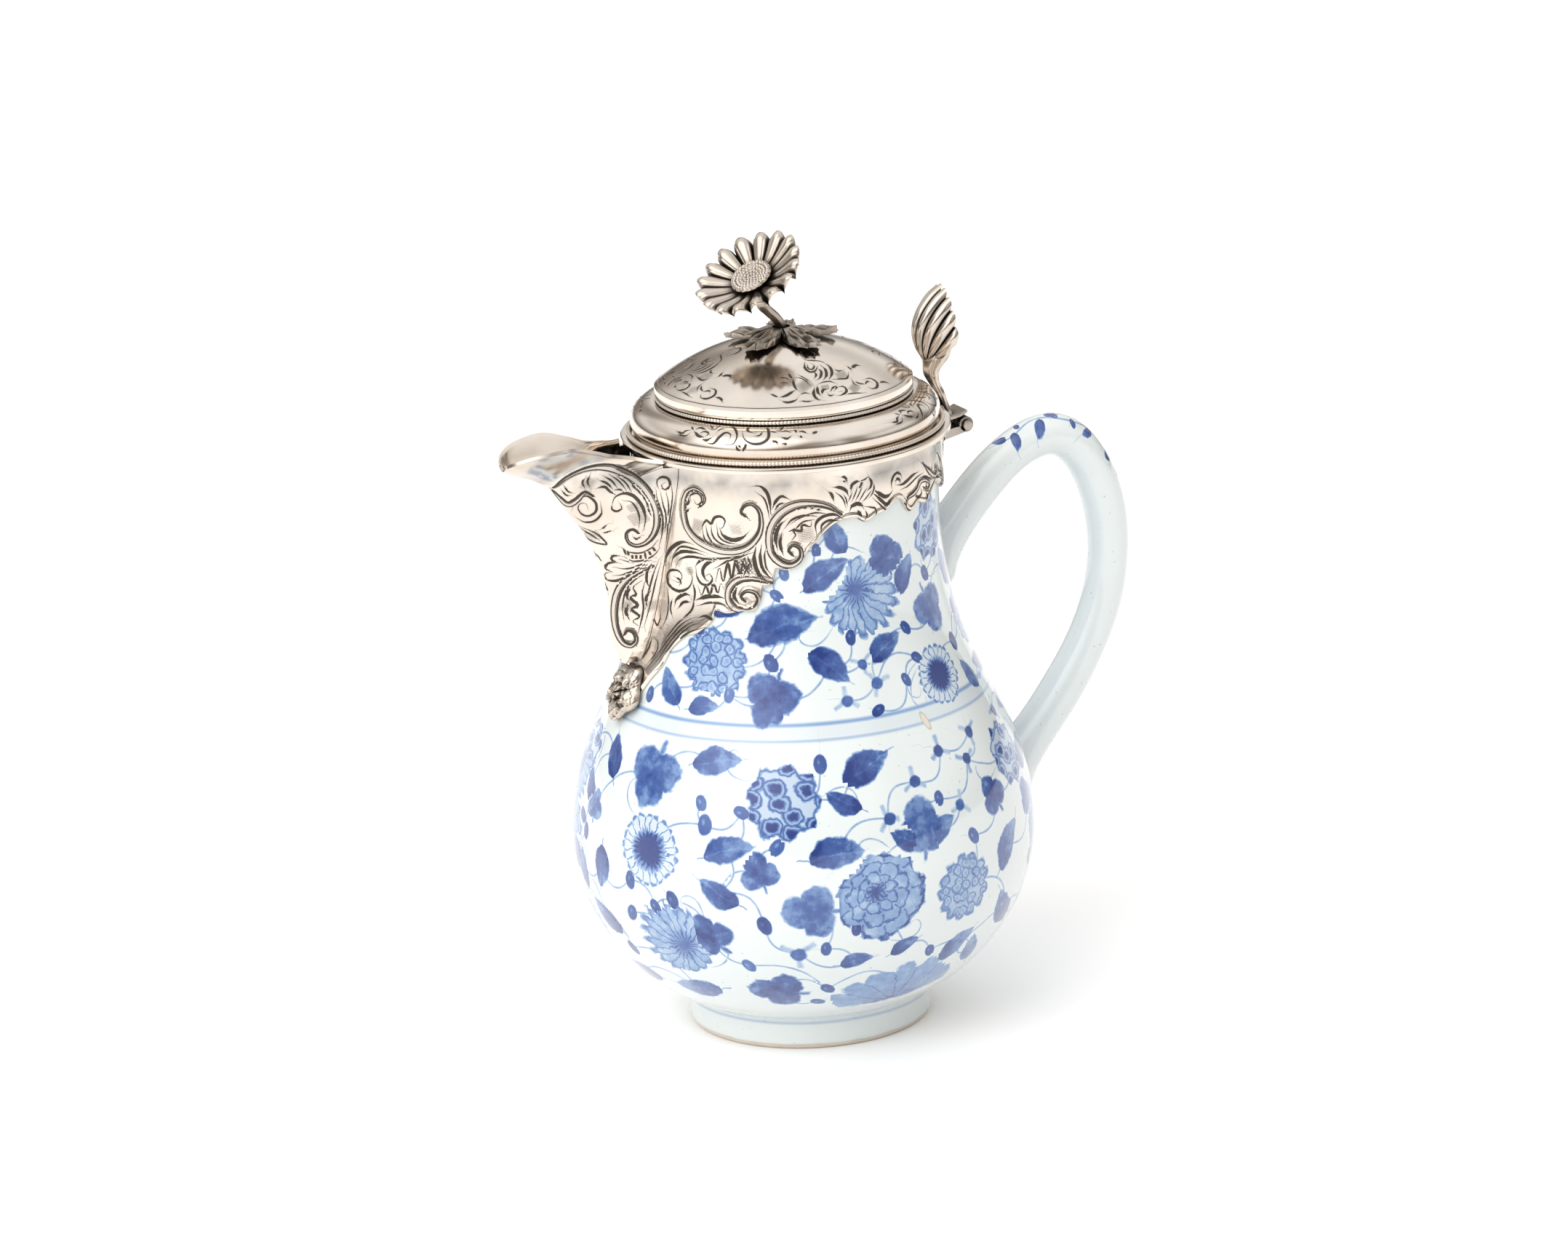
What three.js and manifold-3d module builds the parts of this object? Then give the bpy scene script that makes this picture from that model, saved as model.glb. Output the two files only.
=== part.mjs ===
// A porcelain jug in silver mounts: a pear-shaped blue and white body with a loop handle,
// a silver collar with a scalloped apron, a keeled pouring spout, and a hinged domed lid
// with a shell thumbpiece and a flower finial.
//
// Millimetres. +Z is up, the spout points along -X, the handle and the hinge lie along +X.
// Every size below is measured from the vertical axis of the body and from the table.
import * as THREE from "three";
import { mergeVertices } from "three/addons/utils/BufferGeometryUtils.js";
import Module from "manifold-3d";

const wasm = await Module();
wasm.setup();

// Porcelain body
const FOOT_RADIUS = 28.4;
const FOOT_HEIGHT = 8;
const FOOT_RING_WIDTH = 4.6;
const FOOT_HOLLOW = 5.6;
const FLOOR_THICKNESS = 4.6;
const BASE_RADIUS = 29.5;
const BELLY_RADIUS = 54.3;
const BELLY_LEVEL = 46;
const NECK_RADIUS = 34.9;
const NECK_LEVEL = 124;
const NECK_FLARE = 0.3;
const NECK_HEIGHT = 13.2;
const WALL = 3.4;
const MOUTH_RADIUS = NECK_RADIUS + NECK_FLARE;
const MOUTH_LEVEL = NECK_LEVEL + NECK_HEIGHT;

// Porcelain handle
const HANDLE_RADIUS = 5.1;
const HANDLE_ROOT_FLARE = 2.4;
const HANDLE_FLARE_LENGTH = 9;
const HANDLE_ROOT_DEPTH = 6;
const HANDLE_REACH = 28.6; // from the belly to the back of the loop
const HANDLE_BACK_DROP = 21; // below the neck
const HANDLE_TOP_RISE = 6.4; // above the neck
const HANDLE_TOP_SETBACK = 15.4; // from the back of the loop
const HANDLE_UPPER_LEVEL = NECK_LEVEL - 19.5;
const HANDLE_LOWER_LEVEL = BELLY_LEVEL + 4.5;
const HANDLE_BACK = new THREE.Vector2(BELLY_RADIUS + HANDLE_REACH, NECK_LEVEL - HANDLE_BACK_DROP);
const HANDLE_TOP = new THREE.Vector2(HANDLE_BACK.x - HANDLE_TOP_SETBACK, NECK_LEVEL + HANDLE_TOP_RISE);

// Silver collar
const SEAT_GAP = 0.3;
const COLLAR_THICKNESS = 0.8;
const RIM_ABOVE_MOUTH = 4;
const SEAT_RING_WIDTH = 1.2;
const SEAT_LEDGE_WIDTH = 2.6;
const SEAT_LEDGE_THICKNESS = 0.8;
const RIM_LEVEL = MOUTH_LEVEL + RIM_ABOVE_MOUTH;
const SEAT_RING_INNER = MOUTH_RADIUS - SEAT_RING_WIDTH;
const SEAT_LEDGE_INNER = MOUTH_RADIUS - SEAT_LEDGE_WIDTH;
const NOTCH_HALF_WIDTH = 10.6;
const NOTCH_FOOT_HALF_WIDTH = 3.6;
const NOTCH_DEPTH = 29;
const NOTCH_PORCELAIN_MARGIN = 0.8;

// Silver spout
const SPOUT_LENGTH = 35.3; // from the collar to the tip
const SPOUT_REACH = MOUTH_RADIUS + SEAT_GAP + COLLAR_THICKNESS + SPOUT_LENGTH;
const SPOUT_THICKNESS = 0.9;
const DROP_HEIGHT = 12.6;
const DROP_WIDTH = 12.4;
const DROP_RELIEF = 4.4;
const DROP_DEPTH_BELOW_RIM = 54.8;

// Lid
const FLANGE_OVERHANG = 2; // beyond the collar
const FLANGE_THICKNESS = 1.4;
const FLANGE_LAND = 2.2; // inside the bezel's outer face
const BEZEL_CLEARANCE = 0.8; // inside the seat ring
const BEZEL_DEPTH = 2.6;
const BEZEL_THICKNESS = 0.8;
const BEZEL_RADIUS = SEAT_RING_INNER - BEZEL_CLEARANCE;
const FLANGE_RADIUS = MOUTH_RADIUS + SEAT_GAP + COLLAR_THICKNESS + FLANGE_OVERHANG;
const FLANGE_INNER = BEZEL_RADIUS - FLANGE_LAND;
const OVOLO_SETBACK = 2.4; // from the edge of the flange
const OVOLO_RADIUS = FLANGE_RADIUS - OVOLO_SETBACK;
const OVOLO_BULGE = 5.6;
const OVOLO_HEIGHT = 7.5;
const LID_SHEET = 0.9;
const LOWER_WIRE = 1.1;
const UPPER_WIRE = 0.9;
const DOME_SETBACK = 6; // from the edge of the ovolo
const DOME_RADIUS = OVOLO_RADIUS - DOME_SETBACK;
const DOME_FOOT_HEIGHT = 3;
const DOME_RISE = 10.3;
const DOME_BEAD = 1.1;

// Hinge
const PIN_RADIUS = 0.75;
const PIN_CLEARANCE = 0.18;
const KNUCKLE_RADIUS = 1.9;
const KNUCKLE_COUNT = 5;
const KNUCKLE_GAP = 0.3;
const HINGE_WIDTH = 7;
const HINGE_REACH = 6.7;
const HINGE_DROP = 4.2;
const LID_LEAF_SHEET = 1;

// Thumbpiece
const SHELL_HEIGHT = 18.9;
const SHELL_HALF_WIDTH = 7.4;
const SHELL_THICKNESS = 1.3;
const SHELL_FLUTES = 9;
const SHELL_FLUTE_DEPTH = 0.55;
const SHELL_SPREAD = THREE.MathUtils.degToRad(88);
const STALK_WIDTH = 3.6;
const STALK_THICKNESS = 2.4;

// Finial
const STEM_RADIUS = 1.25;
const STEM_CLEARANCE = 0.35;
const STEM_LEAN = 5.6;
const LEAF_COUNT = 5;
const LEAF_REACH = 14;
const LEAF_THICKNESS = 1.1;
const LEAF_TURN = THREE.MathUtils.degToRad(65);
const FLOWER_RADIUS = 13;
const FLOWER_PETALS = 16;
const FLOWER_DISH = 4.4;
const FLOWER_THICKNESS = 0.9;
const FLOWER_RISE = 16.3;
const FLOWER_OFFSET = 9;
const FLOWER_HEADING = THREE.MathUtils.degToRad(200);
const FLOWER_TILT = THREE.MathUtils.degToRad(57);
const SEED_RADIUS = 5;
const SEED_HEIGHT = 1.7;
const NUT_RADIUS = 3.8;
const NUT_HEIGHT = 1.3;

// Facets
const SEGMENTS = 36;
const WELD = 1e-3;
const TURN = 2 * Math.PI;

// Small helpers
const vec2 = (x, y) => new THREE.Vector2(x, y);
const vec3 = (x, y, z) => new THREE.Vector3(x, y, z);
const polar = (radius, angle, z) => vec3(radius * Math.cos(angle), radius * Math.sin(angle), z);
const steps = (count) => Array.from({ length: count + 1 }, (_, i) => i / count);
const lerp = THREE.MathUtils.lerp;

// Welds a surface, drops its empty triangles and turns its faces outwards.
function facingOut(geometry) {
  const bare = geometry.clone();
  for (const name of Object.keys(bare.attributes)) {
    if (name !== "position") bare.deleteAttribute(name);
  }
  const welded = mergeVertices(bare, WELD);
  const corner = welded.attributes.position;
  const source = welded.index.array;
  const kept = [];
  const [a, b, c] = [vec3(), vec3(), vec3()];
  let volume = 0;
  for (let i = 0; i < source.length; i += 3) {
    const [p, q, r] = [source[i], source[i + 1], source[i + 2]];
    if (p === q || q === r || r === p) continue;
    kept.push(p, q, r);
    a.fromBufferAttribute(corner, p);
    b.fromBufferAttribute(corner, q);
    c.fromBufferAttribute(corner, r);
    volume += a.dot(b.cross(c));
  }
  welded.setIndex(volume < 0 ? kept.reverse() : kept);
  return welded;
}

function surface(points, triangles) {
  const geometry = new THREE.BufferGeometry().setFromPoints(points);
  geometry.setIndex(triangles);
  return facingOut(geometry);
}

// A wall between two grids of points, outer[i][j] and inner[i][j]. It joins up along i when round.
function wall(outer, inner, round) {
  const rows = outer.length;
  const columns = outer[0].length;
  const behind = rows * columns;
  const triangles = [];
  const quad = (a, b, c, d) => triangles.push(a, b, c, a, c, d);
  const front = (i, j) => (i % rows) * columns + j;
  const back = (i, j) => behind + front(i, j);
  const lastRow = round ? rows : rows - 1;
  const lastColumn = columns - 1;
  for (let i = 0; i < lastRow; i++) {
    for (let j = 0; j < lastColumn; j++) {
      quad(front(i, j), front(i + 1, j), front(i + 1, j + 1), front(i, j + 1));
      quad(back(i, j), back(i, j + 1), back(i + 1, j + 1), back(i + 1, j));
    }
    quad(front(i + 1, 0), front(i, 0), back(i, 0), back(i + 1, 0));
    quad(front(i, lastColumn), front(i + 1, lastColumn), back(i + 1, lastColumn), back(i, lastColumn));
  }
  for (let j = 0; j < lastColumn && !round; j++) {
    quad(front(0, j), front(0, j + 1), back(0, j + 1), back(0, j));
    quad(front(lastRow, j + 1), front(lastRow, j), back(lastRow, j), back(lastRow, j + 1));
  }
  return surface([...outer.flat(), ...inner.flat()], triangles);
}

// A skin through rings of points, closed at each end by a fan.
function loft(rings) {
  const sides = rings[0].length;
  const points = rings.flat();
  const triangles = [];
  const at = (ring, side) => ring * sides + (side % sides);
  for (let i = 0; i < rings.length - 1; i++) {
    for (let j = 0; j < sides; j++) {
      triangles.push(at(i, j), at(i, j + 1), at(i + 1, j + 1));
      triangles.push(at(i, j), at(i + 1, j + 1), at(i + 1, j));
    }
  }
  const last = rings.length - 1;
  for (const ring of [0, last]) {
    const centre = rings[ring].reduce((sum, p) => sum.add(p), vec3()).divideScalar(sides);
    const hub = points.push(centre) - 1;
    for (let j = 0; j < sides; j++) {
      if (ring === 0) triangles.push(hub, at(ring, j + 1), at(ring, j));
      else triangles.push(hub, at(ring, j), at(ring, j + 1));
    }
  }
  return surface(points, triangles);
}

// Moves each point of an open grid along the surface's own normal.
function offsetGrid(grid, distance, round) {
  const rows = grid.length;
  const columns = grid[0].length;
  const pick = (i, j) => {
    const row = round ? (i + rows) % rows : THREE.MathUtils.clamp(i, 0, rows - 1);
    return grid[row][THREE.MathUtils.clamp(j, 0, columns - 1)];
  };
  return grid.map((line, i) =>
    line.map((p, j) => {
      const along = pick(i + 1, j).clone().sub(pick(i - 1, j));
      const across = pick(i, j + 1).clone().sub(pick(i, j - 1));
      return p.clone().addScaledVector(along.cross(across).normalize(), distance);
    }),
  );
}

// A turned solid from a closed or axis-to-axis profile of [radius, height] points.
function turned(profile, segments = SEGMENTS) {
  const closed = profile[0].x > 0 ? [...profile, profile[0]] : profile;
  return facingOut(new THREE.LatheGeometry(closed, segments).rotateX(Math.PI / 2));
}

const ringProfile = (inner, outer, bottom, top) => [
  vec2(inner, bottom),
  vec2(outer, bottom),
  vec2(outer, top),
  vec2(inner, top),
];

// A plate cut to an outline of [x, z] points, centred on the plane of the handle and the spout.
function plate(outline, width) {
  const shape = new THREE.Shape(outline);
  const geometry = new THREE.ExtrudeGeometry(shape, { depth: width, bevelEnabled: false });
  return facingOut(geometry.rotateX(Math.PI / 2).translate(0, width / 2, 0));
}

function rod(radius, length, sides) {
  return facingOut(new THREE.CylinderGeometry(radius, radius, length, sides));
}

const toSolid = (geometry) =>
  new wasm.Manifold(
    new wasm.Mesh({
      numProp: 3,
      vertProperties: geometry.attributes.position.array,
      triVerts: new Uint32Array(geometry.index.array),
    }),
  );

function toGeometry(solid) {
  const mesh = solid.getMesh();
  const geometry = new THREE.BufferGeometry();
  geometry.setAttribute("position", new THREE.BufferAttribute(mesh.vertProperties, 3));
  geometry.setIndex(new THREE.BufferAttribute(mesh.triVerts, 1));
  return geometry;
}

function cut(geometry, ...tools) {
  return toGeometry(tools.reduce((solid, tool) => solid.subtract(toSolid(tool)), toSolid(geometry)));
}

function join(first, ...others) {
  return toGeometry(others.reduce((solid, other) => solid.add(toSolid(other)), toSolid(first)));
}

// Outline of the porcelain body
const bellyRise = BELLY_LEVEL - FOOT_HEIGHT;
const bellySpread = BELLY_RADIUS - BASE_RADIUS;
const shoulderRise = NECK_LEVEL - BELLY_LEVEL;
const BELLY_FULLNESS = 0.484;
const SHOULDER_FULLNESS = 0.383;
const NECK_SLENDERNESS = 0.531;

const lowerBelly = new THREE.CubicBezierCurve(
  vec2(BASE_RADIUS, FOOT_HEIGHT),
  vec2(BASE_RADIUS + BELLY_FULLNESS * bellySpread, FOOT_HEIGHT + 0.13 * bellyRise),
  vec2(BELLY_RADIUS, BELLY_LEVEL - BELLY_FULLNESS * bellyRise),
  vec2(BELLY_RADIUS, BELLY_LEVEL),
);
const shoulder = new THREE.CubicBezierCurve(
  vec2(BELLY_RADIUS, BELLY_LEVEL),
  vec2(BELLY_RADIUS, BELLY_LEVEL + SHOULDER_FULLNESS * shoulderRise),
  vec2(NECK_RADIUS, NECK_LEVEL - NECK_SLENDERNESS * shoulderRise),
  vec2(NECK_RADIUS, NECK_LEVEL),
);
const neck = new THREE.QuadraticBezierCurve(
  vec2(NECK_RADIUS, NECK_LEVEL),
  vec2(NECK_RADIUS, (NECK_LEVEL + MOUTH_LEVEL) / 2),
  vec2(MOUTH_RADIUS, MOUTH_LEVEL),
);
const bodyCurves = [lowerBelly, shoulder, neck];
const fineOutline = bodyCurves.flatMap((curve) => curve.getPoints(120));

// Radius of the glazed body at a level.
function bodyRadius(z) {
  const next = fineOutline.findIndex((p) => p.y > z);
  if (next < 0) return MOUTH_RADIUS;
  if (next === 0) return BASE_RADIUS;
  const [low, high] = [fineOutline[next - 1], fineOutline[next]];
  return lerp(low.x, high.x, (z - low.y) / (high.y - low.y));
}

const silverInner = (z) => bodyRadius(z) + SEAT_GAP;
const silverOuter = (z) => silverInner(z) + COLLAR_THICKNESS;

// A full solid of revolution that follows the body, used to seat what lies against it.
function bodyBlank(margin, bottom, top) {
  const levels = steps(28).map((t) => lerp(bottom, top, t));
  const side = levels.map((z) => vec2(bodyRadius(z) + margin, z));
  return turned([vec2(0, bottom), ...side, vec2(0, top)], 2 * SEGMENTS);
}

// Levels and places that several pieces share
const flangeBottom = RIM_LEVEL + SEAT_GAP;
const flangeTop = flangeBottom + FLANGE_THICKNESS;
const ovoloFoot = flangeTop + SEAT_GAP;
const ovoloTop = ovoloFoot + OVOLO_HEIGHT;
const domeFoot = ovoloTop + SEAT_GAP;
const domeRim = domeFoot + DOME_FOOT_HEIGHT;
const domeTop = domeRim + DOME_RISE;
const domeCurve = (DOME_RADIUS ** 2 + DOME_RISE ** 2) / (2 * DOME_RISE);
const domeLevel = (r) => domeTop - domeCurve + Math.sqrt(domeCurve ** 2 - r ** 2);
const hingeX = FLANGE_RADIUS + HINGE_REACH;
const hingeZ = RIM_LEVEL - HINGE_DROP;

// The opening below the spout, through the collar and the rim of the porcelain
function pouringNotch(margin) {
  const foot = RIM_LEVEL - NOTCH_DEPTH;
  const shape = new THREE.Shape([
    vec2(-NOTCH_FOOT_HALF_WIDTH - margin, foot - margin),
    vec2(NOTCH_FOOT_HALF_WIDTH + margin, foot - margin),
    vec2(NOTCH_HALF_WIDTH + margin, RIM_LEVEL + WALL),
    vec2(-NOTCH_HALF_WIDTH - margin, RIM_LEVEL + WALL),
  ]);
  const geometry = new THREE.ExtrudeGeometry(shape, { depth: BELLY_RADIUS, bevelEnabled: false });
  geometry.rotateX(Math.PI / 2).rotateZ(-Math.PI / 2).translate(-MOUTH_RADIUS / 2, 0, 0);
  return facingOut(geometry);
}

function porcelainBody() {
  const outside = [...lowerBelly.getPoints(7), ...shoulder.getPoints(10).slice(1)];
  const lip = [
    vec2(MOUTH_RADIUS, MOUTH_LEVEL - 1),
    vec2(MOUTH_RADIUS - WALL / 3, MOUTH_LEVEL),
    vec2(MOUTH_RADIUS - WALL / 1.5, MOUTH_LEVEL),
    vec2(MOUTH_RADIUS - WALL, MOUTH_LEVEL - 1),
  ];
  const floorLevel = FOOT_HOLLOW + FLOOR_THICKNESS;
  const inside = [...shoulder.getPoints(6).reverse(), ...lowerBelly.getPoints(5).reverse().slice(1)]
    .map((p) => vec2(p.x - WALL, Math.max(p.y, floorLevel)))
    .filter((p, i, all) => i === 0 || p.y < all[i - 1].y);
  const ringInner = FOOT_RADIUS - FOOT_RING_WIDTH;
  return turned([
    vec2(0, FOOT_HOLLOW),
    vec2(ringInner - 1.5, FOOT_HOLLOW),
    vec2(ringInner, FOOT_HOLLOW - 1.2),
    vec2(ringInner + 0.6, 0),
    vec2(FOOT_RADIUS - 0.8, 0),
    vec2(FOOT_RADIUS, 0.8),
    vec2(FOOT_RADIUS + 0.3, FOOT_HEIGHT - 0.6),
    ...outside,
    ...lip,
    ...inside,
    vec2(BASE_RADIUS / 2, floorLevel),
    vec2(0, floorLevel),
  ]);
}

// Centre line of the handle, from the neck over the top to the belly
function handlePath() {
  const root = (level) => vec2(bodyRadius(level) - HANDLE_ROOT_DEPTH, level - HANDLE_ROOT_DEPTH);
  const upperRoot = root(HANDLE_UPPER_LEVEL);
  const lowerRoot = root(HANDLE_LOWER_LEVEL);
  const path = new THREE.CurvePath();
  path.add(
    new THREE.CubicBezierCurve(
      upperRoot,
      vec2(upperRoot.x + 15.8, upperRoot.y + 20.6),
      vec2(HANDLE_TOP.x - 10, HANDLE_TOP.y),
      HANDLE_TOP,
    ),
  );
  path.add(
    new THREE.CubicBezierCurve(
      HANDLE_TOP,
      vec2(HANDLE_TOP.x + 8.5, HANDLE_TOP.y),
      vec2(HANDLE_BACK.x, HANDLE_BACK.y + 14),
      HANDLE_BACK,
    ),
  );
  path.add(
    new THREE.CubicBezierCurve(
      HANDLE_BACK,
      vec2(HANDLE_BACK.x, HANDLE_BACK.y - 21),
      vec2(lowerRoot.x + 21.5, lowerRoot.y + 21.5),
      lowerRoot,
    ),
  );
  return path;
}

function porcelainHandle() {
  const path = handlePath();
  const length = path.getLength();
  const sides = 12;
  const rings = steps(28).map((t) => {
    const centre = path.getPointAt(t);
    const along = path.getTangentAt(t);
    const fromRoot = Math.max(0, Math.min(t, 1 - t) * length - 1.4 * HANDLE_ROOT_DEPTH);
    const flare = HANDLE_ROOT_FLARE * Math.exp(-fromRoot / (HANDLE_FLARE_LENGTH / 2));
    const radius = HANDLE_RADIUS + flare;
    const outward = vec3(-along.y, 0, along.x);
    return steps(sides)
      .slice(1)
      .map((s) =>
        vec3(centre.x, 0, centre.y)
          .addScaledVector(outward, radius * Math.cos(s * TURN))
          .add(vec3(0, radius * Math.sin(s * TURN), 0)),
      );
  });
  return cut(loft(rings), bodyBlank(SEAT_GAP, FOOT_HEIGHT, MOUTH_LEVEL));
}

// Lower edge of the collar: degrees round from the spout, and depth below the rim.
const APRON = [
  [0, 57],
  [6, 55],
  [9.7, 51.2],
  [14.5, 47.2],
  [17.5, 43.2],
  [23.5, 39.6],
  [29, 38.3],
  [34.6, 35.2],
  [36, 32.8],
  [40.5, 33.2],
  [46, 32.4],
  [51, 32],
  [53.2, 29.6],
  [54.2, 27.2],
  [58, 26],
  [59, 22.7],
  [63, 22.9],
  [67.8, 21.8],
  [70.6, 19.2],
  [74, 17],
  [77, 15.1],
  [81, 13.2],
  [86, 12.2],
  [90, 12.3],
  [94, 13.6],
  [98.5, 12.5],
  [103.3, 11.9],
  [107.5, 10.1],
  [111, 10.5],
  [115.5, 13.9],
  [120.5, 12.6],
  [126, 13.5],
  [132, 11.4],
  [138, 10.2],
  [144, 12.2],
  [150, 13.7],
  [156, 12.2],
  [162, 10.2],
  [168, 11.7],
  [174, 13.2],
  [180, 13.6],
];

// The same outline all the way round, as [angle, depth], and a grid of points inside it
const oneSide = APRON.map(([degrees, depth]) => [Math.PI - THREE.MathUtils.degToRad(degrees), depth]);
const otherSide = oneSide.slice(1, -1).map(([angle, depth]) => [TURN - angle, depth]);
const collarOutline = [...oneSide.reverse(), ...otherSide];
const collarGrid = (radiusAt) =>
  collarOutline.map(([angle, depth]) =>
    steps(5).map((t) => {
      const z = RIM_LEVEL - depth * (1 - t);
      return polar(radiusAt(z), angle, z);
    }),
  );

function neckCollar() {
  return cut(wall(collarGrid(silverOuter), collarGrid(silverInner), true), pouringNotch(0));
}

// A full solid with the collar's own facets, moved outwards, that clears room for what lies on it
function collarBlank(margin) {
  const columns = collarGrid((z) => silverOuter(z) + margin);
  return loft(columns[0].map((_, row) => columns.map((column) => column[row])));
}

// Ring inside the collar that caps the rim of the porcelain and carries the lid
function collarSeat() {
  const bottom = MOUTH_LEVEL + SEAT_GAP;
  const outer = SEAT_RING_INNER + SEAT_RING_WIDTH;
  const profile = [
    vec2(SEAT_LEDGE_INNER, bottom),
    vec2(outer, bottom),
    vec2(outer, RIM_LEVEL),
    vec2(SEAT_RING_INNER, RIM_LEVEL),
    vec2(SEAT_RING_INNER, bottom + SEAT_LEDGE_THICKNESS),
    vec2(SEAT_LEDGE_INNER, bottom + SEAT_LEDGE_THICKNESS),
  ];
  return cut(turned(profile), pouringNotch(0));
}

// Ribs of the spout from its foot to its nose. Each gives the edge of the trough (reach beyond the
// collar as a share of the spout's length, half width, depth below the rim) and the keel (reach
// beyond the collar, depth).
const SPOUT_RIBS = [
  { edge: [0.099, 1.8, 47.9], keel: [0.089, 48.4], fullness: 1.3 },
  { edge: [0.086, 3, 45.3], keel: [0.179, 44.7], fullness: 1.3 },
  { edge: [0.065, 3.7, 42], keel: [0.223, 41.7], fullness: 1.3 },
  { edge: [0.056, 4.2, 38.5], keel: [0.255, 37.7], fullness: 1.3 },
  { edge: [0.034, 5.2, 32.4], keel: [0.294, 31.2], fullness: 1.3 },
  { edge: [0.017, 6.5, 25.9], keel: [0.35, 24.7], fullness: 1.3 },
  { edge: [0.005, 8.2, 18.9], keel: [0.419, 18.7], fullness: 1.3 },
  { edge: [-0.02, 10.4, 12.1], keel: [0.487, 14.4], fullness: 1.3 },
  { edge: [-0.051, 12.8, 4.9], keel: [0.55, 11.2], fullness: 1.3 },
  { edge: [-0.06, 13.6, 0.7], keel: [0.591, 8.9], fullness: 1.3 },
  { edge: [0.08, 8.7, -0.8], keel: [0.635, 6.4], fullness: 1.35 },
  { edge: [0.19, 7.3, -1.9], keel: [0.677, 4.5], fullness: 1.4 },
  { edge: [0.337, 7.1, -3], keel: [0.734, 2.8], fullness: 1.5 },
  { edge: [0.453, 8, -4.5], keel: [0.79, 1.7], fullness: 1.6 },
  { edge: [0.614, 8.8, -6], keel: [0.847, 0.9], fullness: 1.7 },
  { edge: [0.824, 7.4, -5.2], keel: [0.921, 0], fullness: 1.7 },
  { edge: [0.941, 4.9, -3.9], keel: [0.972, -0.9], fullness: 1.7 },
  { edge: [0.995, 2.2, -2.6], keel: [1, -1.6], fullness: 1.7 },
];
const SPOUT_SKIRT = 5;
const SPOUT_EVERSION = 0.45;
const LID_ROOM = 0.5;

function spout() {
  const x = (share, level) => -(silverOuter(level) + share * SPOUT_LENGTH);
  const across = steps(5).slice(1);
  const grid = SPOUT_RIBS.map(({ edge, keel, fullness }) => {
    const [edgeZ, keelZ] = [RIM_LEVEL - edge[2], RIM_LEVEL - keel[1]];
    const [edgeX, keelX] = [x(edge[0], edgeZ), x(keel[0], keelZ)];
    const side = (sign) => {
      const curve = across.map((v) => {
        const t = v ** fullness;
        return vec3(lerp(keelX, edgeX, t), sign * v * edge[1], lerp(keelZ, edgeZ, t));
      });
      const onCollar = edgeZ < RIM_LEVEL;
      const last = onCollar
        ? vec3(edgeX + SPOUT_SKIRT, sign * (edge[1] + 0.5), edgeZ)
        : vec3(edgeX, sign * (edge[1] + SPOUT_EVERSION), edgeZ + SPOUT_EVERSION / 2);
      return [...curve, last];
    };
    return [...side(-1).reverse(), vec3(keelX, 0, keelZ), ...side(1)];
  });
  const inner = offsetGrid(grid, -SPOUT_THICKNESS, false);
  const inside = bodyBlank(SEAT_GAP + COLLAR_THICKNESS + SEAT_GAP, FOOT_HEIGHT, RIM_LEVEL);
  const roomRadius = FLANGE_RADIUS + LID_ROOM;
  const roomFoot = RIM_LEVEL - 0.1;
  const lidRoom = turned(
    [vec2(0, roomFoot), vec2(roomRadius, roomFoot), vec2(roomRadius, ovoloTop), vec2(0, ovoloTop)],
    2 * SEGMENTS,
  );
  return cut(wall(grid, inner, false), inside, collarBlank(SEAT_GAP), lidRoom);
}

// Cast scroll drop that hides the foot of the spout
function spoutDrop() {
  const centreZ = RIM_LEVEL - DROP_DEPTH_BELOW_RIM;
  const around = steps(20).slice(1);
  const place = (alpha, s, height) => {
    const lobes = 1 + 0.1 * Math.cos(5 * alpha + Math.PI / 2);
    const z = centreZ + (s * lobes * DROP_HEIGHT * Math.sin(alpha)) / 2;
    const y = (s * lobes * DROP_WIDTH * Math.cos(alpha)) / 2;
    const radius = silverOuter(z) + SEAT_GAP + height;
    return polar(radius, Math.PI - y / radius, z);
  };
  const edge = 0.7;
  const swell = (alpha) => (DROP_RELIEF - edge) * (1 + 0.12 * Math.cos(5 * alpha));
  const proud = (s, alpha) => edge + swell(s === 0 ? 0 : alpha) * Math.sqrt(1 - s * s);
  const outer = around.map((a) => steps(5).map((s) => place(a * TURN, s, proud(s, a * TURN))));
  const inner = around.map((a) => steps(5).map((s) => place(a * TURN, s, 0)));
  return cut(wall(outer, inner, true), collarBlank(SEAT_GAP));
}

// Lid
function lidOvolo() {
  const centre = vec2(OVOLO_RADIUS - OVOLO_BULGE, ovoloFoot + 0.39 * OVOLO_HEIGHT);
  const rise = ovoloTop - centre.y;
  const start = -Math.asin((centre.y - ovoloFoot) / rise);
  const arc = (shrink, count) =>
    steps(count).map((t) => {
      const angle = lerp(start, Math.PI / 2, t);
      return vec2(
        centre.x + (OVOLO_BULGE - shrink) * Math.cos(angle),
        Math.max(ovoloFoot, centre.y + (rise - shrink) * Math.sin(angle)),
      );
    });
  const landing = DOME_RADIUS - DOME_BEAD - 2 * LID_SHEET;
  return turned([
    ...arc(0, 6),
    vec2(landing, ovoloTop),
    vec2(landing, ovoloTop - LID_SHEET),
    ...arc(LID_SHEET, 4).reverse(),
  ]);
}

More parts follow.
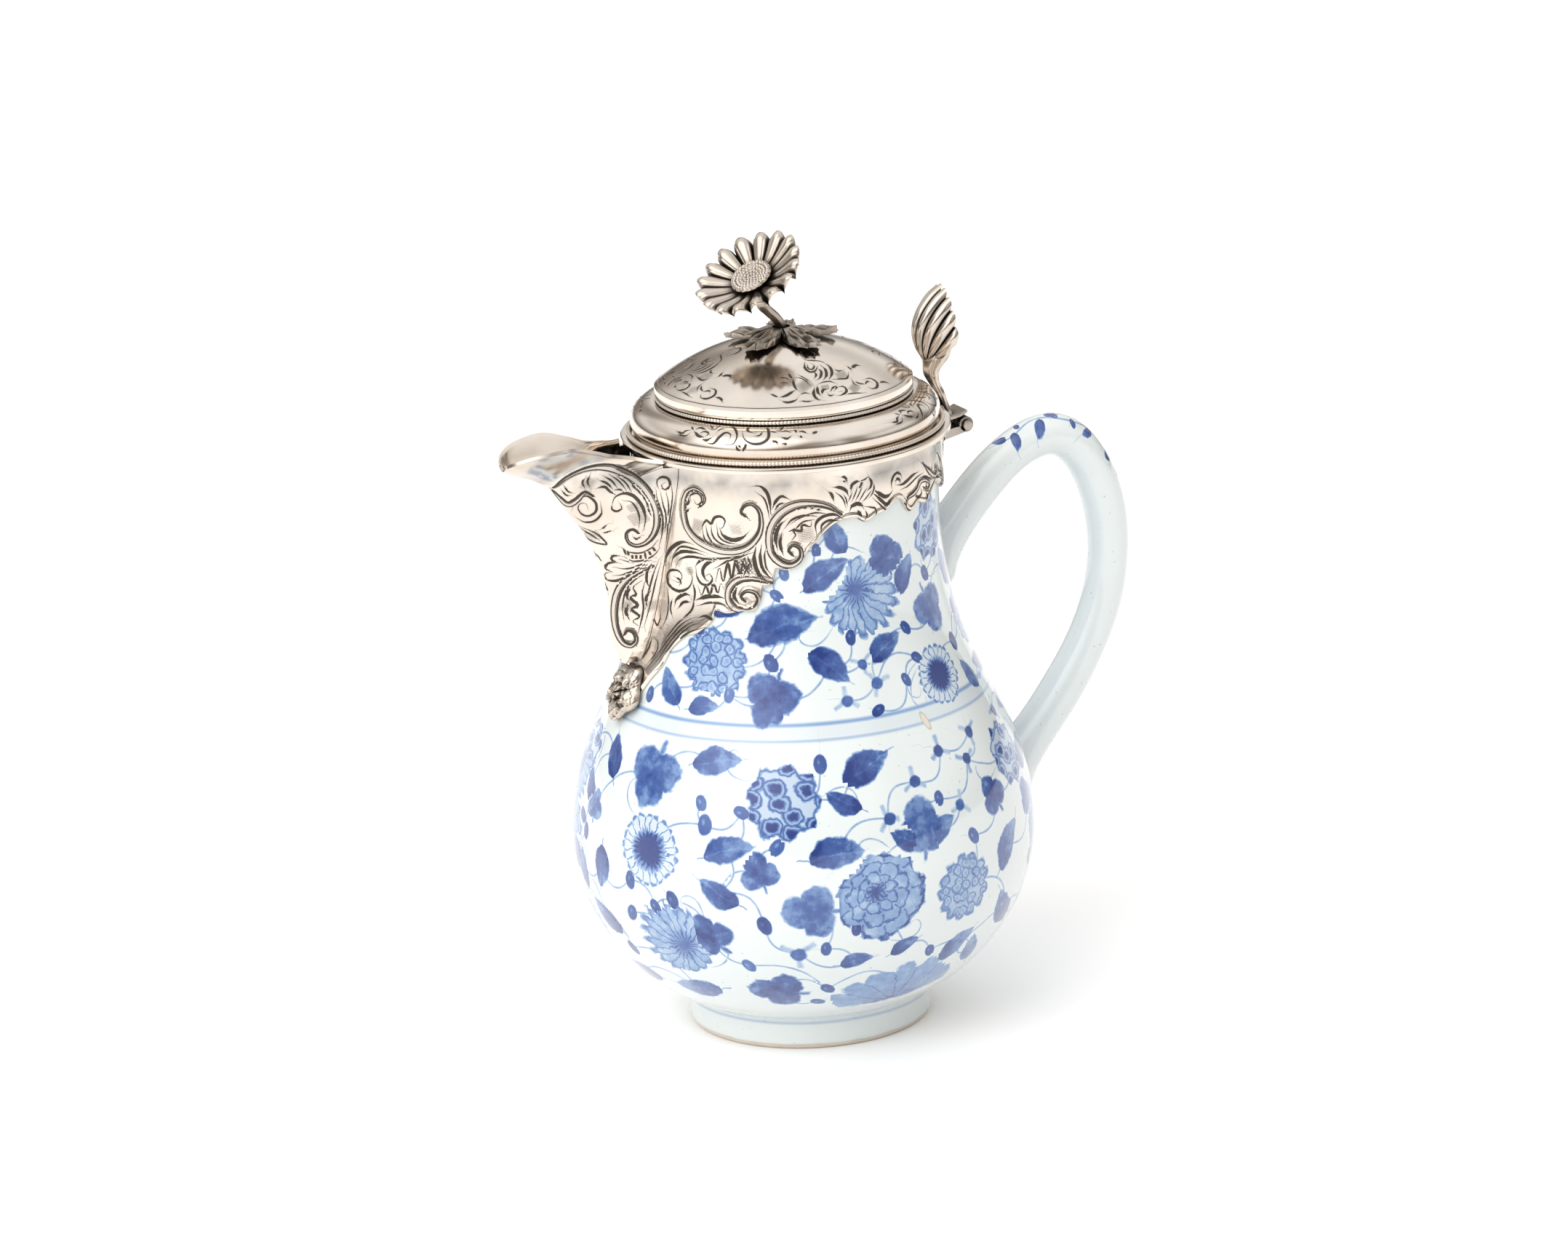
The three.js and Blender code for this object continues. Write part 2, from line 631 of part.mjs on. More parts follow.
function lidDome() {
  const footRadius = DOME_RADIUS - DOME_BEAD;
  const boreRadius = STEM_RADIUS + STEM_CLEARANCE;
  const cap = (drop, count) =>
    steps(count).map((t) => {
      const r = lerp(DOME_RADIUS - drop, boreRadius, t);
      return vec2(r, domeLevel(Math.min(r, DOME_RADIUS)) - drop);
    });
  return turned([
    vec2(footRadius - LID_SHEET, domeFoot),
    vec2(footRadius, domeFoot),
    vec2(footRadius, domeFoot + 0.35 * DOME_FOOT_HEIGHT),
    vec2(DOME_RADIUS, domeFoot + 0.55 * DOME_FOOT_HEIGHT),
    ...cap(0, 7),
    ...cap(LID_SHEET, 5).reverse(),
  ]);
}

function wireRing(centreRadius, bottom, width) {
  const half = width / 2;
  const chamfer = 0.3 * width;
  return turned([
    vec2(centreRadius - half, bottom),
    vec2(centreRadius + half - chamfer, bottom),
    vec2(centreRadius + half, bottom + half),
    vec2(centreRadius + half - chamfer, bottom + width),
    vec2(centreRadius - half, bottom + width),
  ]);
}

function lidFlange() {
  const edge = 0.4;
  return turned([
    vec2(FLANGE_INNER, flangeBottom),
    vec2(FLANGE_RADIUS - edge, flangeBottom),
    vec2(FLANGE_RADIUS, flangeBottom + edge),
    vec2(FLANGE_RADIUS, flangeTop - edge),
    vec2(FLANGE_RADIUS - edge, flangeTop),
    vec2(FLANGE_INNER, flangeTop),
  ]);
}

function lidBezel() {
  const top = flangeBottom - SEAT_GAP;
  return turned(ringProfile(BEZEL_RADIUS - BEZEL_THICKNESS, BEZEL_RADIUS, top - BEZEL_DEPTH, top));
}

// Hinge. Odd knuckles belong to the collar and even ones to the lid.
const knuckleLength = (HINGE_WIDTH - (KNUCKLE_COUNT - 1) * KNUCKLE_GAP) / KNUCKLE_COUNT;
const knuckleY = (k) => -HINGE_WIDTH / 2 + knuckleLength / 2 + k * (knuckleLength + KNUCKLE_GAP);

function knuckles(first, web) {
  const pieces = [];
  for (let k = first; k < KNUCKLE_COUNT; k += 2) {
    const barrel = rod(KNUCKLE_RADIUS, knuckleLength, 12).translate(hingeX, knuckleY(k), hingeZ);
    pieces.push(barrel, plate(web, knuckleLength).translate(0, knuckleY(k), 0));
  }
  return pieces;
}

const pinBore = () => rod(PIN_RADIUS + PIN_CLEARANCE, 2 * HINGE_WIDTH, 12).translate(hingeX, 0, hingeZ);

function hingeLeafCollar() {
  const wallX = silverOuter(RIM_LEVEL) - 1;
  const leaf = [
    vec2(wallX, hingeZ - 6),
    vec2(wallX + 2.2, hingeZ - 6),
    vec2(wallX + 3, hingeZ - 4),
    vec2(wallX + 4.2, hingeZ - 2.9),
    vec2(wallX + 4.2, hingeZ - 0.4),
    vec2(wallX + 2.8, hingeZ + 0.9),
    vec2(wallX + 2.2, hingeZ + 2.6),
    vec2(wallX, hingeZ + 2.6),
  ];
  const web = [
    vec2(wallX + 3.6, hingeZ - 3),
    vec2(hingeX - 0.4, hingeZ - KNUCKLE_RADIUS + 0.1),
    vec2(hingeX, hingeZ),
    vec2(wallX + 3.6, hingeZ - 0.6),
  ];
  const body = join(plate(leaf, HINGE_WIDTH), ...knuckles(0, web));
  return cut(body, pinBore(), bodyBlank(2 * SEAT_GAP + COLLAR_THICKNESS, NECK_LEVEL, RIM_LEVEL));
}

const stalkSeat = hingeZ + 2.5;
const stalkFootDepth = STALK_THICKNESS + 0.6;
const lidLeafX = FLANGE_RADIUS + SEAT_GAP;
const stalkX = lidLeafX + LID_LEAF_SHEET + SEAT_GAP + stalkFootDepth / 2;

function hingeLeafLid() {
  const leaf = [
    vec2(lidLeafX, flangeBottom - 1.6),
    vec2(lidLeafX + 0.7, stalkSeat - 0.5),
    vec2(stalkX - 1, stalkSeat - 1),
    vec2(stalkX + 2.2, stalkSeat - 0.5),
    vec2(stalkX + 4.1, stalkSeat + 0.4),
    vec2(stalkX + 3.9, stalkSeat + 1.1),
    vec2(stalkX + 1.6, stalkSeat),
    vec2(stalkX - 1.7, stalkSeat),
    vec2(lidLeafX + LID_LEAF_SHEET, flangeTop - 1.4),
    vec2(lidLeafX + 0.5 * LID_LEAF_SHEET, flangeTop - 0.4),
    vec2(lidLeafX, flangeTop - 0.4),
  ];
  const web = [
    vec2(hingeX - KNUCKLE_RADIUS + 0.2, hingeZ),
    vec2(hingeX, hingeZ),
    vec2(hingeX, stalkSeat + 0.4),
    vec2(hingeX - KNUCKLE_RADIUS - 0.6, stalkSeat - 0.5),
  ];
  const seat = bodyBlank(0, NECK_LEVEL, RIM_LEVEL);
  return cut(join(plate(leaf, HINGE_WIDTH), ...knuckles(1, web)), pinBore(), seat);
}

function hingePin() {
  const head = rod(PIN_RADIUS + 0.5, 0.8, 12);
  const length = HINGE_WIDTH + 2 * SEAT_GAP;
  const headY = length / 2 + 0.3;
  return join(
    rod(PIN_RADIUS, length + 0.4, 12),
    head.clone().translate(0, headY, 0),
    head.clone().translate(0, -headY, 0),
  ).translate(hingeX, 0, hingeZ);
}

// Thumbpiece: a fluted scallop shell that grows out of a bulb on an S-shaped stalk
function thumbpiece() {
  const foot = vec2(stalkX, stalkSeat + SEAT_GAP);
  const base = vec3(foot.x - 4.2, 0, foot.y + 12);
  const rim = (phi) =>
    vec3(
      base.x + 4.8 - 0.5 * Math.cos(phi),
      SHELL_HALF_WIDTH * Math.sin(phi),
      base.z + SHELL_HEIGHT * (0.3 + 0.7 * Math.cos(phi)),
    );
  const flutes = SHELL_FLUTES * 3;
  const grid = steps(flutes).map((a) => {
    const phi = lerp(-SHELL_SPREAD, SHELL_SPREAD, a);
    const ridge = Math.cos(a * SHELL_FLUTES * TURN);
    const edge = rim(phi);
    const bulge = vec3(-4.6 * Math.cos(phi) ** 2 - 0.6, 1.6 * Math.sin(phi), 0);
    const control = base.clone().add(edge).divideScalar(2).addScaledVector(bulge, 2);
    const curve = new THREE.QuadraticBezierCurve3(base, control, edge);
    return steps(5).map((t) => {
      const along = lerp(0.08, 0.96 - 0.04 * ridge, t);
      const outward = vec3(-Math.cos(phi), Math.sin(phi), 0.2).normalize();
      return curve.getPoint(along).addScaledVector(outward, -SHELL_FLUTE_DEPTH * ridge * Math.sqrt(along));
    });
  });
  const shell = wall(grid, offsetGrid(grid, -SHELL_THICKNESS, false), false);
  const ovalRing = (x, z, width, depth, lean) =>
    steps(12)
      .slice(1)
      .map((s) =>
        vec3(
          x + (depth / 2) * Math.cos(s * TURN) * Math.cos(lean),
          (width / 2) * Math.sin(s * TURN),
          z + (depth / 2) * Math.cos(s * TURN) * Math.sin(lean),
        ),
      );
  const stalk = loft([
    ovalRing(foot.x, foot.y, STALK_WIDTH + 1.6, stalkFootDepth, 0),
    ovalRing(foot.x - 0.1, foot.y + 1, STALK_WIDTH, STALK_THICKNESS, 0.1),
    ovalRing(foot.x - 1.4, foot.y + 5, STALK_WIDTH - 0.3, STALK_THICKNESS - 0.2, 0.3),
    ovalRing(foot.x - 2.9, foot.y + 8.4, STALK_WIDTH, STALK_THICKNESS + 0.2, 0.3),
    ovalRing(foot.x - 3.3, foot.y + 11, STALK_WIDTH + 1.2, STALK_THICKNESS + 1.2, 0),
    ovalRing(foot.x - 2.3, foot.y + 13.6, STALK_WIDTH + 4.4, STALK_THICKNESS + 3.4, -0.1),
    ovalRing(foot.x - 1.2, foot.y + 16, STALK_WIDTH + 5, STALK_THICKNESS + 3.2, -0.1),
    ovalRing(foot.x - 0.6, foot.y + 18, STALK_WIDTH + 1, STALK_THICKNESS + 0.6, -0.1),
  ]);
  return join(shell, stalk);
}

// Finial
const flowerNormal = polar(Math.cos(FLOWER_TILT), FLOWER_HEADING, Math.sin(FLOWER_TILT));
const flowerCentre = polar(FLOWER_OFFSET, FLOWER_HEADING, domeTop + FLOWER_RISE);

// Turns a piece made round +Z at the origin to face along the flower's normal.
function onFlower(geometry, lift) {
  const turn = new THREE.Quaternion().setFromUnitVectors(vec3(0, 0, 1), flowerNormal);
  const place = flowerCentre.clone().addScaledVector(flowerNormal, lift);
  return geometry.applyQuaternion(turn).translate(place.x, place.y, place.z);
}

function finialFlower() {
  const around = steps(4 * FLOWER_PETALS).slice(1);
  const bore = STEM_RADIUS + STEM_CLEARANCE;
  const face = around.map((a) => {
    const lobe = Math.abs(Math.cos((a * FLOWER_PETALS * TURN) / 2)) ** 0.6;
    const wave = 2 * lobe - 1;
    const rim = FLOWER_RADIUS * (0.91 + 0.09 * lobe);
    return steps(3).map((s) => {
      const r = lerp(bore, rim, s);
      const dish = FLOWER_DISH * (r / FLOWER_RADIUS) ** 1.8;
      const flute = 0.75 * wave * s;
      return polar(r, a * TURN, dish - flute);
    });
  });
  const backs = face.map((line) => line.map((p) => p.clone().add(vec3(0, 0, -FLOWER_THICKNESS))));
  return onFlower(wall(face, backs, true), -SEED_HEIGHT - SEAT_GAP);
}

function finialSeedDisc() {
  const profile = steps(4).map((t) => {
    const angle = (t * Math.PI) / 2;
    return vec2(SEED_RADIUS * Math.cos(angle), 0.5 + (SEED_HEIGHT - 0.5) * Math.sin(angle));
  });
  profile[profile.length - 1].x = 0;
  const dished = FLOWER_DISH * (SEED_RADIUS / FLOWER_RADIUS) ** 1.8 + 2 * SEAT_GAP;
  const under = [vec2(0, 0), vec2(SEED_RADIUS * 0.45, SEAT_GAP), vec2(SEED_RADIUS, dished)];
  const top = profile.map((p) => vec2(p.x, p.y + dished * (p.x / SEED_RADIUS) ** 2));
  return onFlower(turned([...under, ...top], 20), -SEED_HEIGHT);
}

function finialStem() {
  const end = flowerCentre.clone().addScaledVector(flowerNormal, -SEED_HEIGHT - SEAT_GAP);
  const foot = domeTop - LID_SHEET - NUT_HEIGHT - 2 * SEAT_GAP - 0.6;
  const path = new THREE.CatmullRomCurve3([
    vec3(0, 0, foot),
    vec3(0, 0, domeTop + 1.8),
    polar(STEM_LEAN / 4, FLOWER_HEADING, domeTop + 4.4),
    polar(STEM_LEAN, FLOWER_HEADING, domeTop + 8.4),
    end.clone().addScaledVector(flowerNormal, -3),
    end,
  ]);
  const frames = path.computeFrenetFrames(12, false);
  const rings = steps(12).map((t, i) =>
    steps(10)
      .slice(1)
      .map((s) =>
        path
          .getPointAt(t)
          .addScaledVector(frames.normals[i], STEM_RADIUS * Math.cos(s * TURN))
          .addScaledVector(frames.binormals[i], STEM_RADIUS * Math.sin(s * TURN)),
      ),
  );
  return loft(rings);
}

function finialLeaves() {
  const around = steps(10 * LEAF_COUNT).slice(1);
  const bore = STEM_RADIUS + STEM_CLEARANCE + 0.5;
  const top = [];
  const under = [];
  for (const a of around) {
    const angle = a * TURN + LEAF_TURN;
    const lobe = Math.abs(Math.cos((a * TURN * LEAF_COUNT) / 2)) ** 1.1;
    const tip = lerp(bore + 1.6, LEAF_REACH, lobe);
    const lines = steps(3).map((s) => {
      const r = lerp(bore, tip, s);
      const hump = 1.3 * Math.exp(-(((r - bore) / 3) ** 2));
      const lift = SEAT_GAP + 0.15 + 1.6 * (r / LEAF_REACH) ** 3;
      return { r, low: domeLevel(r) + lift, high: domeLevel(r) + lift + LEAF_THICKNESS + hump };
    });
    top.push(lines.map(({ r, high }) => polar(r, angle, high)));
    under.push(lines.map(({ r, low }) => polar(r, angle, low)));
  }
  return wall(top, under, true);
}

function finialNut() {
  const top = domeTop - LID_SHEET - SEAT_GAP - 0.2;
  const bore = STEM_RADIUS + STEM_CLEARANCE;
  const foot = top - NUT_HEIGHT;
  return turned([vec2(bore, foot), vec2(NUT_RADIUS * 0.7, foot), vec2(NUT_RADIUS, top), vec2(bore, top)], 12);
}

// Finishes
const porcelain = new THREE.MeshStandardMaterial({ color: 0xe6edf2, roughness: 0.12, metalness: 0 });
const silver = new THREE.MeshStandardMaterial({ color: 0xc9c0b4, roughness: 0.28, metalness: 1 });
const darkSilver = new THREE.MeshStandardMaterial({ color: 0x9a9084, roughness: 0.36, metalness: 1 });

const part = new THREE.Group();
const jug = new THREE.Group();
const lid = new THREE.Group();
part.add(jug, lid);

function add(group, name, geometry, material) {
  const mesh = new THREE.Mesh(geometry, material);
  mesh.name = name;
  group.add(mesh);
}

add(jug, "porcelain_body", cut(porcelainBody(), pouringNotch(NOTCH_PORCELAIN_MARGIN)), porcelain);
add(jug, "porcelain_handle", porcelainHandle(), porcelain);
add(jug, "neck_collar", neckCollar(), silver);
add(jug, "collar_seat", collarSeat(), silver);
add(jug, "spout", spout(), silver);
add(jug, "spout_drop", spoutDrop(), darkSilver);
add(jug, "hinge_leaf_collar", hingeLeafCollar(), darkSilver);
add(jug, "hinge_pin", hingePin(), darkSilver);

add(lid, "lid_flange", lidFlange(), silver);
add(lid, "lid_bezel", lidBezel(), silver);
add(lid, "lower_milled_wire", wireRing(OVOLO_RADIUS + 0.6, ovoloFoot, LOWER_WIRE), silver);
add(lid, "lid_ovolo", lidOvolo(), silver);
add(lid, "upper_milled_wire", wireRing(DOME_RADIUS - 0.3, domeFoot, UPPER_WIRE), silver);
add(lid, "lid_dome", lidDome(), silver);
add(lid, "hinge_leaf_lid", hingeLeafLid(), darkSilver);
add(lid, "thumbpiece", thumbpiece(), darkSilver);
add(lid, "finial_leaves", finialLeaves(), darkSilver);
add(lid, "finial_stem", finialStem(), darkSilver);
add(lid, "finial_flower", finialFlower(), darkSilver);
add(lid, "finial_seed_disc", finialSeedDisc(), darkSilver);
add(lid, "finial_nut", finialNut(), silver);

// The part stands with the middle of its box over the origin.
const handleReach = HANDLE_BACK.x + HANDLE_RADIUS;
part.position.x = (SPOUT_REACH - handleReach) / 2;

export default part;
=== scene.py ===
"""A blue and white porcelain jug in engraved silver mounts, with a hinged lid.

Lengths in the tables are millimetres from the vertical axis of the body and from the table.
Meshes are stored in metres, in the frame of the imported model.
"""

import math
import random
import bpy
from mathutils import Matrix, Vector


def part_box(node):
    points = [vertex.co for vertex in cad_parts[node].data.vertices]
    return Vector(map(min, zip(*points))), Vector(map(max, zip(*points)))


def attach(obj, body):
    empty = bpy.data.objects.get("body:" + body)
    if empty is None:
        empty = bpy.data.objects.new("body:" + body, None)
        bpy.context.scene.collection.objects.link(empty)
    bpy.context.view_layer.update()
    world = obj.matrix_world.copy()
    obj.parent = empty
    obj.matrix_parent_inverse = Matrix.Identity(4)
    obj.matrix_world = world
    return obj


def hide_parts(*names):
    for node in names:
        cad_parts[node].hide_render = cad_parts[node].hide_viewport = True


bl_info = {
    "name": "Porcelain jug in silver mounts",
    "version": (1, 0, 0),
    "blender": (4, 5, 0),
    "location": "View3D > Sidebar > Jug",
    "description": "Models a blue and white porcelain jug with engraved silver mounts and a hinged lid",
    "category": "Object",
}

import bpy
import numpy as np
from mathutils import Matrix, Vector

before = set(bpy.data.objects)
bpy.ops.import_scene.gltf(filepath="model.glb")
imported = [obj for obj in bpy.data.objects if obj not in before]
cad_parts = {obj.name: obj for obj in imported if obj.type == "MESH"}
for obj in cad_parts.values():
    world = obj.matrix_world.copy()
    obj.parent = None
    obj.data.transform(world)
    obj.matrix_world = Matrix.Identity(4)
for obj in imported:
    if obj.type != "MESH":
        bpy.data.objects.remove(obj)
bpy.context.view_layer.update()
MM = 0.001
MERGE = 0.002  # points closer than this many millimetres become one
TURN = 2 * math.pi


def node_box(name):
    """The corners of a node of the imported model, in millimetres."""
    low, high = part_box(name)
    return np.array(low) / MM, np.array(high) / MM


BODY_LOW, BODY_HIGH = node_box("porcelain_body")
AXIS_X = (BODY_LOW[0] + BODY_HIGH[0]) / 2
MOUTH_LEVEL = BODY_HIGH[2]
RIM_LEVEL = node_box("neck_collar")[1][2]
MOUTH_RADIUS = 35.2
WALL = 3.4
SILVER_SHEET = 0.8
NECK_GAP = 0.3
FLOOR_LEVEL = 10.2


# ---------------------------------------------------------------- outlines
def curve_through(points, count):
    """A smooth curve through control points, with `count` steps in each span."""
    pts = np.array(points, float)
    ends = np.vstack([2 * pts[0] - pts[1], pts, 2 * pts[-1] - pts[-2]])
    out = []
    for i in range(len(pts) - 1):
        a, b, c, d = ends[i : i + 4]
        t = np.linspace(0, 1, count, endpoint=False)[:, None]
        out.append(0.5 * (2 * b + (c - a) * t + (2 * a - 5 * b + 4 * c - d) * t**2 + (3 * b - a - 3 * c + d) * t**3))
    out.append(pts[-1:])
    return np.vstack(out)


def bezier(points, count):
    """Points on a Bézier curve with three or four control points."""
    p = np.array(points, float)
    t = np.linspace(0, 1, count + 1)[:, None]
    if len(p) == 3:
        return (1 - t) ** 2 * p[0] + 2 * (1 - t) * t * p[1] + t**2 * p[2]
    return (1 - t) ** 3 * p[0] + 3 * (1 - t) ** 2 * t * p[1] + 3 * (1 - t) * t**2 * p[2] + t**3 * p[3]


def resample(points, step):
    """The same line with points at even distances."""
    pts = np.array(points, float)
    run = np.concatenate([[0], np.cumsum(np.linalg.norm(np.diff(pts, axis=0), axis=1))])
    want = np.linspace(0, run[-1], max(2, int(round(run[-1] / step)) + 1))
    return np.stack([np.interp(want, run, pts[:, k]) for k in range(pts.shape[1])], axis=1)


LOWER_BELLY = bezier([(29.5, 8), (41.5, 12.94), (54.3, 27.61), (54.3, 46)], 80)
SHOULDER = bezier([(54.3, 46), (54.3, 75.87), (34.9, 82.58), (34.9, 124)], 160)
NECK = bezier([(34.9, 124), (34.9, 130.6), (MOUTH_RADIUS, MOUTH_LEVEL)], 24)
OUTLINE = np.vstack([LOWER_BELLY, SHOULDER[1:], NECK[1:]])


def body_radius(z):
    """Radius of the glazed body at a level."""
    return np.interp(z, OUTLINE[:, 1], OUTLINE[:, 0])


def on_body(angle, z, proud=0.0):
    """A point on the body (radians, level), standing proud of the glaze."""
    r = body_radius(z) + proud
    return np.stack([r * np.cos(angle), r * np.sin(angle), z + 0 * r], axis=-1)


# ---------------------------------------------------------------- mesh helpers
def clear_selection():
    """Leaves edit mode and deselects every object."""
    if bpy.context.mode != "OBJECT":
        bpy.ops.object.mode_set(mode="OBJECT")
    bpy.ops.object.select_all(action="DESELECT")


def choose(obj):
    """Makes one object the only one that an operator acts on."""
    clear_selection()
    obj.select_set(True)
    bpy.context.view_layer.objects.active = obj


def to_frame(points):
    """Millimetres about the body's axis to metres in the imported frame."""
    return (np.array(points, float).reshape(-1, 3) + (AXIS_X, 0, 0)) * MM


def from_frame(points):
    """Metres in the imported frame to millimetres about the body's axis."""
    return points / MM - (AXIS_X, 0, 0)


def new_piece(name, points, faces=(), edges=()):
    """A mesh object from points in millimetres about the body's axis."""
    mesh = bpy.data.meshes.new(name)
    mesh.from_pydata([tuple(p) for p in to_frame(points)], list(edges), [tuple(f) for f in faces])
    mesh.update()
    obj = bpy.data.objects.new(name, mesh)
    bpy.context.scene.collection.objects.link(obj)
    return obj


def tidy(obj, angle=35):
    """Merges doubles, turns the faces outwards and shades the piece smooth but for its edges."""
    choose(obj)
    bpy.ops.object.mode_set(mode="EDIT")
    bpy.ops.mesh.select_all(action="SELECT")
    bpy.ops.mesh.remove_doubles(threshold=MERGE * MM)
    bpy.ops.mesh.normals_make_consistent(inside=False)
    bpy.ops.object.mode_set(mode="OBJECT")
    bpy.ops.object.shade_smooth_by_angle(angle=math.radians(angle))
    return obj


def turned(name, profile, sides):
    """Spins an outline of (radius, level) points round the body's axis."""
    points = [(r, 0.0, z) for r, z in profile]
    obj = new_piece(name, points, edges=[(i, i + 1) for i in range(len(points) - 1)])
    choose(obj)
    bpy.ops.object.mode_set(mode="EDIT")
    bpy.ops.mesh.select_all(action="SELECT")
    bpy.ops.mesh.spin(steps=sides, angle=TURN, center=tuple(to_frame([(0, 0, 0)])[0]), axis=(0, 0, 1))
    bpy.ops.object.mode_set(mode="OBJECT")
    return tidy(obj)


def grid_faces(rows, columns, round_rows=False, round_columns=False):
    """Four-sided faces between the points of a grid, closed round either way if asked."""
    faces = []
    for i in range(rows if round_rows else rows - 1):
        for j in range(columns if round_columns else columns - 1):
            a, b = i * columns, ((i + 1) % rows) * columns
            k = (j + 1) % columns
            faces.append((a + j, b + j, b + k, a + k))
    return faces


def sheet_piece(name, grid, back, round_rows=False, angle=40):
    """A closed wall between two grids of points, shape (rows, columns, 3)."""
    rows, columns = grid.shape[:2]
    count = rows * columns
    faces = grid_faces(rows, columns, round_rows)
    faces += [tuple(count + v for v in reversed(f)) for f in grid_faces(rows, columns, round_rows)]
    last = columns - 1
    for i in range(rows if round_rows else rows - 1):
        a, b = i * columns, ((i + 1) % rows) * columns
        faces.append((a, count + a, count + b, b))
        faces.append((b + last, count + b + last, count + a + last, a + last))
    if not round_rows:
        end = (rows - 1) * columns
        for j in range(last):
            faces.append((j + 1, count + j + 1, count + j, j))
            faces.append((end + j, count + end + j, count + end + j + 1, end + j + 1))
    return tidy(new_piece(name, np.vstack([grid.reshape(-1, 3), back.reshape(-1, 3)]), faces), angle=angle)


def tube_piece(name, centres, sections, angle=40):
    """A skin through rings of points, shape (rings, sides, 3), closed at both ends."""
    rings, sides = sections.shape[:2]
    points = list(sections.reshape(-1, 3)) + [centres[0], centres[-1]]
    faces = grid_faces(rings, sides, round_columns=True)
    hub, tip, end = rings * sides, rings * sides + 1, (rings - 1) * sides
    for j in range(sides):
        k = (j + 1) % sides
        faces.append((hub, j, k))
        faces.append((tip, end + k, end + j))
    return tidy(new_piece(name, points, faces), angle=angle)


def grid_normals(grid):
    """The surface's own normal at each point of a grid."""
    normal = np.cross(np.gradient(grid, axis=0), np.gradient(grid, axis=1))
    return normal / np.maximum(np.linalg.norm(normal, axis=2, keepdims=True), 1e-9)


def cut_away(obj, *tools):
    """Cuts other closed pieces out of a piece and removes them."""
    for tool in tools:
        choose(obj)
        modifier = obj.modifiers.new("cut", "BOOLEAN")
        modifier.operation = "DIFFERENCE"
        modifier.solver = "MANIFOLD"
        modifier.object = tool
        before = len(obj.data.polygons)
        bpy.ops.object.modifier_apply(modifier=modifier.name)
        if not len(obj.data.polygons) or len(obj.data.polygons) == before:
            raise RuntimeError(f"{tool.name} cut nothing out of {obj.name}")
    for tool in tools:
        bpy.data.objects.remove(tool, do_unlink=True)
    return obj


def notch_tool(name, start, length, depth, half_foot, half_top):
    """A wedge that opens the wall below the rim for the pouring notch."""
    low, top = RIM_LEVEL - depth, RIM_LEVEL + WALL
    corners = ((-half_foot, low), (half_foot, low), (half_top, top), (-half_top, top))
    points = [(x, y, z) for x in (start, start + length) for y, z in corners]
    faces = [(3, 2, 1, 0), (4, 5, 6, 7), (0, 1, 5, 4), (1, 2, 6, 5), (2, 3, 7, 6), (3, 0, 4, 7)]
    return tidy(new_piece(name, points, faces))


def join_pieces(obj, *others):
    """Joins pieces into the first of them."""
    choose(obj)
    for other in others:
        other.select_set(True)
    bpy.ops.object.join()
    return obj


def finish_piece(obj, material, body, slot, *nodes):
    """Gives a piece its material and says which body and nodes it belongs to; the slot is not used."""
    obj.data.materials.clear()
    obj.data.materials.append(material)
    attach(obj, body)
    if nodes:
        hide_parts(*nodes)
    return obj


# ---------------------------------------------------------------- the photo camera as a drawing board
LINE, RIBBON = 0, 1  # the two manners of a stroke: a single cut, or a chased scroll with two edges
THINNEST_CUT, CUT_GROWTH = 0.075, 1.05
NO_STROKE, NO_STAMP = (9.0, 0.0, 0.0), (3.0, 3.0, 0.0)
STAMP_REACH, FARTHEST_STAMP = 1.35, 30
LENS, SENSOR, PHOTO_WIDE, PHOTO_HIGH = 174.56, 36.0, 2156, 1725
SHIFT_X, SHIFT_Y = -0.00686, 0.0070
EYE = np.array([-0.72665, -1.54072, 0.5925])
LOOK_DOWN, ROLL = math.radians(16.42), math.radians(-2.54)
AHEAD = Vector((0.4226 * math.cos(LOOK_DOWN), 0.9063 * math.cos(LOOK_DOWN), -math.sin(LOOK_DOWN)))
EYE_TURN = AHEAD.to_track_quat("-Z", "Y").to_matrix() @ Matrix.Rotation(ROLL, 3, "Z")


def sight(points, sheet):
    """Lines of sight of points on a drawing sheet: its left, its top and its enlargement."""
    left, top, scale = sheet
    px, py = left + points[:, 0] / scale, top + points[:, 1] / scale
    u = (px / PHOTO_WIDE - 0.5 + SHIFT_X) * SENSOR / LENS
    v = ((0.5 * PHOTO_HIGH - py) / PHOTO_WIDE + SHIFT_Y) * SENSOR / LENS
    way = np.stack([u, v, -np.ones(len(u))], 1) @ np.array(EYE_TURN).T
    return EYE / MM - (AXIS_X, 0, 0), way / np.linalg.norm(way, axis=1, keepdims=True)


def carried(points, sheet, outside):
    """Carries drawn points along the line of sight to where `outside` falls to nought."""
    eye, way = sight(points, sheet)
    run = np.linspace(1600, 1960, 721)
    spots = eye + way[:, None, :] * run[None, :, None]
    gap = outside(spots)
    hit = (gap <= 0).argmax(1)
    hit = np.where(gap.min(1) > 0, gap.argmin(1), hit)
    before = np.maximum(hit - 1, 0)
    n = np.arange(len(points))
    a, b = gap[n, before], gap[n, hit]
    share = np.where(b < 0, a / np.maximum(a - b, 1e-9), 1.0)
    return eye + way * (run[before] + share * (run[hit] - run[before]))[:, None]


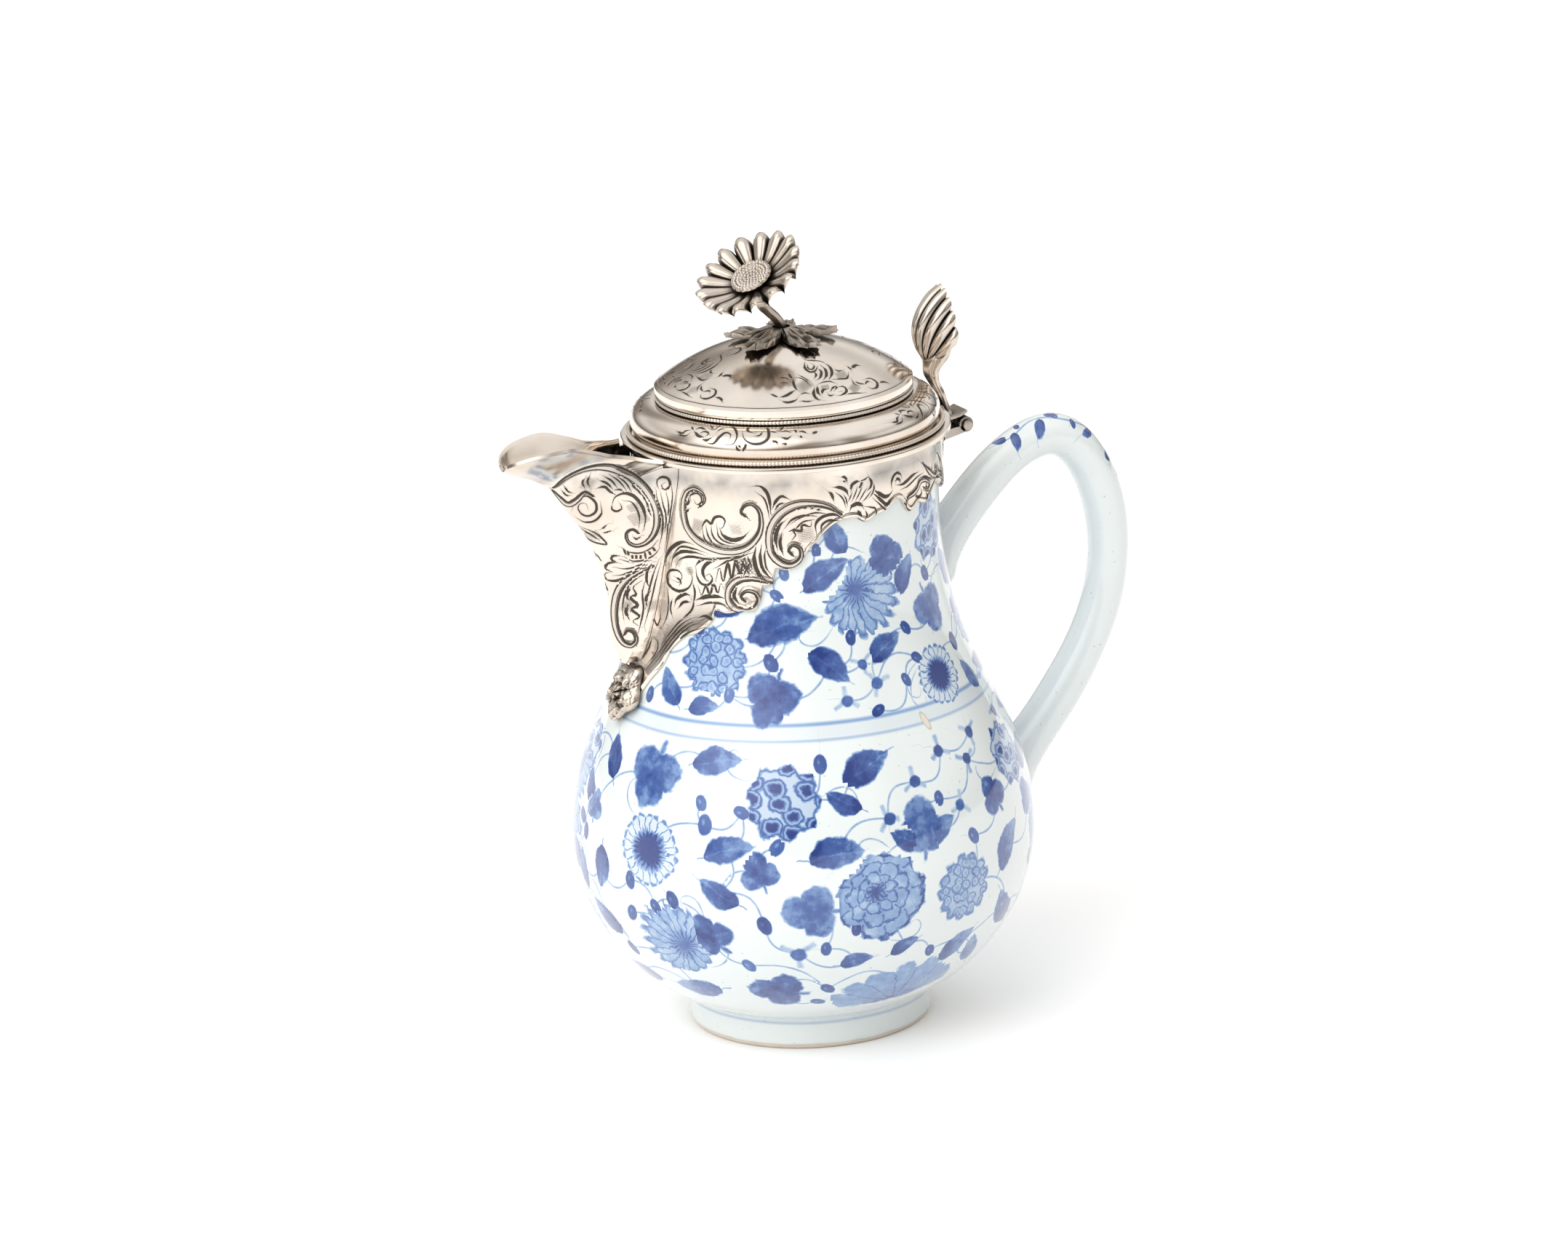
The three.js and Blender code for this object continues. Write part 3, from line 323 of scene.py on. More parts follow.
def drawn_strokes(cuts, sheet, place, weight, copies, manner=LINE):
    """Strokes from a table of drawn lines by half width, each x, y, x, y and so on."""
    if manner == RIBBON:
        shape = [0.8, 1, 1, 0.75, 0.5]
    else:
        shape = [0.3, 1, 0.9, 0.2]
    made = []
    for half, lines in cuts.items():
        width = half if manner == RIBBON else THINNEST_CUT + CUT_GROWTH * half
        for flat in lines:
            line = place(curve_through(np.array(flat, float).reshape(-1, 2), 6), sheet)
            for copy in copies:
                points = line * (1, copy, 1) if isinstance(copy, int) else line @ copy
                made.append(Stroke(points, np.array(shape) * width * weight, manner))
    return made


def hatched_grounds(rows, sheet, place, directions, copies):
    """Stamps of the hatched grounds from a table, with a copy for each mirroring or turn."""
    made = []
    for kind, x, y, size, turn, pitch in rows:
        spot = place(np.array([(x, y)], float), sheet)[0]
        for copy in copies:
            p = spot * (1, copy, 1) if isinstance(copy, int) else spot @ copy
            right, up = directions(p, math.radians(turn), copy)
            made.append(Stamp(p, right, up, size, kind, pitch))
    return made


def quarter_turn(steps):
    """A matrix that carries a drawing on the lid round by quarter turns."""
    a = steps * math.pi / 2
    return np.array([[math.cos(a), math.sin(a), 0], [-math.sin(a), math.cos(a), 0], [0, 0, 1]])


# ---------------------------------------------------------------- drawing on a surface
class Stroke:
    """A line drawn on a surface: points in space, half its width along it, and a manner."""

    def __init__(self, points, half, manner=LINE, ends=True):
        pts = resample(points, 0.5)
        half = np.atleast_1d(half)
        share = np.linspace(0, 1, len(pts))
        swell = np.interp(share, np.linspace(0, 1, len(half)), half)
        if ends:
            swell = swell * np.minimum(1, 0.25 + 2.5 * np.minimum(share, share[::-1]))
        along = np.gradient(pts, axis=0)
        self.points = pts
        self.tangent = along / np.maximum(np.linalg.norm(along, axis=1, keepdims=True), 1e-9)
        self.run = np.arange(len(pts)) * np.linalg.norm(pts[-1] - pts[-2])
        self.half = swell
        self.manner = manner


class Stamp:
    """A drawn motif: its middle, its own two directions, half its size, its kind and its tone."""

    def __init__(self, centre, right, up, size, kind, tone, aspect=1.0):
        self.centre = np.array(centre, float)
        self.right, self.up = np.array(right, float) / (size * aspect), np.array(up, float) / size
        self.kind, self.tone = kind, tone


def face_data(mesh):
    """Face middles, normals, the face of every corner and the corners of a mesh, in millimetres."""

    def read(items, name, width, kind=float):
        values = np.empty(len(items) * width, kind)
        items.foreach_get(name, values)
        return values.reshape(-1, width) if width > 1 else values

    verts = from_frame(read(mesh.vertices, "co", 3))
    owner = np.repeat(np.arange(len(mesh.polygons)), read(mesh.polygons, "loop_total", 1, int))
    middle = from_frame(read(mesh.polygons, "center", 3))
    return middle, read(mesh.polygons, "normal", 3), owner, verts[read(mesh.loops, "vertex_index", 1, int)]


def nearest(points, targets, give=None, block=1500):
    """For each point, the number of the nearest target and its distance, less `give` of that target."""
    best, gap = np.zeros(len(points), int), np.full(len(points), 1e9)
    spare = 0 if give is None else give[None, :]
    square = (targets**2).sum(1)[None, :]
    for i in range(0, len(points), block):
        p = points[i : i + block]
        d = np.sqrt(np.maximum((p**2).sum(1)[:, None] - 2 * p @ targets.T + square, 0)) - spare
        k = d.argmin(1)
        best[i : i + block], gap[i : i + block] = k, d[np.arange(len(p)), k]
    return best, gap


def store(mesh, name, kind, domain, values):
    """Keeps numbers with a mesh as a named attribute."""
    layer = mesh.attributes.new(name, kind, domain)
    layer.data.foreach_set("vector" if kind == "FLOAT_VECTOR" else "value", np.asarray(values, np.float32).ravel())


def draw_on(obj, strokes=(), stamps=(), facing=None):
    """Stores, for every face, where the nearest stroke and stamp run across it."""
    mesh = obj.data
    middle, normal, owner, corner = face_data(mesh)
    faces, corners = len(middle), len(corner)
    allowed = np.ones(faces, bool) if facing is None else facing(middle, normal)
    picked = np.nonzero(allowed)[0]
    stroke, manner = np.tile(NO_STROKE, (corners, 1)), np.zeros(faces)
    if len(strokes) and len(picked):
        pts, tangent = (np.vstack([getattr(s, name) for s in strokes]) for name in ("points", "tangent"))
        run, half = (np.concatenate([getattr(s, name) for s in strokes]) for name in ("run", "half"))
        counts = [len(s.points) for s in strokes]
        kinds, last = np.repeat([s.manner for s in strokes], counts), np.repeat([s.run[-1] for s in strokes], counts)
        best = np.zeros(faces, int)
        best[picked], _ = nearest(middle[picked], pts, half)
        b = best[owner]
        away = corner - pts[b]
        side = np.cross(normal[owner], tangent[b])
        side /= np.maximum(np.linalg.norm(side, axis=1, keepdims=True), 1e-9)
        across, along = (away * side).sum(1), (away * tangent[b]).sum(1) + run[b]
        over = np.maximum(0, np.maximum(-along, along - last[b]))
        across = np.where(across < 0, -1, 1) * np.hypot(across, over)
        stroke = np.stack([across, along, half[b]], 1)
        stroke[~allowed[owner]] = NO_STROKE
        manner = kinds[best].astype(float)
    store(mesh, "stroke", "FLOAT_VECTOR", "CORNER", stroke)
    store(mesh, "manner", "FLOAT", "FACE", manner)
    place, tone = np.tile(NO_STAMP, (corners, 1)), np.zeros(faces)
    if len(stamps) and len(picked):
        centre, right, up, kinds, tones = (
            np.array([getattr(s, name) for s in stamps]) for name in ("centre", "right", "up", "kind", "tone")
        )
        best, gap = np.zeros(faces, int), np.full(faces, 1e9)
        for i in range(0, len(picked), 2000):
            rows = picked[i : i + 2000]
            away = middle[rows][:, None, :] - centre[None, :, :]
            too_far = (np.linalg.norm(away, axis=2) > FARTHEST_STAMP) * 9
            d = np.hypot((away * right).sum(2), (away * up).sum(2)) + too_far
            k = d.argmin(1)
            best[rows], gap[rows] = k, d[np.arange(len(rows)), k]
        b = best[owner]
        away = corner - centre[b]
        near = gap < STAMP_REACH
        place = np.stack([(away * right[b]).sum(1), (away * up[b]).sum(1), kinds[b] * near[owner]], 1)
        tone = tones[best] * near
    store(mesh, "stamp", "FLOAT_VECTOR", "CORNER", place)
    store(mesh, "tone", "FLOAT", "FACE", tone)


# ---------------------------------------------------------------- shader sums
class Value:
    """A number that changes over a surface. Writing sums with it adds Math nodes to a tree."""

    def __init__(self, tree, socket):
        self.tree, self.socket = tree, socket

    def sum(self, operation, *others, clamp=False):
        node = self.tree.nodes.new("ShaderNodeMath")
        node.operation, node.use_clamp = operation, clamp
        for place, item in zip(node.inputs, (self,) + others):
            plug(self.tree, item, place)
        return Value(self.tree, node.outputs[0])

    def __add__(self, other):
        return self.sum("ADD", other)

    def __sub__(self, other):
        return self.sum("SUBTRACT", other)

    def __rsub__(self, other):
        return self.sum("MULTIPLY_ADD", -1.0, other)

    def __mul__(self, other):
        return self.sum("MULTIPLY", other)

    def __truediv__(self, other):
        return self.sum("DIVIDE", other)

    def __abs__(self):
        return self.sum("ABSOLUTE")

    __radd__, __rmul__ = __add__, __mul__

    def under(self, edge, soft=0.05):
        """1 where this is below the edge, fading over `soft` on both sides."""
        gap = edge - self if isinstance(edge, Value) else (self * -1.0 + edge)
        return (gap / soft).sum("MULTIPLY_ADD", 0.5, 0.5, clamp=True)

    def near(self, value, half, soft=0.02):
        return abs(self - value).under(half, soft)

    def top(self, other):
        return self.sum("MAXIMUM", other)

    def clip(self):
        return self.sum("ADD", 0.0, clamp=True)


def plug(tree, item, socket):
    """Joins a socket or a running value to an input, or sets the input to a number."""
    if isinstance(item, Value):
        tree.links.new(item.socket, socket)
    elif isinstance(item, bpy.types.NodeSocket):
        tree.links.new(item, socket)
    else:
        socket.default_value = item


def split(tree, vector):
    """The three numbers of a vector."""
    node = tree.nodes.new("ShaderNodeSeparateXYZ")
    tree.links.new(vector, node.inputs[0])
    return [Value(tree, node.outputs[k]) for k in range(3)]


def polar(x, y):
    """Distance from the middle, and the turn round it from 0 to 1."""
    return (x * x + y * y).sum("SQRT"), (y.sum("ARCTAN2", x) / TURN + 1.0).sum("FRACT")


def spread(turn, count):
    """How far round a petal is from its middle line: 0 at the middle and 0.5 between petals."""
    return abs((turn * count).sum("FRACT") - 0.5)


def noise(tree, vector, scale, detail=2.0, rough=0.5, colour=False):
    """Cloud noise at a place, as a value or as a colour."""
    node = tree.nodes.new("ShaderNodeTexNoise")
    for label, item in (("Vector", vector), ("Scale", scale), ("Detail", detail), ("Roughness", rough)):
        plug(tree, item, node.inputs[label])
    return node.outputs["Color"] if colour else Value(tree, node.outputs["Fac"])


def attribute(tree, name, kind="Vector"):
    """Reads what draw_on stored with the mesh."""
    node = tree.nodes.new("ShaderNodeAttribute")
    node.attribute_name = name
    return node.outputs[kind]


def object_place(tree):
    """The object's own coordinates."""
    return tree.nodes.new("ShaderNodeTexCoord").outputs["Object"]


def blend_colours(tree, amount, first, second):
    """The second colour over the first, as far as the amount says."""
    node = tree.nodes.new("ShaderNodeMix")
    node.data_type = "RGBA"
    plug(tree, amount, node.inputs[0])
    for item, place in ((first, node.inputs[6]), (second, node.inputs[7])):
        plug(tree, item if isinstance(item, bpy.types.NodeSocket) else (*item, 1), place)
    return node.outputs[2]


def group(name, inputs, outputs):
    """A new shader node group with named sockets, with its tree, inputs and output node."""
    tree = bpy.data.node_groups.new(name, "ShaderNodeTree")
    for label, kind, default in inputs:
        socket = tree.interface.new_socket(name=label, in_out="INPUT", socket_type=kind)
        if default is not None:
            socket.default_value = default
    for label, kind in outputs:
        tree.interface.new_socket(name=label, in_out="OUTPUT", socket_type=kind)
    enter, leave = tree.nodes.new("NodeGroupInput"), tree.nodes.new("NodeGroupOutput")
    return tree, enter.outputs, leave.inputs


def use(tree, which, **values):
    """Adds a node group to a tree with these inputs, and gives its outputs."""
    node = tree.nodes.new("ShaderNodeGroup")
    node.node_tree = which
    for label, item in values.items():
        plug(tree, item, node.inputs[label])
    return node.outputs


# ---------------------------------------------------------------- painted motifs
# Level, half width and strength of the ruled lines, in metres, and the level of the wash between them.
RULED_BANDS = ((0.0839, 0.00042, 0.34), (0.0805, 0.0003, 0.26), (0.0069, 0.0003, 0.2))
PALE_BAND = 0.0822
CHRYSANTHEMUM, DAISY, BALL, PEONY, LOTUS, LEAF, TREFOIL, BUD, ROSEBUD, FAN, BLOT = range(1, 12)


def lines_between(spread_value, r, width):
    """Thin lines between petals, as wide near the heart as at the rim."""
    return ((0.5 - spread_value) * r).under(width, width * 0.8)


def paint_chrysanthemum(u, v, r, t, wash):
    """Every painter gives how dark the blue is and where the motif is, from its own two directions and its turn."""
    fade = (1.0 - r * r).clip()
    x, y = u + fade * 0.2, v - fade * 0.22
    rr, tt = polar(x, y)
    s = spread(tt, 19)
    rim = 0.98 - s * s * 0.7
    inside = rr.under(rim, 0.05)
    veins = lines_between(s, rr, 0.05) * (1.0 - rr.under(0.2, 0.06))
    edge = 1.0 - rr.under(rim - 0.09, 0.04)
    heart = rr.under(0.22, 0.1) * 0.8 + rr.near(0.32, 0.06, 0.06) * 0.3
    return ((0.27 + wash * 0.2) + veins.top(edge) * 0.36 + heart * 0.5).clip(), inside


def paint_daisy(u, v, r, t, wash):
    s = spread(t, 21)
    core = r.under(0.56 - s * 0.24, 0.1)
    rim = 0.98 - s * s * 0.5
    inside = r.under(rim, 0.04)
    loops = lines_between(s, r, 0.05).top(r.near(0.92, 0.04, 0.03)) * (1.0 - r.under(0.42, 0.05))
    heart = r.under(0.2, 0.1) * 0.15
    return (core * (0.92 + wash * 0.2) + heart).top(loops * 0.5) + 0.09, inside


def roundels(u, v, scale, slide):
    """Distance from the middle of the nearest of many small round spots."""
    tree = u.tree
    combine = tree.nodes.new("ShaderNodeCombineXYZ")
    plug(tree, u + slide, combine.inputs[0])
    plug(tree, v + slide, combine.inputs[1])
    cells = tree.nodes.new("ShaderNodeTexVoronoi")
    cells.voronoi_dimensions = "2D"
    cells.inputs["Scale"].default_value = scale
    cells.inputs["Randomness"].default_value = 0.55
    tree.links.new(combine.outputs[0], cells.inputs["Vector"])
    return Value(tree, cells.outputs["Distance"])


def paint_ball(u, v, r, t, wash):
    """A full peony seen as a cluster of small round petals."""
    d = roundels(u, v, 3.1, 3.3)
    s = spread(t, 13)
    inside = r.under(0.98 - s * s * 0.6, 0.04)
    outline = d.near(0.43, 0.07, 0.06).top(r.near(0.93 - s * s * 0.6, 0.04, 0.04))
    return outline * 0.36 + d.under(0.15, 0.1) * 0.12 + wash * 0.14 + 0.24, inside


def paint_peony(u, v, r, t, wash):
    fade = (1.0 - r * r).clip()
    rr, tt = polar(u + fade * 0.12, v - fade * 0.1)
    ring = (rr * 4.2).sum("FLOOR")
    s = spread(tt + ring * 0.11, 9)
    reach = (rr * 4.2).sum("FRACT") + s * s * 1.6
    scale_edge = reach.near(1.0, 0.13, 0.08).top(lines_between(s, rr, 0.03) * reach.under(0.9, 0.1))
    inside = r.under(0.97 - spread(t, 11) * 0.16, 0.03)
    heart = rr.under(0.16, 0.08)
    return (0.32 + wash * 0.25 + scale_edge * 0.36 + heart * 0.25 + r.near(0.93, 0.05, 0.03) * 0.3).clip(), inside


def paint_lotus(u, v, r, t, wash):
    d = roundels(u, v * 1.2, 1.7, 7.4)
    s = spread(t, 9)
    inside = r.under(1.0 - s * 0.34, 0.04)
    dark = d.under(0.25, 0.1) * (0.86 + wash * 0.2)
    ring = d.near(0.44, 0.06, 0.05) * 0.5
    edge = (1.0 - r.under(0.93 - s * 0.34, 0.04)) * 0.5
    return dark.top(ring).top(edge) + 0.16, inside


def paint_leaf(u, v, r, t, wash):
    """Long leaf: the tip points up, and the brush leaves more colour at its foot."""
    body = (1.0 - v * v).clip()
    half = body.sum("POWER", 0.75) * (0.52 - v * 0.16)
    bent = u + body * 0.12
    inside = abs(bent).under(half, 0.05)
    rib = abs(bent - 0.05).under(0.035, 0.03) * -0.1
    return (0.72 - v * 0.2 + wash * 0.42 + rib).clip(), inside


def paint_trefoil(u, v, r, t, wash):
    s = spread(t + 0.25, 3)
    lobes = r.under(0.56 + (0.5 - s).sum("POWER", 0.6) * 0.58, 0.05)
    stalk = abs(u).under(0.06, 0.05) * v.under(0.0, 0.05) * r.under(1.0, 0.05)
    rib = lines_between(0.5 - s, r, 0.05) * -0.1
    return (0.68 + wash * 0.42 + r.under(0.4, 0.3) * 0.2 + rib).clip(), lobes.top(stalk)


def paint_bud(u, v, r, t, wash):
    oval = (u * u * 2.2 + v * v).sum("SQRT")
    patch = ((u + 0.14) * (u + 0.14) * 3.0 + (v - 0.2) * (v - 0.2)).sum("SQRT").under(0.22, 0.15)
    return (0.78 - patch * 0.25 + wash * 0.2).clip(), oval.under(0.95, 0.08)


def paint_rosebud(u, v, r, t, wash):
    s = spread(t + 0.08, 3)
    head = (u * u + (v + 0.1) * (v + 0.1)).sum("SQRT").under(0.4, 0.06)
    spikes = s.sum("MULTIPLY_ADD", -1.0, 0.5)
    sepals = ((0.5 - spikes) * r).under(0.07, 0.04) * r.under(0.98, 0.05)
    return (head * 0.5 + 0.26 + wash * 0.2).clip(), head.top(sepals)


def paint_fan(u, v, r, t, wash):
    rr, tt = polar(u, v + 0.75)
    s = spread(tt, 15)
    rim = 1.62 - s * s * 1.1
    inside = rr.under(rim, 0.05) * (1.0 - v.under(-0.72, 0.05))
    veins = lines_between(s, rr, 0.03)
    return (0.36 + wash * 0.25 + veins * 0.25 + rr.under(0.5, 0.3) * 0.2).clip(), inside


def paint_blot(u, v, r, t, wash):
    """One stroke of a full brush."""
    return (0.75 + wash * 0.25).clip(), (u * u * 1.6 + v * v).sum("SQRT").under(0.85 + wash * 0.2, 0.1)


PAINTERS = {
    CHRYSANTHEMUM: paint_chrysanthemum, DAISY: paint_daisy, BALL: paint_ball, PEONY: paint_peony,
    LOTUS: paint_lotus, LEAF: paint_leaf, TREFOIL: paint_trefoil, BUD: paint_bud,
    ROSEBUD: paint_rosebud, FAN: paint_fan, BLOT: paint_blot,
}


def wobble_group():
    """Moves a drawing a little here and there, as an unsteady hand does."""
    tree, given, result = group(
        "Unsteady hand",
        [("Drawing", "NodeSocketVector", None), ("Amount", "NodeSocketFloat", 0.05), ("Scale", "NodeSocketFloat", 300)],
        [("Drawing", "NodeSocketVector")],
    )
    cloud = noise(tree, object_place(tree), given["Scale"], 1, colour=True)

    def vectors(operation, *items):
        node = tree.nodes.new("ShaderNodeVectorMath")
        node.operation = operation
        for item, place in zip(items, node.inputs):
            plug(tree, item, place)
        return node

    shift = vectors("SUBTRACT", cloud, (0.5, 0.5, 0.5)).outputs[0]
    scaled = vectors("SCALE", shift)
    tree.links.new(given["Amount"], scaled.inputs["Scale"])
    moved = vectors("MULTIPLY_ADD", scaled.outputs[0], (1, 1, 0), given["Drawing"])
    tree.links.new(moved.outputs[0], result["Drawing"])
    return tree


def cobalt_group(wobble):
    """The density of the blue painting, from the stamps, the strokes and the ruled bands."""
    tree, given, result = group(
        "Cobalt painting",
        [("Bands", "NodeSocketFloat", 1.0), ("Strength", "NodeSocketFloat", 1.0)],
        [("Density", "NodeSocketFloat")],
    )
    place = object_place(tree)
    wash = (noise(tree, place, 330, 3, 0.6) - 0.5) * 2.2
    stamp = attribute(tree, "stamp")
    kind = split(tree, stamp)[2]
    drawn = use(tree, wobble, Drawing=stamp, Amount=0.24, Scale=210.0)["Drawing"]
    drawn = use(tree, wobble, Drawing=drawn, Amount=0.13, Scale=760.0)["Drawing"]
    u, v, _ = split(tree, drawn)
    r, t = polar(u, v)
    density, covered = None, None
    for number, painter in PAINTERS.items():
        chosen = kind.near(float(number), 0.4, 0.05)
        amount, inside = painter(u, v, r, t, wash)
        inside = inside * chosen
        density = amount * inside if density is None else density + amount * inside
        covered = inside if covered is None else covered.top(inside)
    tone = Value(tree, attribute(tree, "tone", "Fac"))
    density = density * (tone * 0.3 + 0.85)
    line = attribute(tree, "stroke")
    across, _, half = split(tree, use(tree, wobble, Drawing=line, Amount=0.5, Scale=160.0)["Drawing"])
    stem = abs(across).under(half, 0.12) * (0.3 + wash * 0.2)
    sway = noise(tree, place, 30, 1) * 0.0006
    level = split(tree, place)[2] + sway
    bands = level.near(PALE_BAND, 0.0017, 0.0008) * 0.05
    for height, width, strength in RULED_BANDS:
        bands = bands.top(level.near(height, width, 0.0003) * strength)
    lines = stem.top(bands * Value(tree, given["Bands"])) * (1.0 - covered)
    total = (density + lines) * Value(tree, given["Strength"])
    tree.links.new(total.clip().socket, result["Density"])
    return tree


def stain_group():
    """Soft spots of grime and haze, larger and smaller."""
    tree, given, result = group(
        "Soft stains",
        [("Scale", "NodeSocketFloat", 40), ("Cover", "NodeSocketFloat", 0.5), ("Softness", "NodeSocketFloat", 0.1)],
        [("Mask", "NodeSocketFloat")],
    )
    cloud = noise(tree, object_place(tree), given["Scale"], 4)
    shade = 1.0 - cloud.under(Value(tree, given["Cover"]), Value(tree, given["Softness"]))
    tree.links.new(shade.socket, result["Mask"])
    return tree


def material(name):
    """A new material with its tree, its shader and the object's own coordinates."""
    made = bpy.data.materials.new(name)
    made.use_nodes = True
    tree = made.node_tree
    return made, tree, tree.nodes["Principled BSDF"], object_place(tree)


def bump(tree, shader, height, distance, strength):
    """Lets a height pattern ruffle the shading of a material."""
    node = tree.nodes.new("ShaderNodeBump")
    node.inputs["Distance"].default_value = distance
    node.inputs["Strength"].default_value = strength
    plug(tree, height, node.inputs["Height"])
    tree.links.new(node.outputs[0], shader.inputs["Normal"])


# Places of two flaws in the glaze, x and level in metres, and the colours of specks and bare clay.
RESIDUE, FOOT_STAIN = (0.0038, 0.0805), (0.0145, 0.0105)
IRON_SPECK, BARE_CLAY = (0.25, 0.2, 0.15), (0.72, 0.64, 0.54)


def porcelain_material(name, groups, finish, bands):
    """White glaze over cobalt painting, with a bare foot ring and a few flaws."""
    made, tree, shader, place = material(name)
    density = Value(tree, use(tree, groups["cobalt"], Bands=bands, Strength=1.0)["Density"])
    x, y, z = split(tree, place)
    colour = blend_colours(tree, noise(tree, place, 22, 2), finish.glaze, [c * 0.97 for c in finish.glaze])
    blues = ((3.2, 0.0, finish.blue_light), (2.6, 0.75, finish.blue_middle), (2.4, 1.35, finish.blue_dark))
    for gain, start, blue in blues:
        colour = blend_colours(tree, (density * gain - start).clip(), colour, blue)
    specks = noise(tree, place, 900, 1).under(0.235, 0.015)
    colour = blend_colours(tree, specks * 0.35, colour, IRON_SPECK)
    right, up = x - RESIDUE[0], z - RESIDUE[1]
    long, wide = (right * 0.45 - up * 0.89) / 0.0024, (right * 0.89 + up * 0.45) / 0.00085
    lozenge = (long * long + wide * wide).sum("SQRT")
    near_side = y.under(-0.03, 0.002)
    colour = blend_colours(tree, lozenge.under(1.0, 0.1) * near_side * 0.6, colour, (0.4, 0.33, 0.24))
    colour = blend_colours(tree, lozenge.under(0.78, 0.1) * near_side, colour, (0.77, 0.72, 0.6))
    right, up = x - FOOT_STAIN[0], z - FOOT_STAIN[1]
    away = (right * right * 0.2 + up * up * 3.0).sum("SQRT")
    stain = away.under(0.004, 0.0035) * y.under(-0.01, 0.01) * noise(tree, place, 260, 3)
    colour = blend_colours(tree, stain * 0.35, colour, (0.62, 0.45, 0.27))
    foot = z.under(noise(tree, place, 150, 2) * 0.0009 + 0.0004, 0.0002)
    rust = (z.under(noise(tree, place, 120, 2) * 0.001 + 0.0008, 0.0003) - foot).clip()
    colour = blend_colours(tree, rust * 0.55, colour, (0.55, 0.33, 0.16))
    colour = blend_colours(tree, foot * bands, colour, BARE_CLAY)
    tree.links.new(colour, shader.inputs["Base Color"])
    grain = noise(tree, place, 1800, 2)
    plug(tree, (0.22 + foot * 0.55 + grain * 0.04), shader.inputs["Roughness"])
    plug(tree, 1.0 - foot, shader.inputs["Coat Weight"])
    for label, item in (("Coat Roughness", 0.035), ("Coat IOR", 1.5), ("Specular IOR Level", 0.4)):
        shader.inputs[label].default_value = item
    skin = noise(tree, place, 260, 2) * 0.5 + noise(tree, place, 60, 1)
    bump(tree, shader, skin + grain * foot * 0.4 + specks * -0.1, 0.00012, 0.5)
    return made


# ---------------------------------------------------------------- silver
HATCH, LATTICE = 1, 2
UNDER_RIM, LID_FOOT, DOME_SIDE = 0.1385, 0.1446, 0.1575  # levels where the silver tarnishes, in metres
GREY_TARNISH, PALE_TARNISH = (0.26, 0.26, 0.26), (0.5, 0.47, 0.46)
# Near-black of the painted shade and tarnish laid into hollows, and the colour of engraved cuts.
SHADE_AND_TARNISH_BLACK, CUT_COLOUR = (0.06, 0.05, 0.04), (0.055, 0.046, 0.038)


def engraving_group(wobble):
    """Engraved lines and hatched grounds: how dark the cut is, how much painted shade lies along its side, and how deep
    it is.
    """
    tree, given, result = group(
        "Engraving",
        [("Depth", "NodeSocketFloat", 1.0)],
        [("Cut", "NodeSocketFloat"), ("Shade", "NodeSocketFloat"), ("Height", "NodeSocketFloat")],
    )
    line = use(tree, wobble, Drawing=attribute(tree, "stroke"), Amount=0.12, Scale=500.0)["Drawing"]
    across, _, half = split(tree, line)
    manner = Value(tree, attribute(tree, "manner", "Fac"))
    size = abs(across)
    single = size.under(half, 0.05)
    heavy = 1.0 - across.under(0.0, 0.1)
    ribbon = abs(size - half).under(heavy * 0.11 + 0.15, 0.06).top(abs(across - half * 0.4).under(0.07, 0.05))
    cut = (single * manner.under(0.5, 0.1)).top(ribbon * manner.near(1.0, 0.4, 0.1))
    stamp = attribute(tree, "stamp")
    kind = split(tree, stamp)[2]
    u, v, _ = split(tree, use(tree, wobble, Drawing=stamp, Amount=0.05, Scale=400.0)["Drawing"])
    pitch = Value(tree, attribute(tree, "tone", "Fac"))
    patch = abs(u * 0.85 + v * 0.2).top(abs(v)).under(0.7, 0.3)
    hatch = abs(((u * 0.2 + v) * pitch).sum("FRACT") - 0.5).under(0.17, 0.12) * patch * 0.75
    weave = abs(((u + v) * pitch * 0.5).sum("FRACT") - 0.5).under(0.14, 0.06)
    weave = weave.top(abs(((u - v) * pitch * 0.5).sum("FRACT") - 0.5).under(0.14, 0.06)) * patch
    for number, drawn in ((HATCH, hatch), (LATTICE, weave)):
        cut = cut.top(drawn * kind.near(float(number), 0.4, 0.05))
    cut = cut.clip()
    # Painted shade: a soft dark band along the outside of every cut and ribbon.
    painted_shade_beside_cut = (size - half).under(0.12, 0.4) * size.under(4.0, 0.1) * 0.3
    for label, value in (("Shade", painted_shade_beside_cut), ("Cut", cut), ("Height", cut * Value(tree, given["Depth"]) * -1.0)):
        tree.links.new(value.socket, result[label])
    return tree


def wear_group():
    """Fine scratches from cleaning, in all directions."""
    tree, _, result = group("Rubbed silver", [], [("Scratches", "NodeSocketFloat"), ("Haze", "NodeSocketFloat")])
    place = object_place(tree)
    total = None
    for stretch, turn in (((9000, 260, 260), 0.4), ((260, 7000, 300), 1.1), ((300, 260, 8000), 2.2)):
        mapping = tree.nodes.new("ShaderNodeMapping")
        mapping.inputs["Scale"].default_value = stretch
        mapping.inputs["Rotation"].default_value = (turn, turn * 0.7, turn * 1.3)
        tree.links.new(place, mapping.inputs["Vector"])
        streak = noise(tree, mapping.outputs[0], 1.0, 1)
        total = streak if total is None else total + streak
    tree.links.new((total / 3.0).socket, result["Scratches"])
    haze = noise(tree, place, 90, 4, 0.6)
    tree.links.new(haze.socket, result["Haze"])
    return tree


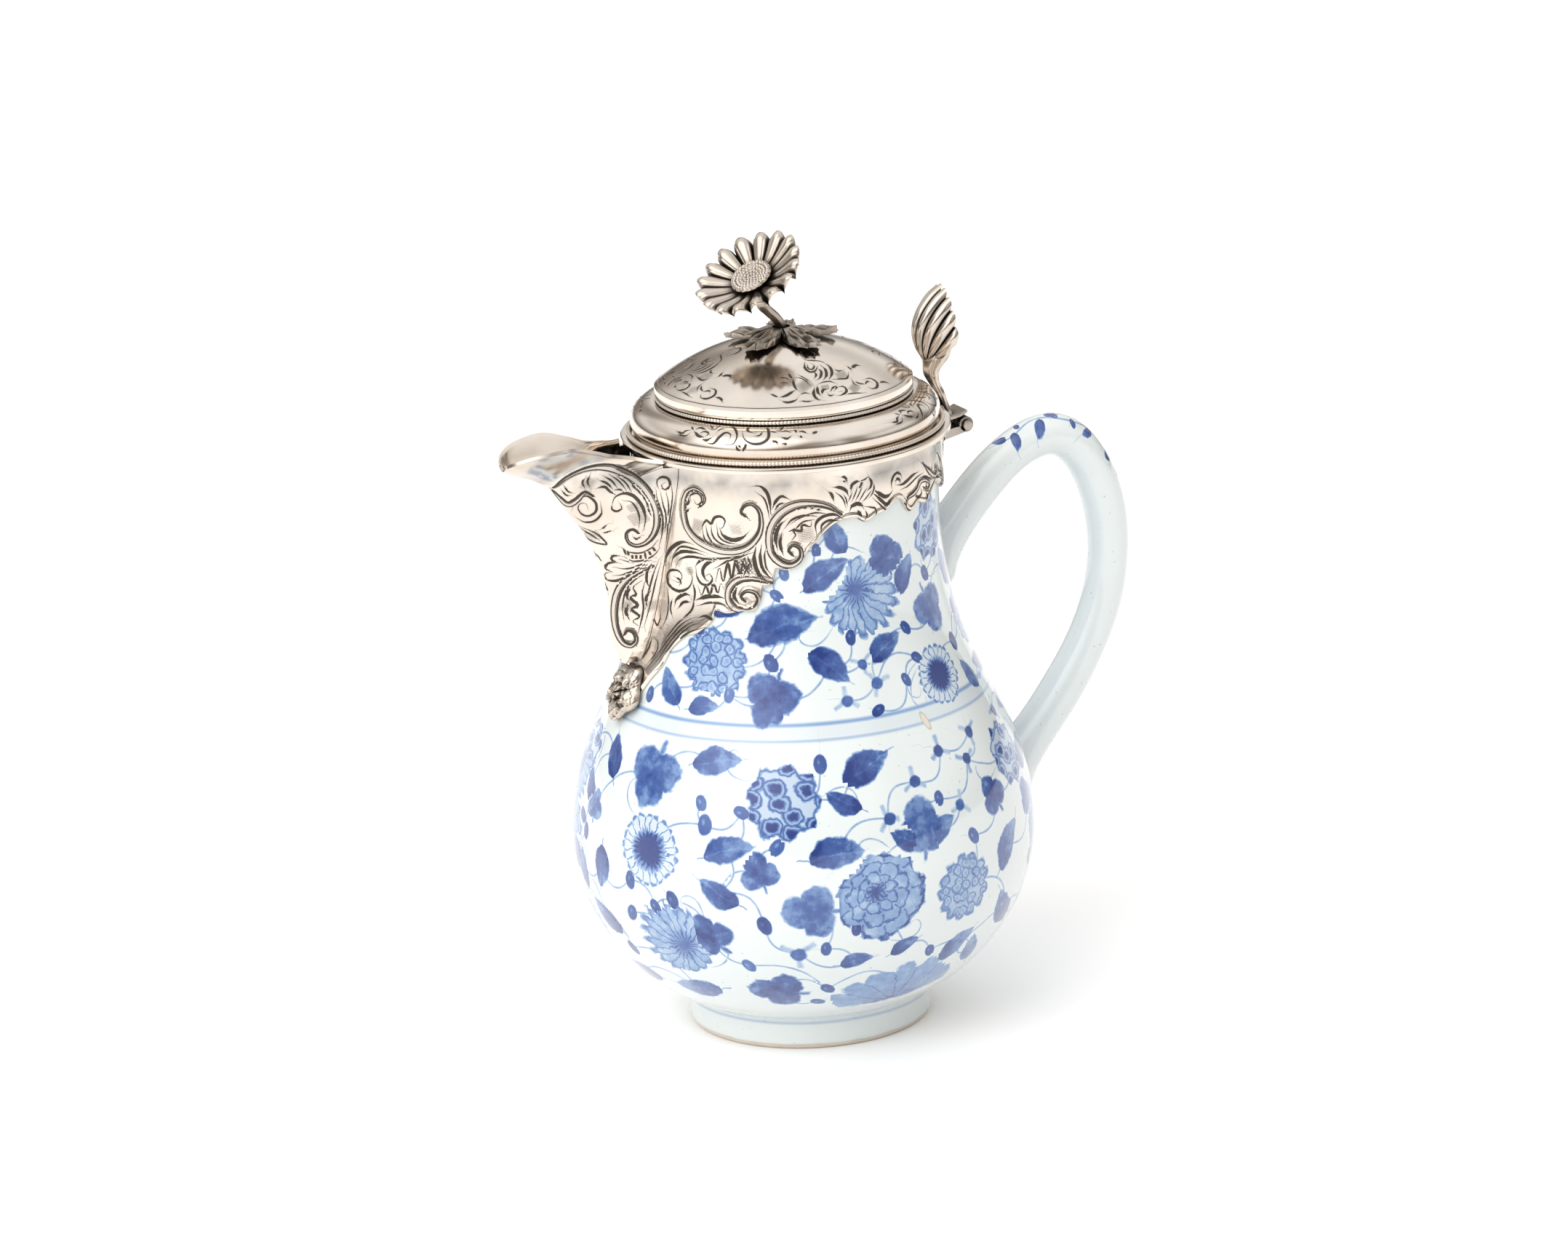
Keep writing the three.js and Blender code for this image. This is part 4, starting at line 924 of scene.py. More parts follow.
def silver_material(name, groups, tint, tarnish, roughness, depth, shade_and_tarnish=0.0, drawn=True, reach=0.003):
    """Old silver: bright on the rubbed surfaces, dark in cuts, and darkened in hollows by painted shade and tarnish."""
    made, tree, shader, place = material(name)
    worn = use(tree, groups["wear"])
    scratches, haze = Value(tree, worn["Scratches"]), Value(tree, worn["Haze"])
    stain = Value(tree, use(tree, groups["stain"], Scale=55.0, Cover=0.56, Softness=0.2)["Mask"])
    warmer = [c * k for c, k in zip(tint, (0.93, 0.87, 0.78))]
    colour = blend_colours(tree, (haze * 1.6 - 0.45).clip() * 0.5, tint, warmer)
    colour = blend_colours(tree, stain * 0.4, colour, tarnish)
    rough = roughness + haze * 0.06 + stain * 0.1 + (scratches - 0.5) * 0.1
    height = scratches * 0.05
    if drawn:
        z = split(tree, place)[2]
        cloud = ((noise(tree, place, 48, 4, 0.62) - 0.4) * 4.5).clip()
        colour = blend_colours(tree, z.near(UNDER_RIM, 0.0022, 0.0022) * cloud * 0.9, colour, GREY_TARNISH)
        colour = blend_colours(tree, z.near(LID_FOOT, 0.0013, 0.0012) * (cloud * 0.6 + 0.3) * 0.55, colour, tarnish)
        colour = blend_colours(tree, z.near(DOME_SIDE, 0.0012, 0.003) * cloud * 0.3, colour, PALE_TARNISH)
    # Painted shade, with tarnish: hollows found by ambient occlusion are darkened towards near black.
    if shade_and_tarnish:
        closed = tree.nodes.new("ShaderNodeAmbientOcclusion")
        closed.inputs["Distance"].default_value = reach
        closed.samples = 8
        hollow_shade_and_tarnish = ((0.95 - Value(tree, closed.outputs["AO"])) * shade_and_tarnish * 2.8).clip()
        colour = blend_colours(tree, hollow_shade_and_tarnish, colour, SHADE_AND_TARNISH_BLACK)
        rough = rough + hollow_shade_and_tarnish * 0.3
    if drawn:
        cuts = use(tree, groups["engraving"], Depth=1.0)
        cut = Value(tree, cuts["Cut"])
        # Painted shade along the sides of the cuts.
        colour = blend_colours(tree, Value(tree, cuts["Shade"]), colour, [c * 0.42 for c in tint])
        colour = blend_colours(tree, cut * 0.95, colour, CUT_COLOUR)
        rough = rough + cut * 0.3
        height = height + Value(tree, cuts["Height"])
    tree.links.new(colour, shader.inputs["Base Color"])
    shader.inputs["Metallic"].default_value = 1.0
    plug(tree, rough.clip(), shader.inputs["Roughness"])
    bump(tree, shader, height + haze * 0.15, depth, 0.8)
    return made


MATERIALS = {}


def make_materials():
    """Makes the shared effects once, and from them every material of the jug."""
    finish = bpy.context.scene.jug_finish
    wobble = wobble_group()
    groups = {
        "cobalt": cobalt_group(wobble), "stain": stain_group(),
        "engraving": engraving_group(wobble), "wear": wear_group(),
    }
    silver, cast, tarnish = tuple(finish.silver), tuple(finish.cast_silver), tuple(finish.tarnish)
    deep = tuple(0.62 * c for c in cast)
    polish = finish.silver_roughness
    MATERIALS["body"] = porcelain_material("glazed body", groups, finish, 1.0)
    MATERIALS["handle"] = porcelain_material("glazed handle", groups, finish, 0.0)
    MATERIALS["engraved"] = silver_material("engraved silver", groups, silver, tarnish, polish, 0.00016)
    MATERIALS["plain"] = silver_material("plain silver", groups, silver, tarnish, polish, 0.00008, drawn=False)
    # Cast silver, dark cast silver and wire get painted shade and tarnish in their hollows.
    for key, name, tint, rough, shade_and_tarnish, reach in (
        ("cast", "cast silver", cast, 0.13, 1.25, 0.0024),
        ("dark cast", "dark cast silver", deep, 0.22, 1.1, 0.0024),
        ("wire", "milled silver wire", silver, 0.2, 0.5, 0.0007),
    ):
        MATERIALS[key] = silver_material(name, groups, tint, tarnish, rough, 0.0001, shade_and_tarnish, False, reach)


# ---------------------------------------------------------------- settings
def count_property(name, description, default, low):
    return bpy.props.IntProperty(name=name, description=description, default=default, min=low)


def length_property(name, description, millimetres):
    return bpy.props.FloatProperty(name=name, description=description, default=millimetres * MM, unit="LENGTH")


class JugSizes(bpy.types.PropertyGroup):
    """Sizes and numbers of faces of the jug"""

    body_sides: count_property("Body sides", "Faces round the porcelain body", 400, 48)
    collar_sides: count_property("Collar sides", "Faces round the collar", 620, 72)
    lid_sides: count_property("Lid sides", "Faces round the lid", 420, 48)
    handle_radius: length_property("Handle radius", "Half the thickness of the handle", 5.1)
    relief: length_property("Chased relief", "How far chased scrolls stand up", 0.22)
    bead_pitch: length_property("Bead pitch", "Distance between the beads of a milled wire", 0.85)


def colour_property(name, description, default):
    return bpy.props.FloatVectorProperty(
        name=name, description=description, default=default, subtype="COLOR", min=0, max=1
    )


class JugFinish(bpy.types.PropertyGroup):
    """Colours and polish of the jug"""

    glaze: colour_property("Glaze", "Bluish white glaze", (0.805, 0.865, 0.865))
    blue_light: colour_property("Pale blue", "Thin cobalt wash", (0.27, 0.42, 0.66))
    blue_middle: colour_property("Middle blue", "Cobalt wash", (0.075, 0.155, 0.42))
    blue_dark: colour_property("Dark blue", "Pooled cobalt", (0.016, 0.04, 0.21))
    silver: colour_property("Silver", "Polished silver", (0.9, 0.83, 0.76))
    cast_silver: colour_property("Cast silver", "Silver of the thumbpiece and flower", (0.72, 0.65, 0.58))
    tarnish: colour_property("Tarnish", "Brown tarnish on silver", (0.48, 0.37, 0.26))
    silver_roughness: bpy.props.FloatProperty(
        name="Silver roughness", description="How soft reflections in the silver are", default=0.09, min=0, max=1
    )


# ---------------------------------------------------------------- painted decoration
# Direction of the front and turn of the copies on the far side, in degrees, and how much larger small motifs
# and flowers are painted than listed.
FRONT, FAR_TURN, SMALL_MOTIF, FLOWER = 245, 14, 1.2, 1.06
# Each motif: kind, degrees to the right of the front, level, half its length, degrees turned.
UPPER_FLOWERS = [
    (CHRYSANTHEMUM, 27, 110, 9.4, 10), (DAISY, 53, 88.8, 6.9, 0), (BALL, -29, 96.6, 8.2, 0),
    (LOTUS, 66, 121, 7.4, 60), (LEAF, 12.5, 116.2, 5.2, -60), (TREFOIL, 37.5, 118.2, 5.2, 20),
    (TREFOIL, 58.5, 103.3, 5.6, 200), (LEAF, -4, 104.8, 7.0, -75), (LEAF, 33, 98, 4.3, -60),
    (LEAF, 11, 95.5, 4.8, -130), (LEAF, 17.5, 125.2, 4, 20), (LEAF, -31, 86.6, 3.4, -80), (LEAF, 71, 85.6, 3.8, 30),
    (TREFOIL, -8.5, 89.2, 6.2, 160), (BUD, -8.5, 97, 2, 30), (BUD, -22.5, 89.8, 1.7, 0), (BUD, 25.5, 84.9, 1.6, -60),
    (BUD, 68, 93.6, 2, 10), (BUD, 43, 101, 1.6, 40), (BUD, 59, 111.2, 1.8, 20), (BUD, -6, 112.2, 1.6, 50),
    (BUD, -3, 117.2, 1.5, 20), (BUD, 9.5, 122.2, 1.5, 0), (ROSEBUD, 27, 91, 3, -20), (ROSEBUD, 15.5, 88, 3, 60),
    (ROSEBUD, 23, 95.5, 2.6, 10), (LEAF, -45, 90, 4.2, 40), (BUD, 45, 94, 1.6, 60), (LEAF, 47, 113, 4, -30),
    (BUD, 20, 101.5, 1.6, 0), (BUD, 38, 90, 1.5, 20),
]
UPPER_SIDES = [
    (PEONY, 88, 97, 8.2, 0), (LEAF, 80, 110, 5.4, 40), (TREFOIL, 97, 110, 5.4, -30), (LEAF, 102, 90, 5, -70),
    (BUD, 78, 100, 1.8, 0), (ROSEBUD, 101, 100, 2.8, 30), (LEAF, 84, 86, 4, 80), (BALL, 92, 122, 6, 0),
    (BUD, 108, 116, 1.7, 20), (CHRYSANTHEMUM, -66, 92, 6.6, 0), (LEAF, -56, 97, 4.4, -40), (BUD, -54, 87, 1.7, 0),
    (CHRYSANTHEMUM, -42, 113, 7.2, 0), (LEAF, -29, 117, 4.6, 40), (LEAF, -55, 111, 4.4, -60),
    (TREFOIL, -49, 122, 4.4, 10), (BUD, -36, 104, 1.7, 0), (BUD, -60, 118, 1.6, 30), (LEAF, -24, 109, 4.2, -80),
]
LOWER_FLOWERS = [
    (DAISY, -41.7, 54.3, 8.3, 0), (CHRYSANTHEMUM, -36, 33.2, 9.8, 200), (LOTUS, -5, 67.4, 8.6, -20),
    (PEONY, 18.6, 44.2, 10.6, 0), (BALL, 42.6, 41.8, 8, 0), (FAN, 27.5, 18.6, 8.8, 10), (LOTUS, 71, 67, 7.6, 20),
    (TREFOIL, -43.6, 70.8, 7, 170), (LEAF, -61, 72.2, 4.4, 20), (LEAF, -60.5, 46.6, 4.6, 170),
    (LEAF, -24, 75.4, 5, -80), (LEAF, -19, 56.4, 5, -75), (LEAF, -21.5, 46.8, 4.6, 60), (TREFOIL, -25, 35.6, 5.2, 40),
    (LEAF, -35.5, 19.4, 5.6, 95), (LEAF, 18.3, 73.2, 5.6, -60), (LEAF, 10.8, 67, 3.8, 60),
    (TREFOIL, -11.3, 52, 4.4, 20), (LEAF, 8, 55.2, 5.6, -85), (TREFOIL, 1, 42.2, 6.2, 90),
    (TREFOIL, 31, 58.4, 6.6, 0), (LEAF, 26.5, 57, 4, 60), (LEAF, 36.5, 57, 4, -60), (TREFOIL, 57, 60.5, 4.6, 30),
    (LEAF, 60.5, 47.5, 5.6, -40), (LEAF, 62, 32, 5.4, 40), (LEAF, 25.6, 30.4, 3.2, -60), (LEAF, 12.5, 28.2, 3.4, -80),
    (LEAF, 44, 26.8, 4.8, -50), (TREFOIL, -9.5, 20.2, 6.2, 80), (TREFOIL, -65.5, 60, 3.6, 0),
    (ROSEBUD, -2.5, 31.6, 3.8, 0), (BUD, -48, 46.2, 2, 0), (BUD, -34.5, 43.5, 2, 20), (BUD, -40, 41, 1.8, 30),
    (BUD, -49, 37.8, 2, -30), (BUD, -10.6, 39, 2.2, 20), (BUD, -25.5, 62, 2.2, 0), (BUD, -27, 66.6, 1.7, 20),
    (BUD, -15.7, 65.2, 1.8, 60), (BUD, 5.4, 75.2, 2, 0), (BUD, -6.7, 57.6, 2, -40), (BUD, 46.5, 53.5, 1.9, 30),
    (BUD, 4.5, 32.5, 1.7, 0), (BUD, 5, 20.6, 1.8, 40), (BUD, 2.2, 16.4, 1.6, 70), (BUD, 34, 27.5, 1.7, 20),
    (ROSEBUD, 42, 74, 3, -60), (ROSEBUD, 50.5, 70, 3, 120), (ROSEBUD, 56, 75.4, 3, 0), (ROSEBUD, 31, 68.8, 3, 60),
    (ROSEBUD, 22, 62, 3, 80), (ROSEBUD, 44, 61.4, 3, -70), (BUD, 37.5, 64, 1.6, 0), (LEAF, 52, 24, 4.2, 20),
    (BUD, -55, 27, 1.9, 30), (LEAF, -62, 34, 5, 60), (BUD, 12, 37, 1.6, 0), (BUD, -16, 28, 1.8, 30),
]
LOWER_SIDES = [
    (PEONY, 86, 47, 9.6, 0), (CHRYSANTHEMUM, 99, 66, 8.4, 30), (LEAF, 84, 64, 5.2, -60), (LEAF, 103, 47, 5.2, 40),
    (DAISY, 98, 30, 7.6, 0), (TREFOIL, 76, 55, 4.4, 20), (LEAF, 80, 30, 5.4, 80), (LEAF, 88, 76, 4.4, 100),
    (BUD, 76, 40, 2, 0), (BUD, 108, 56, 2, 40), (BUD, 91, 58, 1.8, 10), (ROSEBUD, 75, 76, 3, 30),
    (LEAF, 90, 20, 5, 90), (PEONY, -82, 50, 9, 0), (LOTUS, -80, 70, 7, 0), (LEAF, -70, 64, 3.8, 30),
    (CHRYSANTHEMUM, -76, 28, 8, 0), (LEAF, -71, 44, 4.4, 10), (BUD, -69, 53, 1.9, 0), (LEAF, -58, 20, 4.6, 80),
]


def painted_places(rows):
    """World angle, level, half size, turn and kind for a list, and again on the far side."""
    for far in (0, 180):
        for kind, degrees, level, size, turn in rows:
            full = size * (SMALL_MOTIF if kind in (LEAF, TREFOIL, BUD, ROSEBUD) else FLOWER)
            yield kind, math.radians(FRONT + degrees + far), level, full, math.radians(turn + (FAR_TURN if far else 0))


def body_frame(angle, z):
    """A point on the glaze with the directions to its right and up the wall."""
    p = on_body(np.array(angle), np.array(float(z)))
    up = on_body(np.array(angle), np.array(z + 1.0)) - on_body(np.array(angle), np.array(z - 1.0))
    return p, np.array([-math.sin(angle), math.cos(angle), 0.0]), up / np.linalg.norm(up)


def body_stamp(kind, angle, z, size, turn, tone):
    """One painted motif on the body."""
    p, right, up = body_frame(angle, z)
    c, s = math.cos(turn), math.sin(turn)
    return Stamp(p, right * c + up * s, up * c - right * s, size, kind, tone, 1.25 if kind == FAN else 1.0)


def stems_between(rows, pick, reach):
    """Curling stems that join each motif to its nearest neighbours without crossing the bands."""
    spots = [(a, z) for _, a, z, _, _ in rows]
    flat = np.array([(body_radius(z) * a, z) for a, z in spots])
    joined, loose, strokes = [0], set(range(1, len(spots))), []
    while loose:
        gaps = [(np.hypot(*(flat[i] - flat[j])), i, j) for i in joined for j in loose]
        gap, i, j = min(gaps)
        joined.append(j)
        loose.discard(j)
        if gap > reach:
            continue
        side = 1 if pick.random() > 0.5 else -1
        (a0, z0), (a1, z1) = spots[i], spots[j]
        across = np.array([-(z1 - z0), (a1 - a0) * body_radius(z0)]) / max(gap, 1e-6)
        bulge = side * gap * (0.16 + 0.16 * pick.random())
        t = np.linspace(0, 1, 24)
        hump = np.sin(t * math.pi) * bulge
        a = a0 + (a1 - a0) * t + hump * across[0] / body_radius((z0 + z1) / 2)
        z = z0 + (z1 - z0) * t + hump * across[1]
        strokes.append(Stroke(on_body(a, z), [0.2, 0.26, 0.2], ends=False))
    return strokes


def tendril(angle, z, size, heading, hand):
    """A small curl that ends in a hook."""
    t = np.linspace(0, 1, 30)
    turn = math.radians(heading) + hand * (0.3 + 4.4 * t**1.6)
    step = size * (1 - 0.62 * t) / 14
    x, y = np.cumsum(np.cos(turn) * step), np.cumsum(np.sin(turn) * step)
    return Stroke(on_body(angle + x / body_radius(z), z + y), [0.24, 0.2, 0.14])


# ---------------------------------------------------------------- operators
class JUG_OT_body(bpy.types.Operator):
    """Turns the porcelain body, cuts the pouring notch and paints the flowers"""

    bl_idname = "jug.body"
    bl_label = "Porcelain body"

    def execute(self, context):
        sizes = context.scene.jug_sizes
        pick = random.Random(11)
        foot = [
            (0, 5.6), (8, 5.6), (15, 5.5), (21, 5.5), (22.6, 5.2), (23.6, 4.3), (24.1, 2.4), (24.4, 0.6),
            (24.7, 0.12), (25.1, 0), (26, 0), (27, 0), (27.5, 0.1), (28, 0.42), (28.3, 0.95), (28.45, 2),
            (28.5, 4), (28.55, 6), (28.7, 7),
        ]
        outside = resample(np.vstack([[(28.75, 7.35), (29.1, 7.75)], OUTLINE[1:-1]]), 1.05)
        lip = [(0, -1), (-0.4, -0.3), (-1.2, 0), (-2.3, 0), (-3.1, -0.4), (-WALL, -1.1)]
        lip = [(MOUTH_RADIUS + r, MOUTH_LEVEL + z) for r, z in lip]
        inside = [
            (r - WALL, max(z, FLOOR_LEVEL)) for r, z in resample(OUTLINE[::-1], 3.4) if 12 < z < MOUTH_LEVEL - 2
        ]
        floor = [(33, FLOOR_LEVEL + 1), (28, FLOOR_LEVEL + 0.3), *[(r, FLOOR_LEVEL) for r in (20, 10, 0)]]
        body = turned("glazed_body", [*foot, *outside, *lip, *inside, *floor], sizes.body_sides)
        cut_away(body, notch_tool("notch", -70.0, 52, 29.8, 4.4, 11.4))
        upper = list(painted_places(UPPER_FLOWERS + UPPER_SIDES))
        lower = list(painted_places(LOWER_FLOWERS + LOWER_SIDES))
        stamps = [body_stamp(*row, pick.random()) for row in upper + lower]
        strokes = stems_between(upper, pick, 24) + stems_between(lower, pick, 26)
        for kind, angle, z, size, _ in upper + lower:
            if kind in (CHRYSANTHEMUM, DAISY, PEONY, LOTUS):
                for _ in range(2):
                    way = pick.uniform(0, 360)
                    a = angle + math.cos(math.radians(way)) * size / body_radius(z)
                    level = z + math.sin(math.radians(way)) * size
                    strokes.append(tendril(a, level, 9, way + 40, pick.choice((-1, 1))))
        draw_on(body, strokes, stamps, lambda p, n: (n * p).sum(1) > 0)
        finish_piece(body, MATERIALS["body"], "jug", "porcelain", "porcelain_body")
        return {"FINISHED"}


class JUG_OT_handle(bpy.types.Operator):
    """Sweeps the loop handle, blends it into the body and paints its sprig"""

    bl_idname = "jug.handle"
    bl_label = "Porcelain handle"

    def execute(self, context):
        radius = context.scene.jug_sizes.handle_radius / MM
        upper, lower = (body_radius(104.5) - 6, 98.5), (body_radius(50.5) - 6, 44.5)
        top, back = (67.5, 130.4), (82.9, 103.0)
        path = np.vstack([
            bezier([upper, (upper[0] + 15.8, upper[1] + 20.6), (top[0] - 10, top[1]), top], 60),
            bezier([top, (top[0] + 8.5, top[1]), (back[0], back[1] + 14), back], 60)[1:],
            bezier([back, (back[0], back[1] - 21), (lower[0] + 21.5, lower[1] + 21.5), lower], 60)[1:],
        ])
        step = 1.15
        path = resample(path, step)
        along = np.gradient(path, axis=0)
        along /= np.linalg.norm(along, axis=1, keepdims=True)
        run = np.arange(len(path)) * step
        ends = np.maximum(0, np.minimum(run, run[-1] - run) - 8.4)
        uneven = 1 + 0.012 * np.sin(run / 9.0) + 0.008 * np.sin(run / 3.7)
        size = (radius + 2.3 * np.exp(-ends / 4.5)) * uneven - 0.1
        turn = np.arange(44) / 44 * TURN
        outward = np.stack([-along[:, 1], along[:, 0]], 1)
        x = path[:, 0, None] + outward[:, 0, None] * size[:, None] * np.cos(turn)
        z = path[:, 1, None] + outward[:, 1, None] * size[:, None] * np.cos(turn)
        y = size[:, None] * np.sin(turn) + 0 * x
        centres = np.stack([path[:, 0], 0 * run, path[:, 1]], 1)
        handle = tube_piece("glazed_handle", centres, np.stack([x, y, z], 2))
        levels = np.linspace(20, 134, 80)
        blank = turned("body_blank", [(0, 20), *[(body_radius(v) - 0.25, v) for v in levels], (0, 134)], 180)
        cut_away(handle, blank)

        def ridge(share, side):
            """A point a share of the way along the handle and to one side of its outer ridge."""
            k = int(share * (len(path) - 1))
            a = (side - 2.1) / size[k]
            way = np.array([outward[k, 0] * math.cos(a), math.sin(a), outward[k, 1] * math.cos(a)])
            return centres[k] + size[k] * way, np.array([along[k, 0], 0, along[k, 1]]), np.array([0, 1.0, 0])

        sprig = [(0.24, 1.6), (0.27, -0.4), (0.31, 0.9), (0.35, -0.8), (0.39, 0.6), (0.43, -0.6), (0.46, 0.4)]
        strokes = [Stroke(curve_through([ridge(s, o)[0] for s, o in sprig], 10), [0.3, 0.35, 0.25])]
        # Kind, share of the length, distance from the ridge, half size and degrees turned.
        marks = [
            (LEAF, 0.255, 1.4, 2.0, 50), (LEAF, 0.272, -1.4, 1.9, 140), (BUD, 0.29, 1.6, 1.1, 0),
            (LEAF, 0.31, -1.5, 2.1, 130), (TREFOIL, 0.335, 1.2, 2.0, 90), (BUD, 0.352, -1.2, 1.2, 20),
            (LEAF, 0.375, -1.3, 1.9, 130), (BUD, 0.395, 1.4, 1.1, 60), (LEAF, 0.42, -0.6, 1.9, 60),
            (TREFOIL, 0.45, 0.6, 2.0, 90), (BLOT, 0.49, 1.6, 1.5, 80), (BUD, 0.535, 1.2, 1.3, 90),
            (BLOT, 0.58, 1.8, 1.9, 90), (BUD, 0.64, 1.6, 1.2, 90), (BLOT, 0.79, 1.8, 1.7, 90),
            (BUD, 0.86, 1.2, 1.2, 90),
        ]
        stamps = []
        for kind, share, side, half, turned_by in marks:
            p, forward, across = ridge(share, side)
            c, s = math.cos(math.radians(turned_by)), math.sin(math.radians(turned_by))
            stamps.append(Stamp(p, forward * c + across * s, across * c - forward * s, half, kind, 0.7))
        ahead = np.array([60.0, 0, 95.0])
        draw_on(handle, strokes, stamps, lambda p, n: ((p - ahead) * n).sum(1) > 0)
        finish_piece(handle, MATERIALS["handle"], "jug", "porcelain", "porcelain_handle")
        return {"FINISHED"}


# Lower edge of the collar: degrees round from the spout, and depth below the rim.
APRON = [
    (0, 57), (6, 55), (9.7, 51.2), (14.5, 47.2), (17.5, 43.2), (23.5, 39.6), (29, 38.3), (34.6, 35.2), (36, 32.8),
    (40.5, 33.2), (46, 32.4), (51, 32), (53.2, 29.6), (54.2, 27.2), (58, 26), (59, 22.7), (63, 22.9), (67.8, 21.8),
    (70.6, 19.2), (74, 17), (77, 15.1), (81, 13.2), (86, 12.2), (90, 12.3), (94, 13.6), (98.5, 12.5), (103.3, 11.9),
    (107.5, 10.1), (111, 10.5), (115.5, 13.9), (120.5, 12.6), (126, 13.5), (132, 11.4), (138, 10.2), (144, 12.2),
    (150, 13.7), (156, 12.2), (162, 10.2), (168, 11.7), (174, 13.2), (180, 13.6),
]


def apron_depth(degrees):
    """How far the collar reaches below the rim, round from the spout."""
    table = np.array(APRON)
    fine = curve_through(table, 6)
    order = np.maximum.accumulate(fine[:, 0])
    return np.interp(degrees, order, fine[:, 1])


def on_collar(degrees, depth):
    """A point on the collar: degrees round from the spout towards the handle, and depth below the rim."""
    angle = math.pi + np.radians(degrees)
    z = RIM_LEVEL - np.asarray(depth, float)
    r = body_radius(z) + NECK_GAP + SILVER_SHEET
    return np.stack([r * np.cos(angle), r * np.sin(angle), z + 0 * r], axis=-1)


def spiral(x, y, size, heading, hand, turns=1.3):
    """A volute in flat coordinates that winds inwards from its rim to its eye."""
    t = np.linspace(0, 1, 40)
    angle = math.radians(heading) + hand * TURN * turns * t
    r = size * (1 - 0.82 * t**0.8)
    return np.stack([x + r * np.cos(angle), y + r * np.sin(angle)], 1)


def scroll(points, size, hand):
    """A scroll line that follows points and ends in a volute, as flat points."""
    lead = curve_through(points, 10)
    way = lead[-1] - lead[-3]
    heading = math.degrees(math.atan2(way[1], way[0])) - hand * 90
    centre = lead[-1] - size * np.array([math.cos(math.radians(heading)), math.sin(math.radians(heading))])
    return np.vstack([lead[:-1], spiral(centre[0], centre[1], size, heading, hand)])


def plume(x, y, heading, length, count, fan):
    """A fan of curved strokes from one foot, as an engraved acanthus leaf."""
    lines = []
    for k in range(count):
        share = k / (count - 1) - 0.5
        way = math.radians(heading + fan * share)
        reach = length * (1 - 0.9 * abs(share) ** 1.5)
        t = np.linspace(0, 1, 10)
        turn = way + share * t
        lines.append(np.stack([x + reach * t * np.cos(turn), y + reach * t * np.sin(turn)], 1))
    return lines


# The collar is drawn on a sheet that the photo camera looks through, then mirrored to the far side.
# Ribbons and lines by half the width of the cut: x, y, x, y and so on along each, on the sheet.
FRONT_SHEET, RIGHT_SHEET, LID_SHEET = (660, 561, 2.909), (1060, 630, 5.807), (930, 460, 4.9)
COLLAR_RIBBONS = {
    0.7: [
        (1172, 700, 1130, 690, 1080, 682, 1030, 690, 998, 722, 994, 766, 1018, 800, 1064, 814, 1102, 800, 1116, 768,
         1100, 738, 1064, 732, 1044, 752, 1058, 772),
    ],
    0.78: [
        (880, 392, 897, 372, 890, 342, 858, 324, 828, 336, 814, 378, 816, 432, 832, 486, 868, 528, 918, 556, 972, 572,
         1030, 572, 1080, 550, 1116, 505, 1126, 455, 1116, 408, 1086, 384, 1056, 392, 1044, 416, 1060, 432),
    ],
    0.8: [
        (1444, 424, 1392, 394, 1322, 384, 1252, 394, 1196, 430, 1164, 482, 1157, 536, 1168, 586, 1206, 622, 1250, 628,
         1284, 600, 1282, 562, 1252, 548, 1234, 568, 1248, 586),
    ],
}
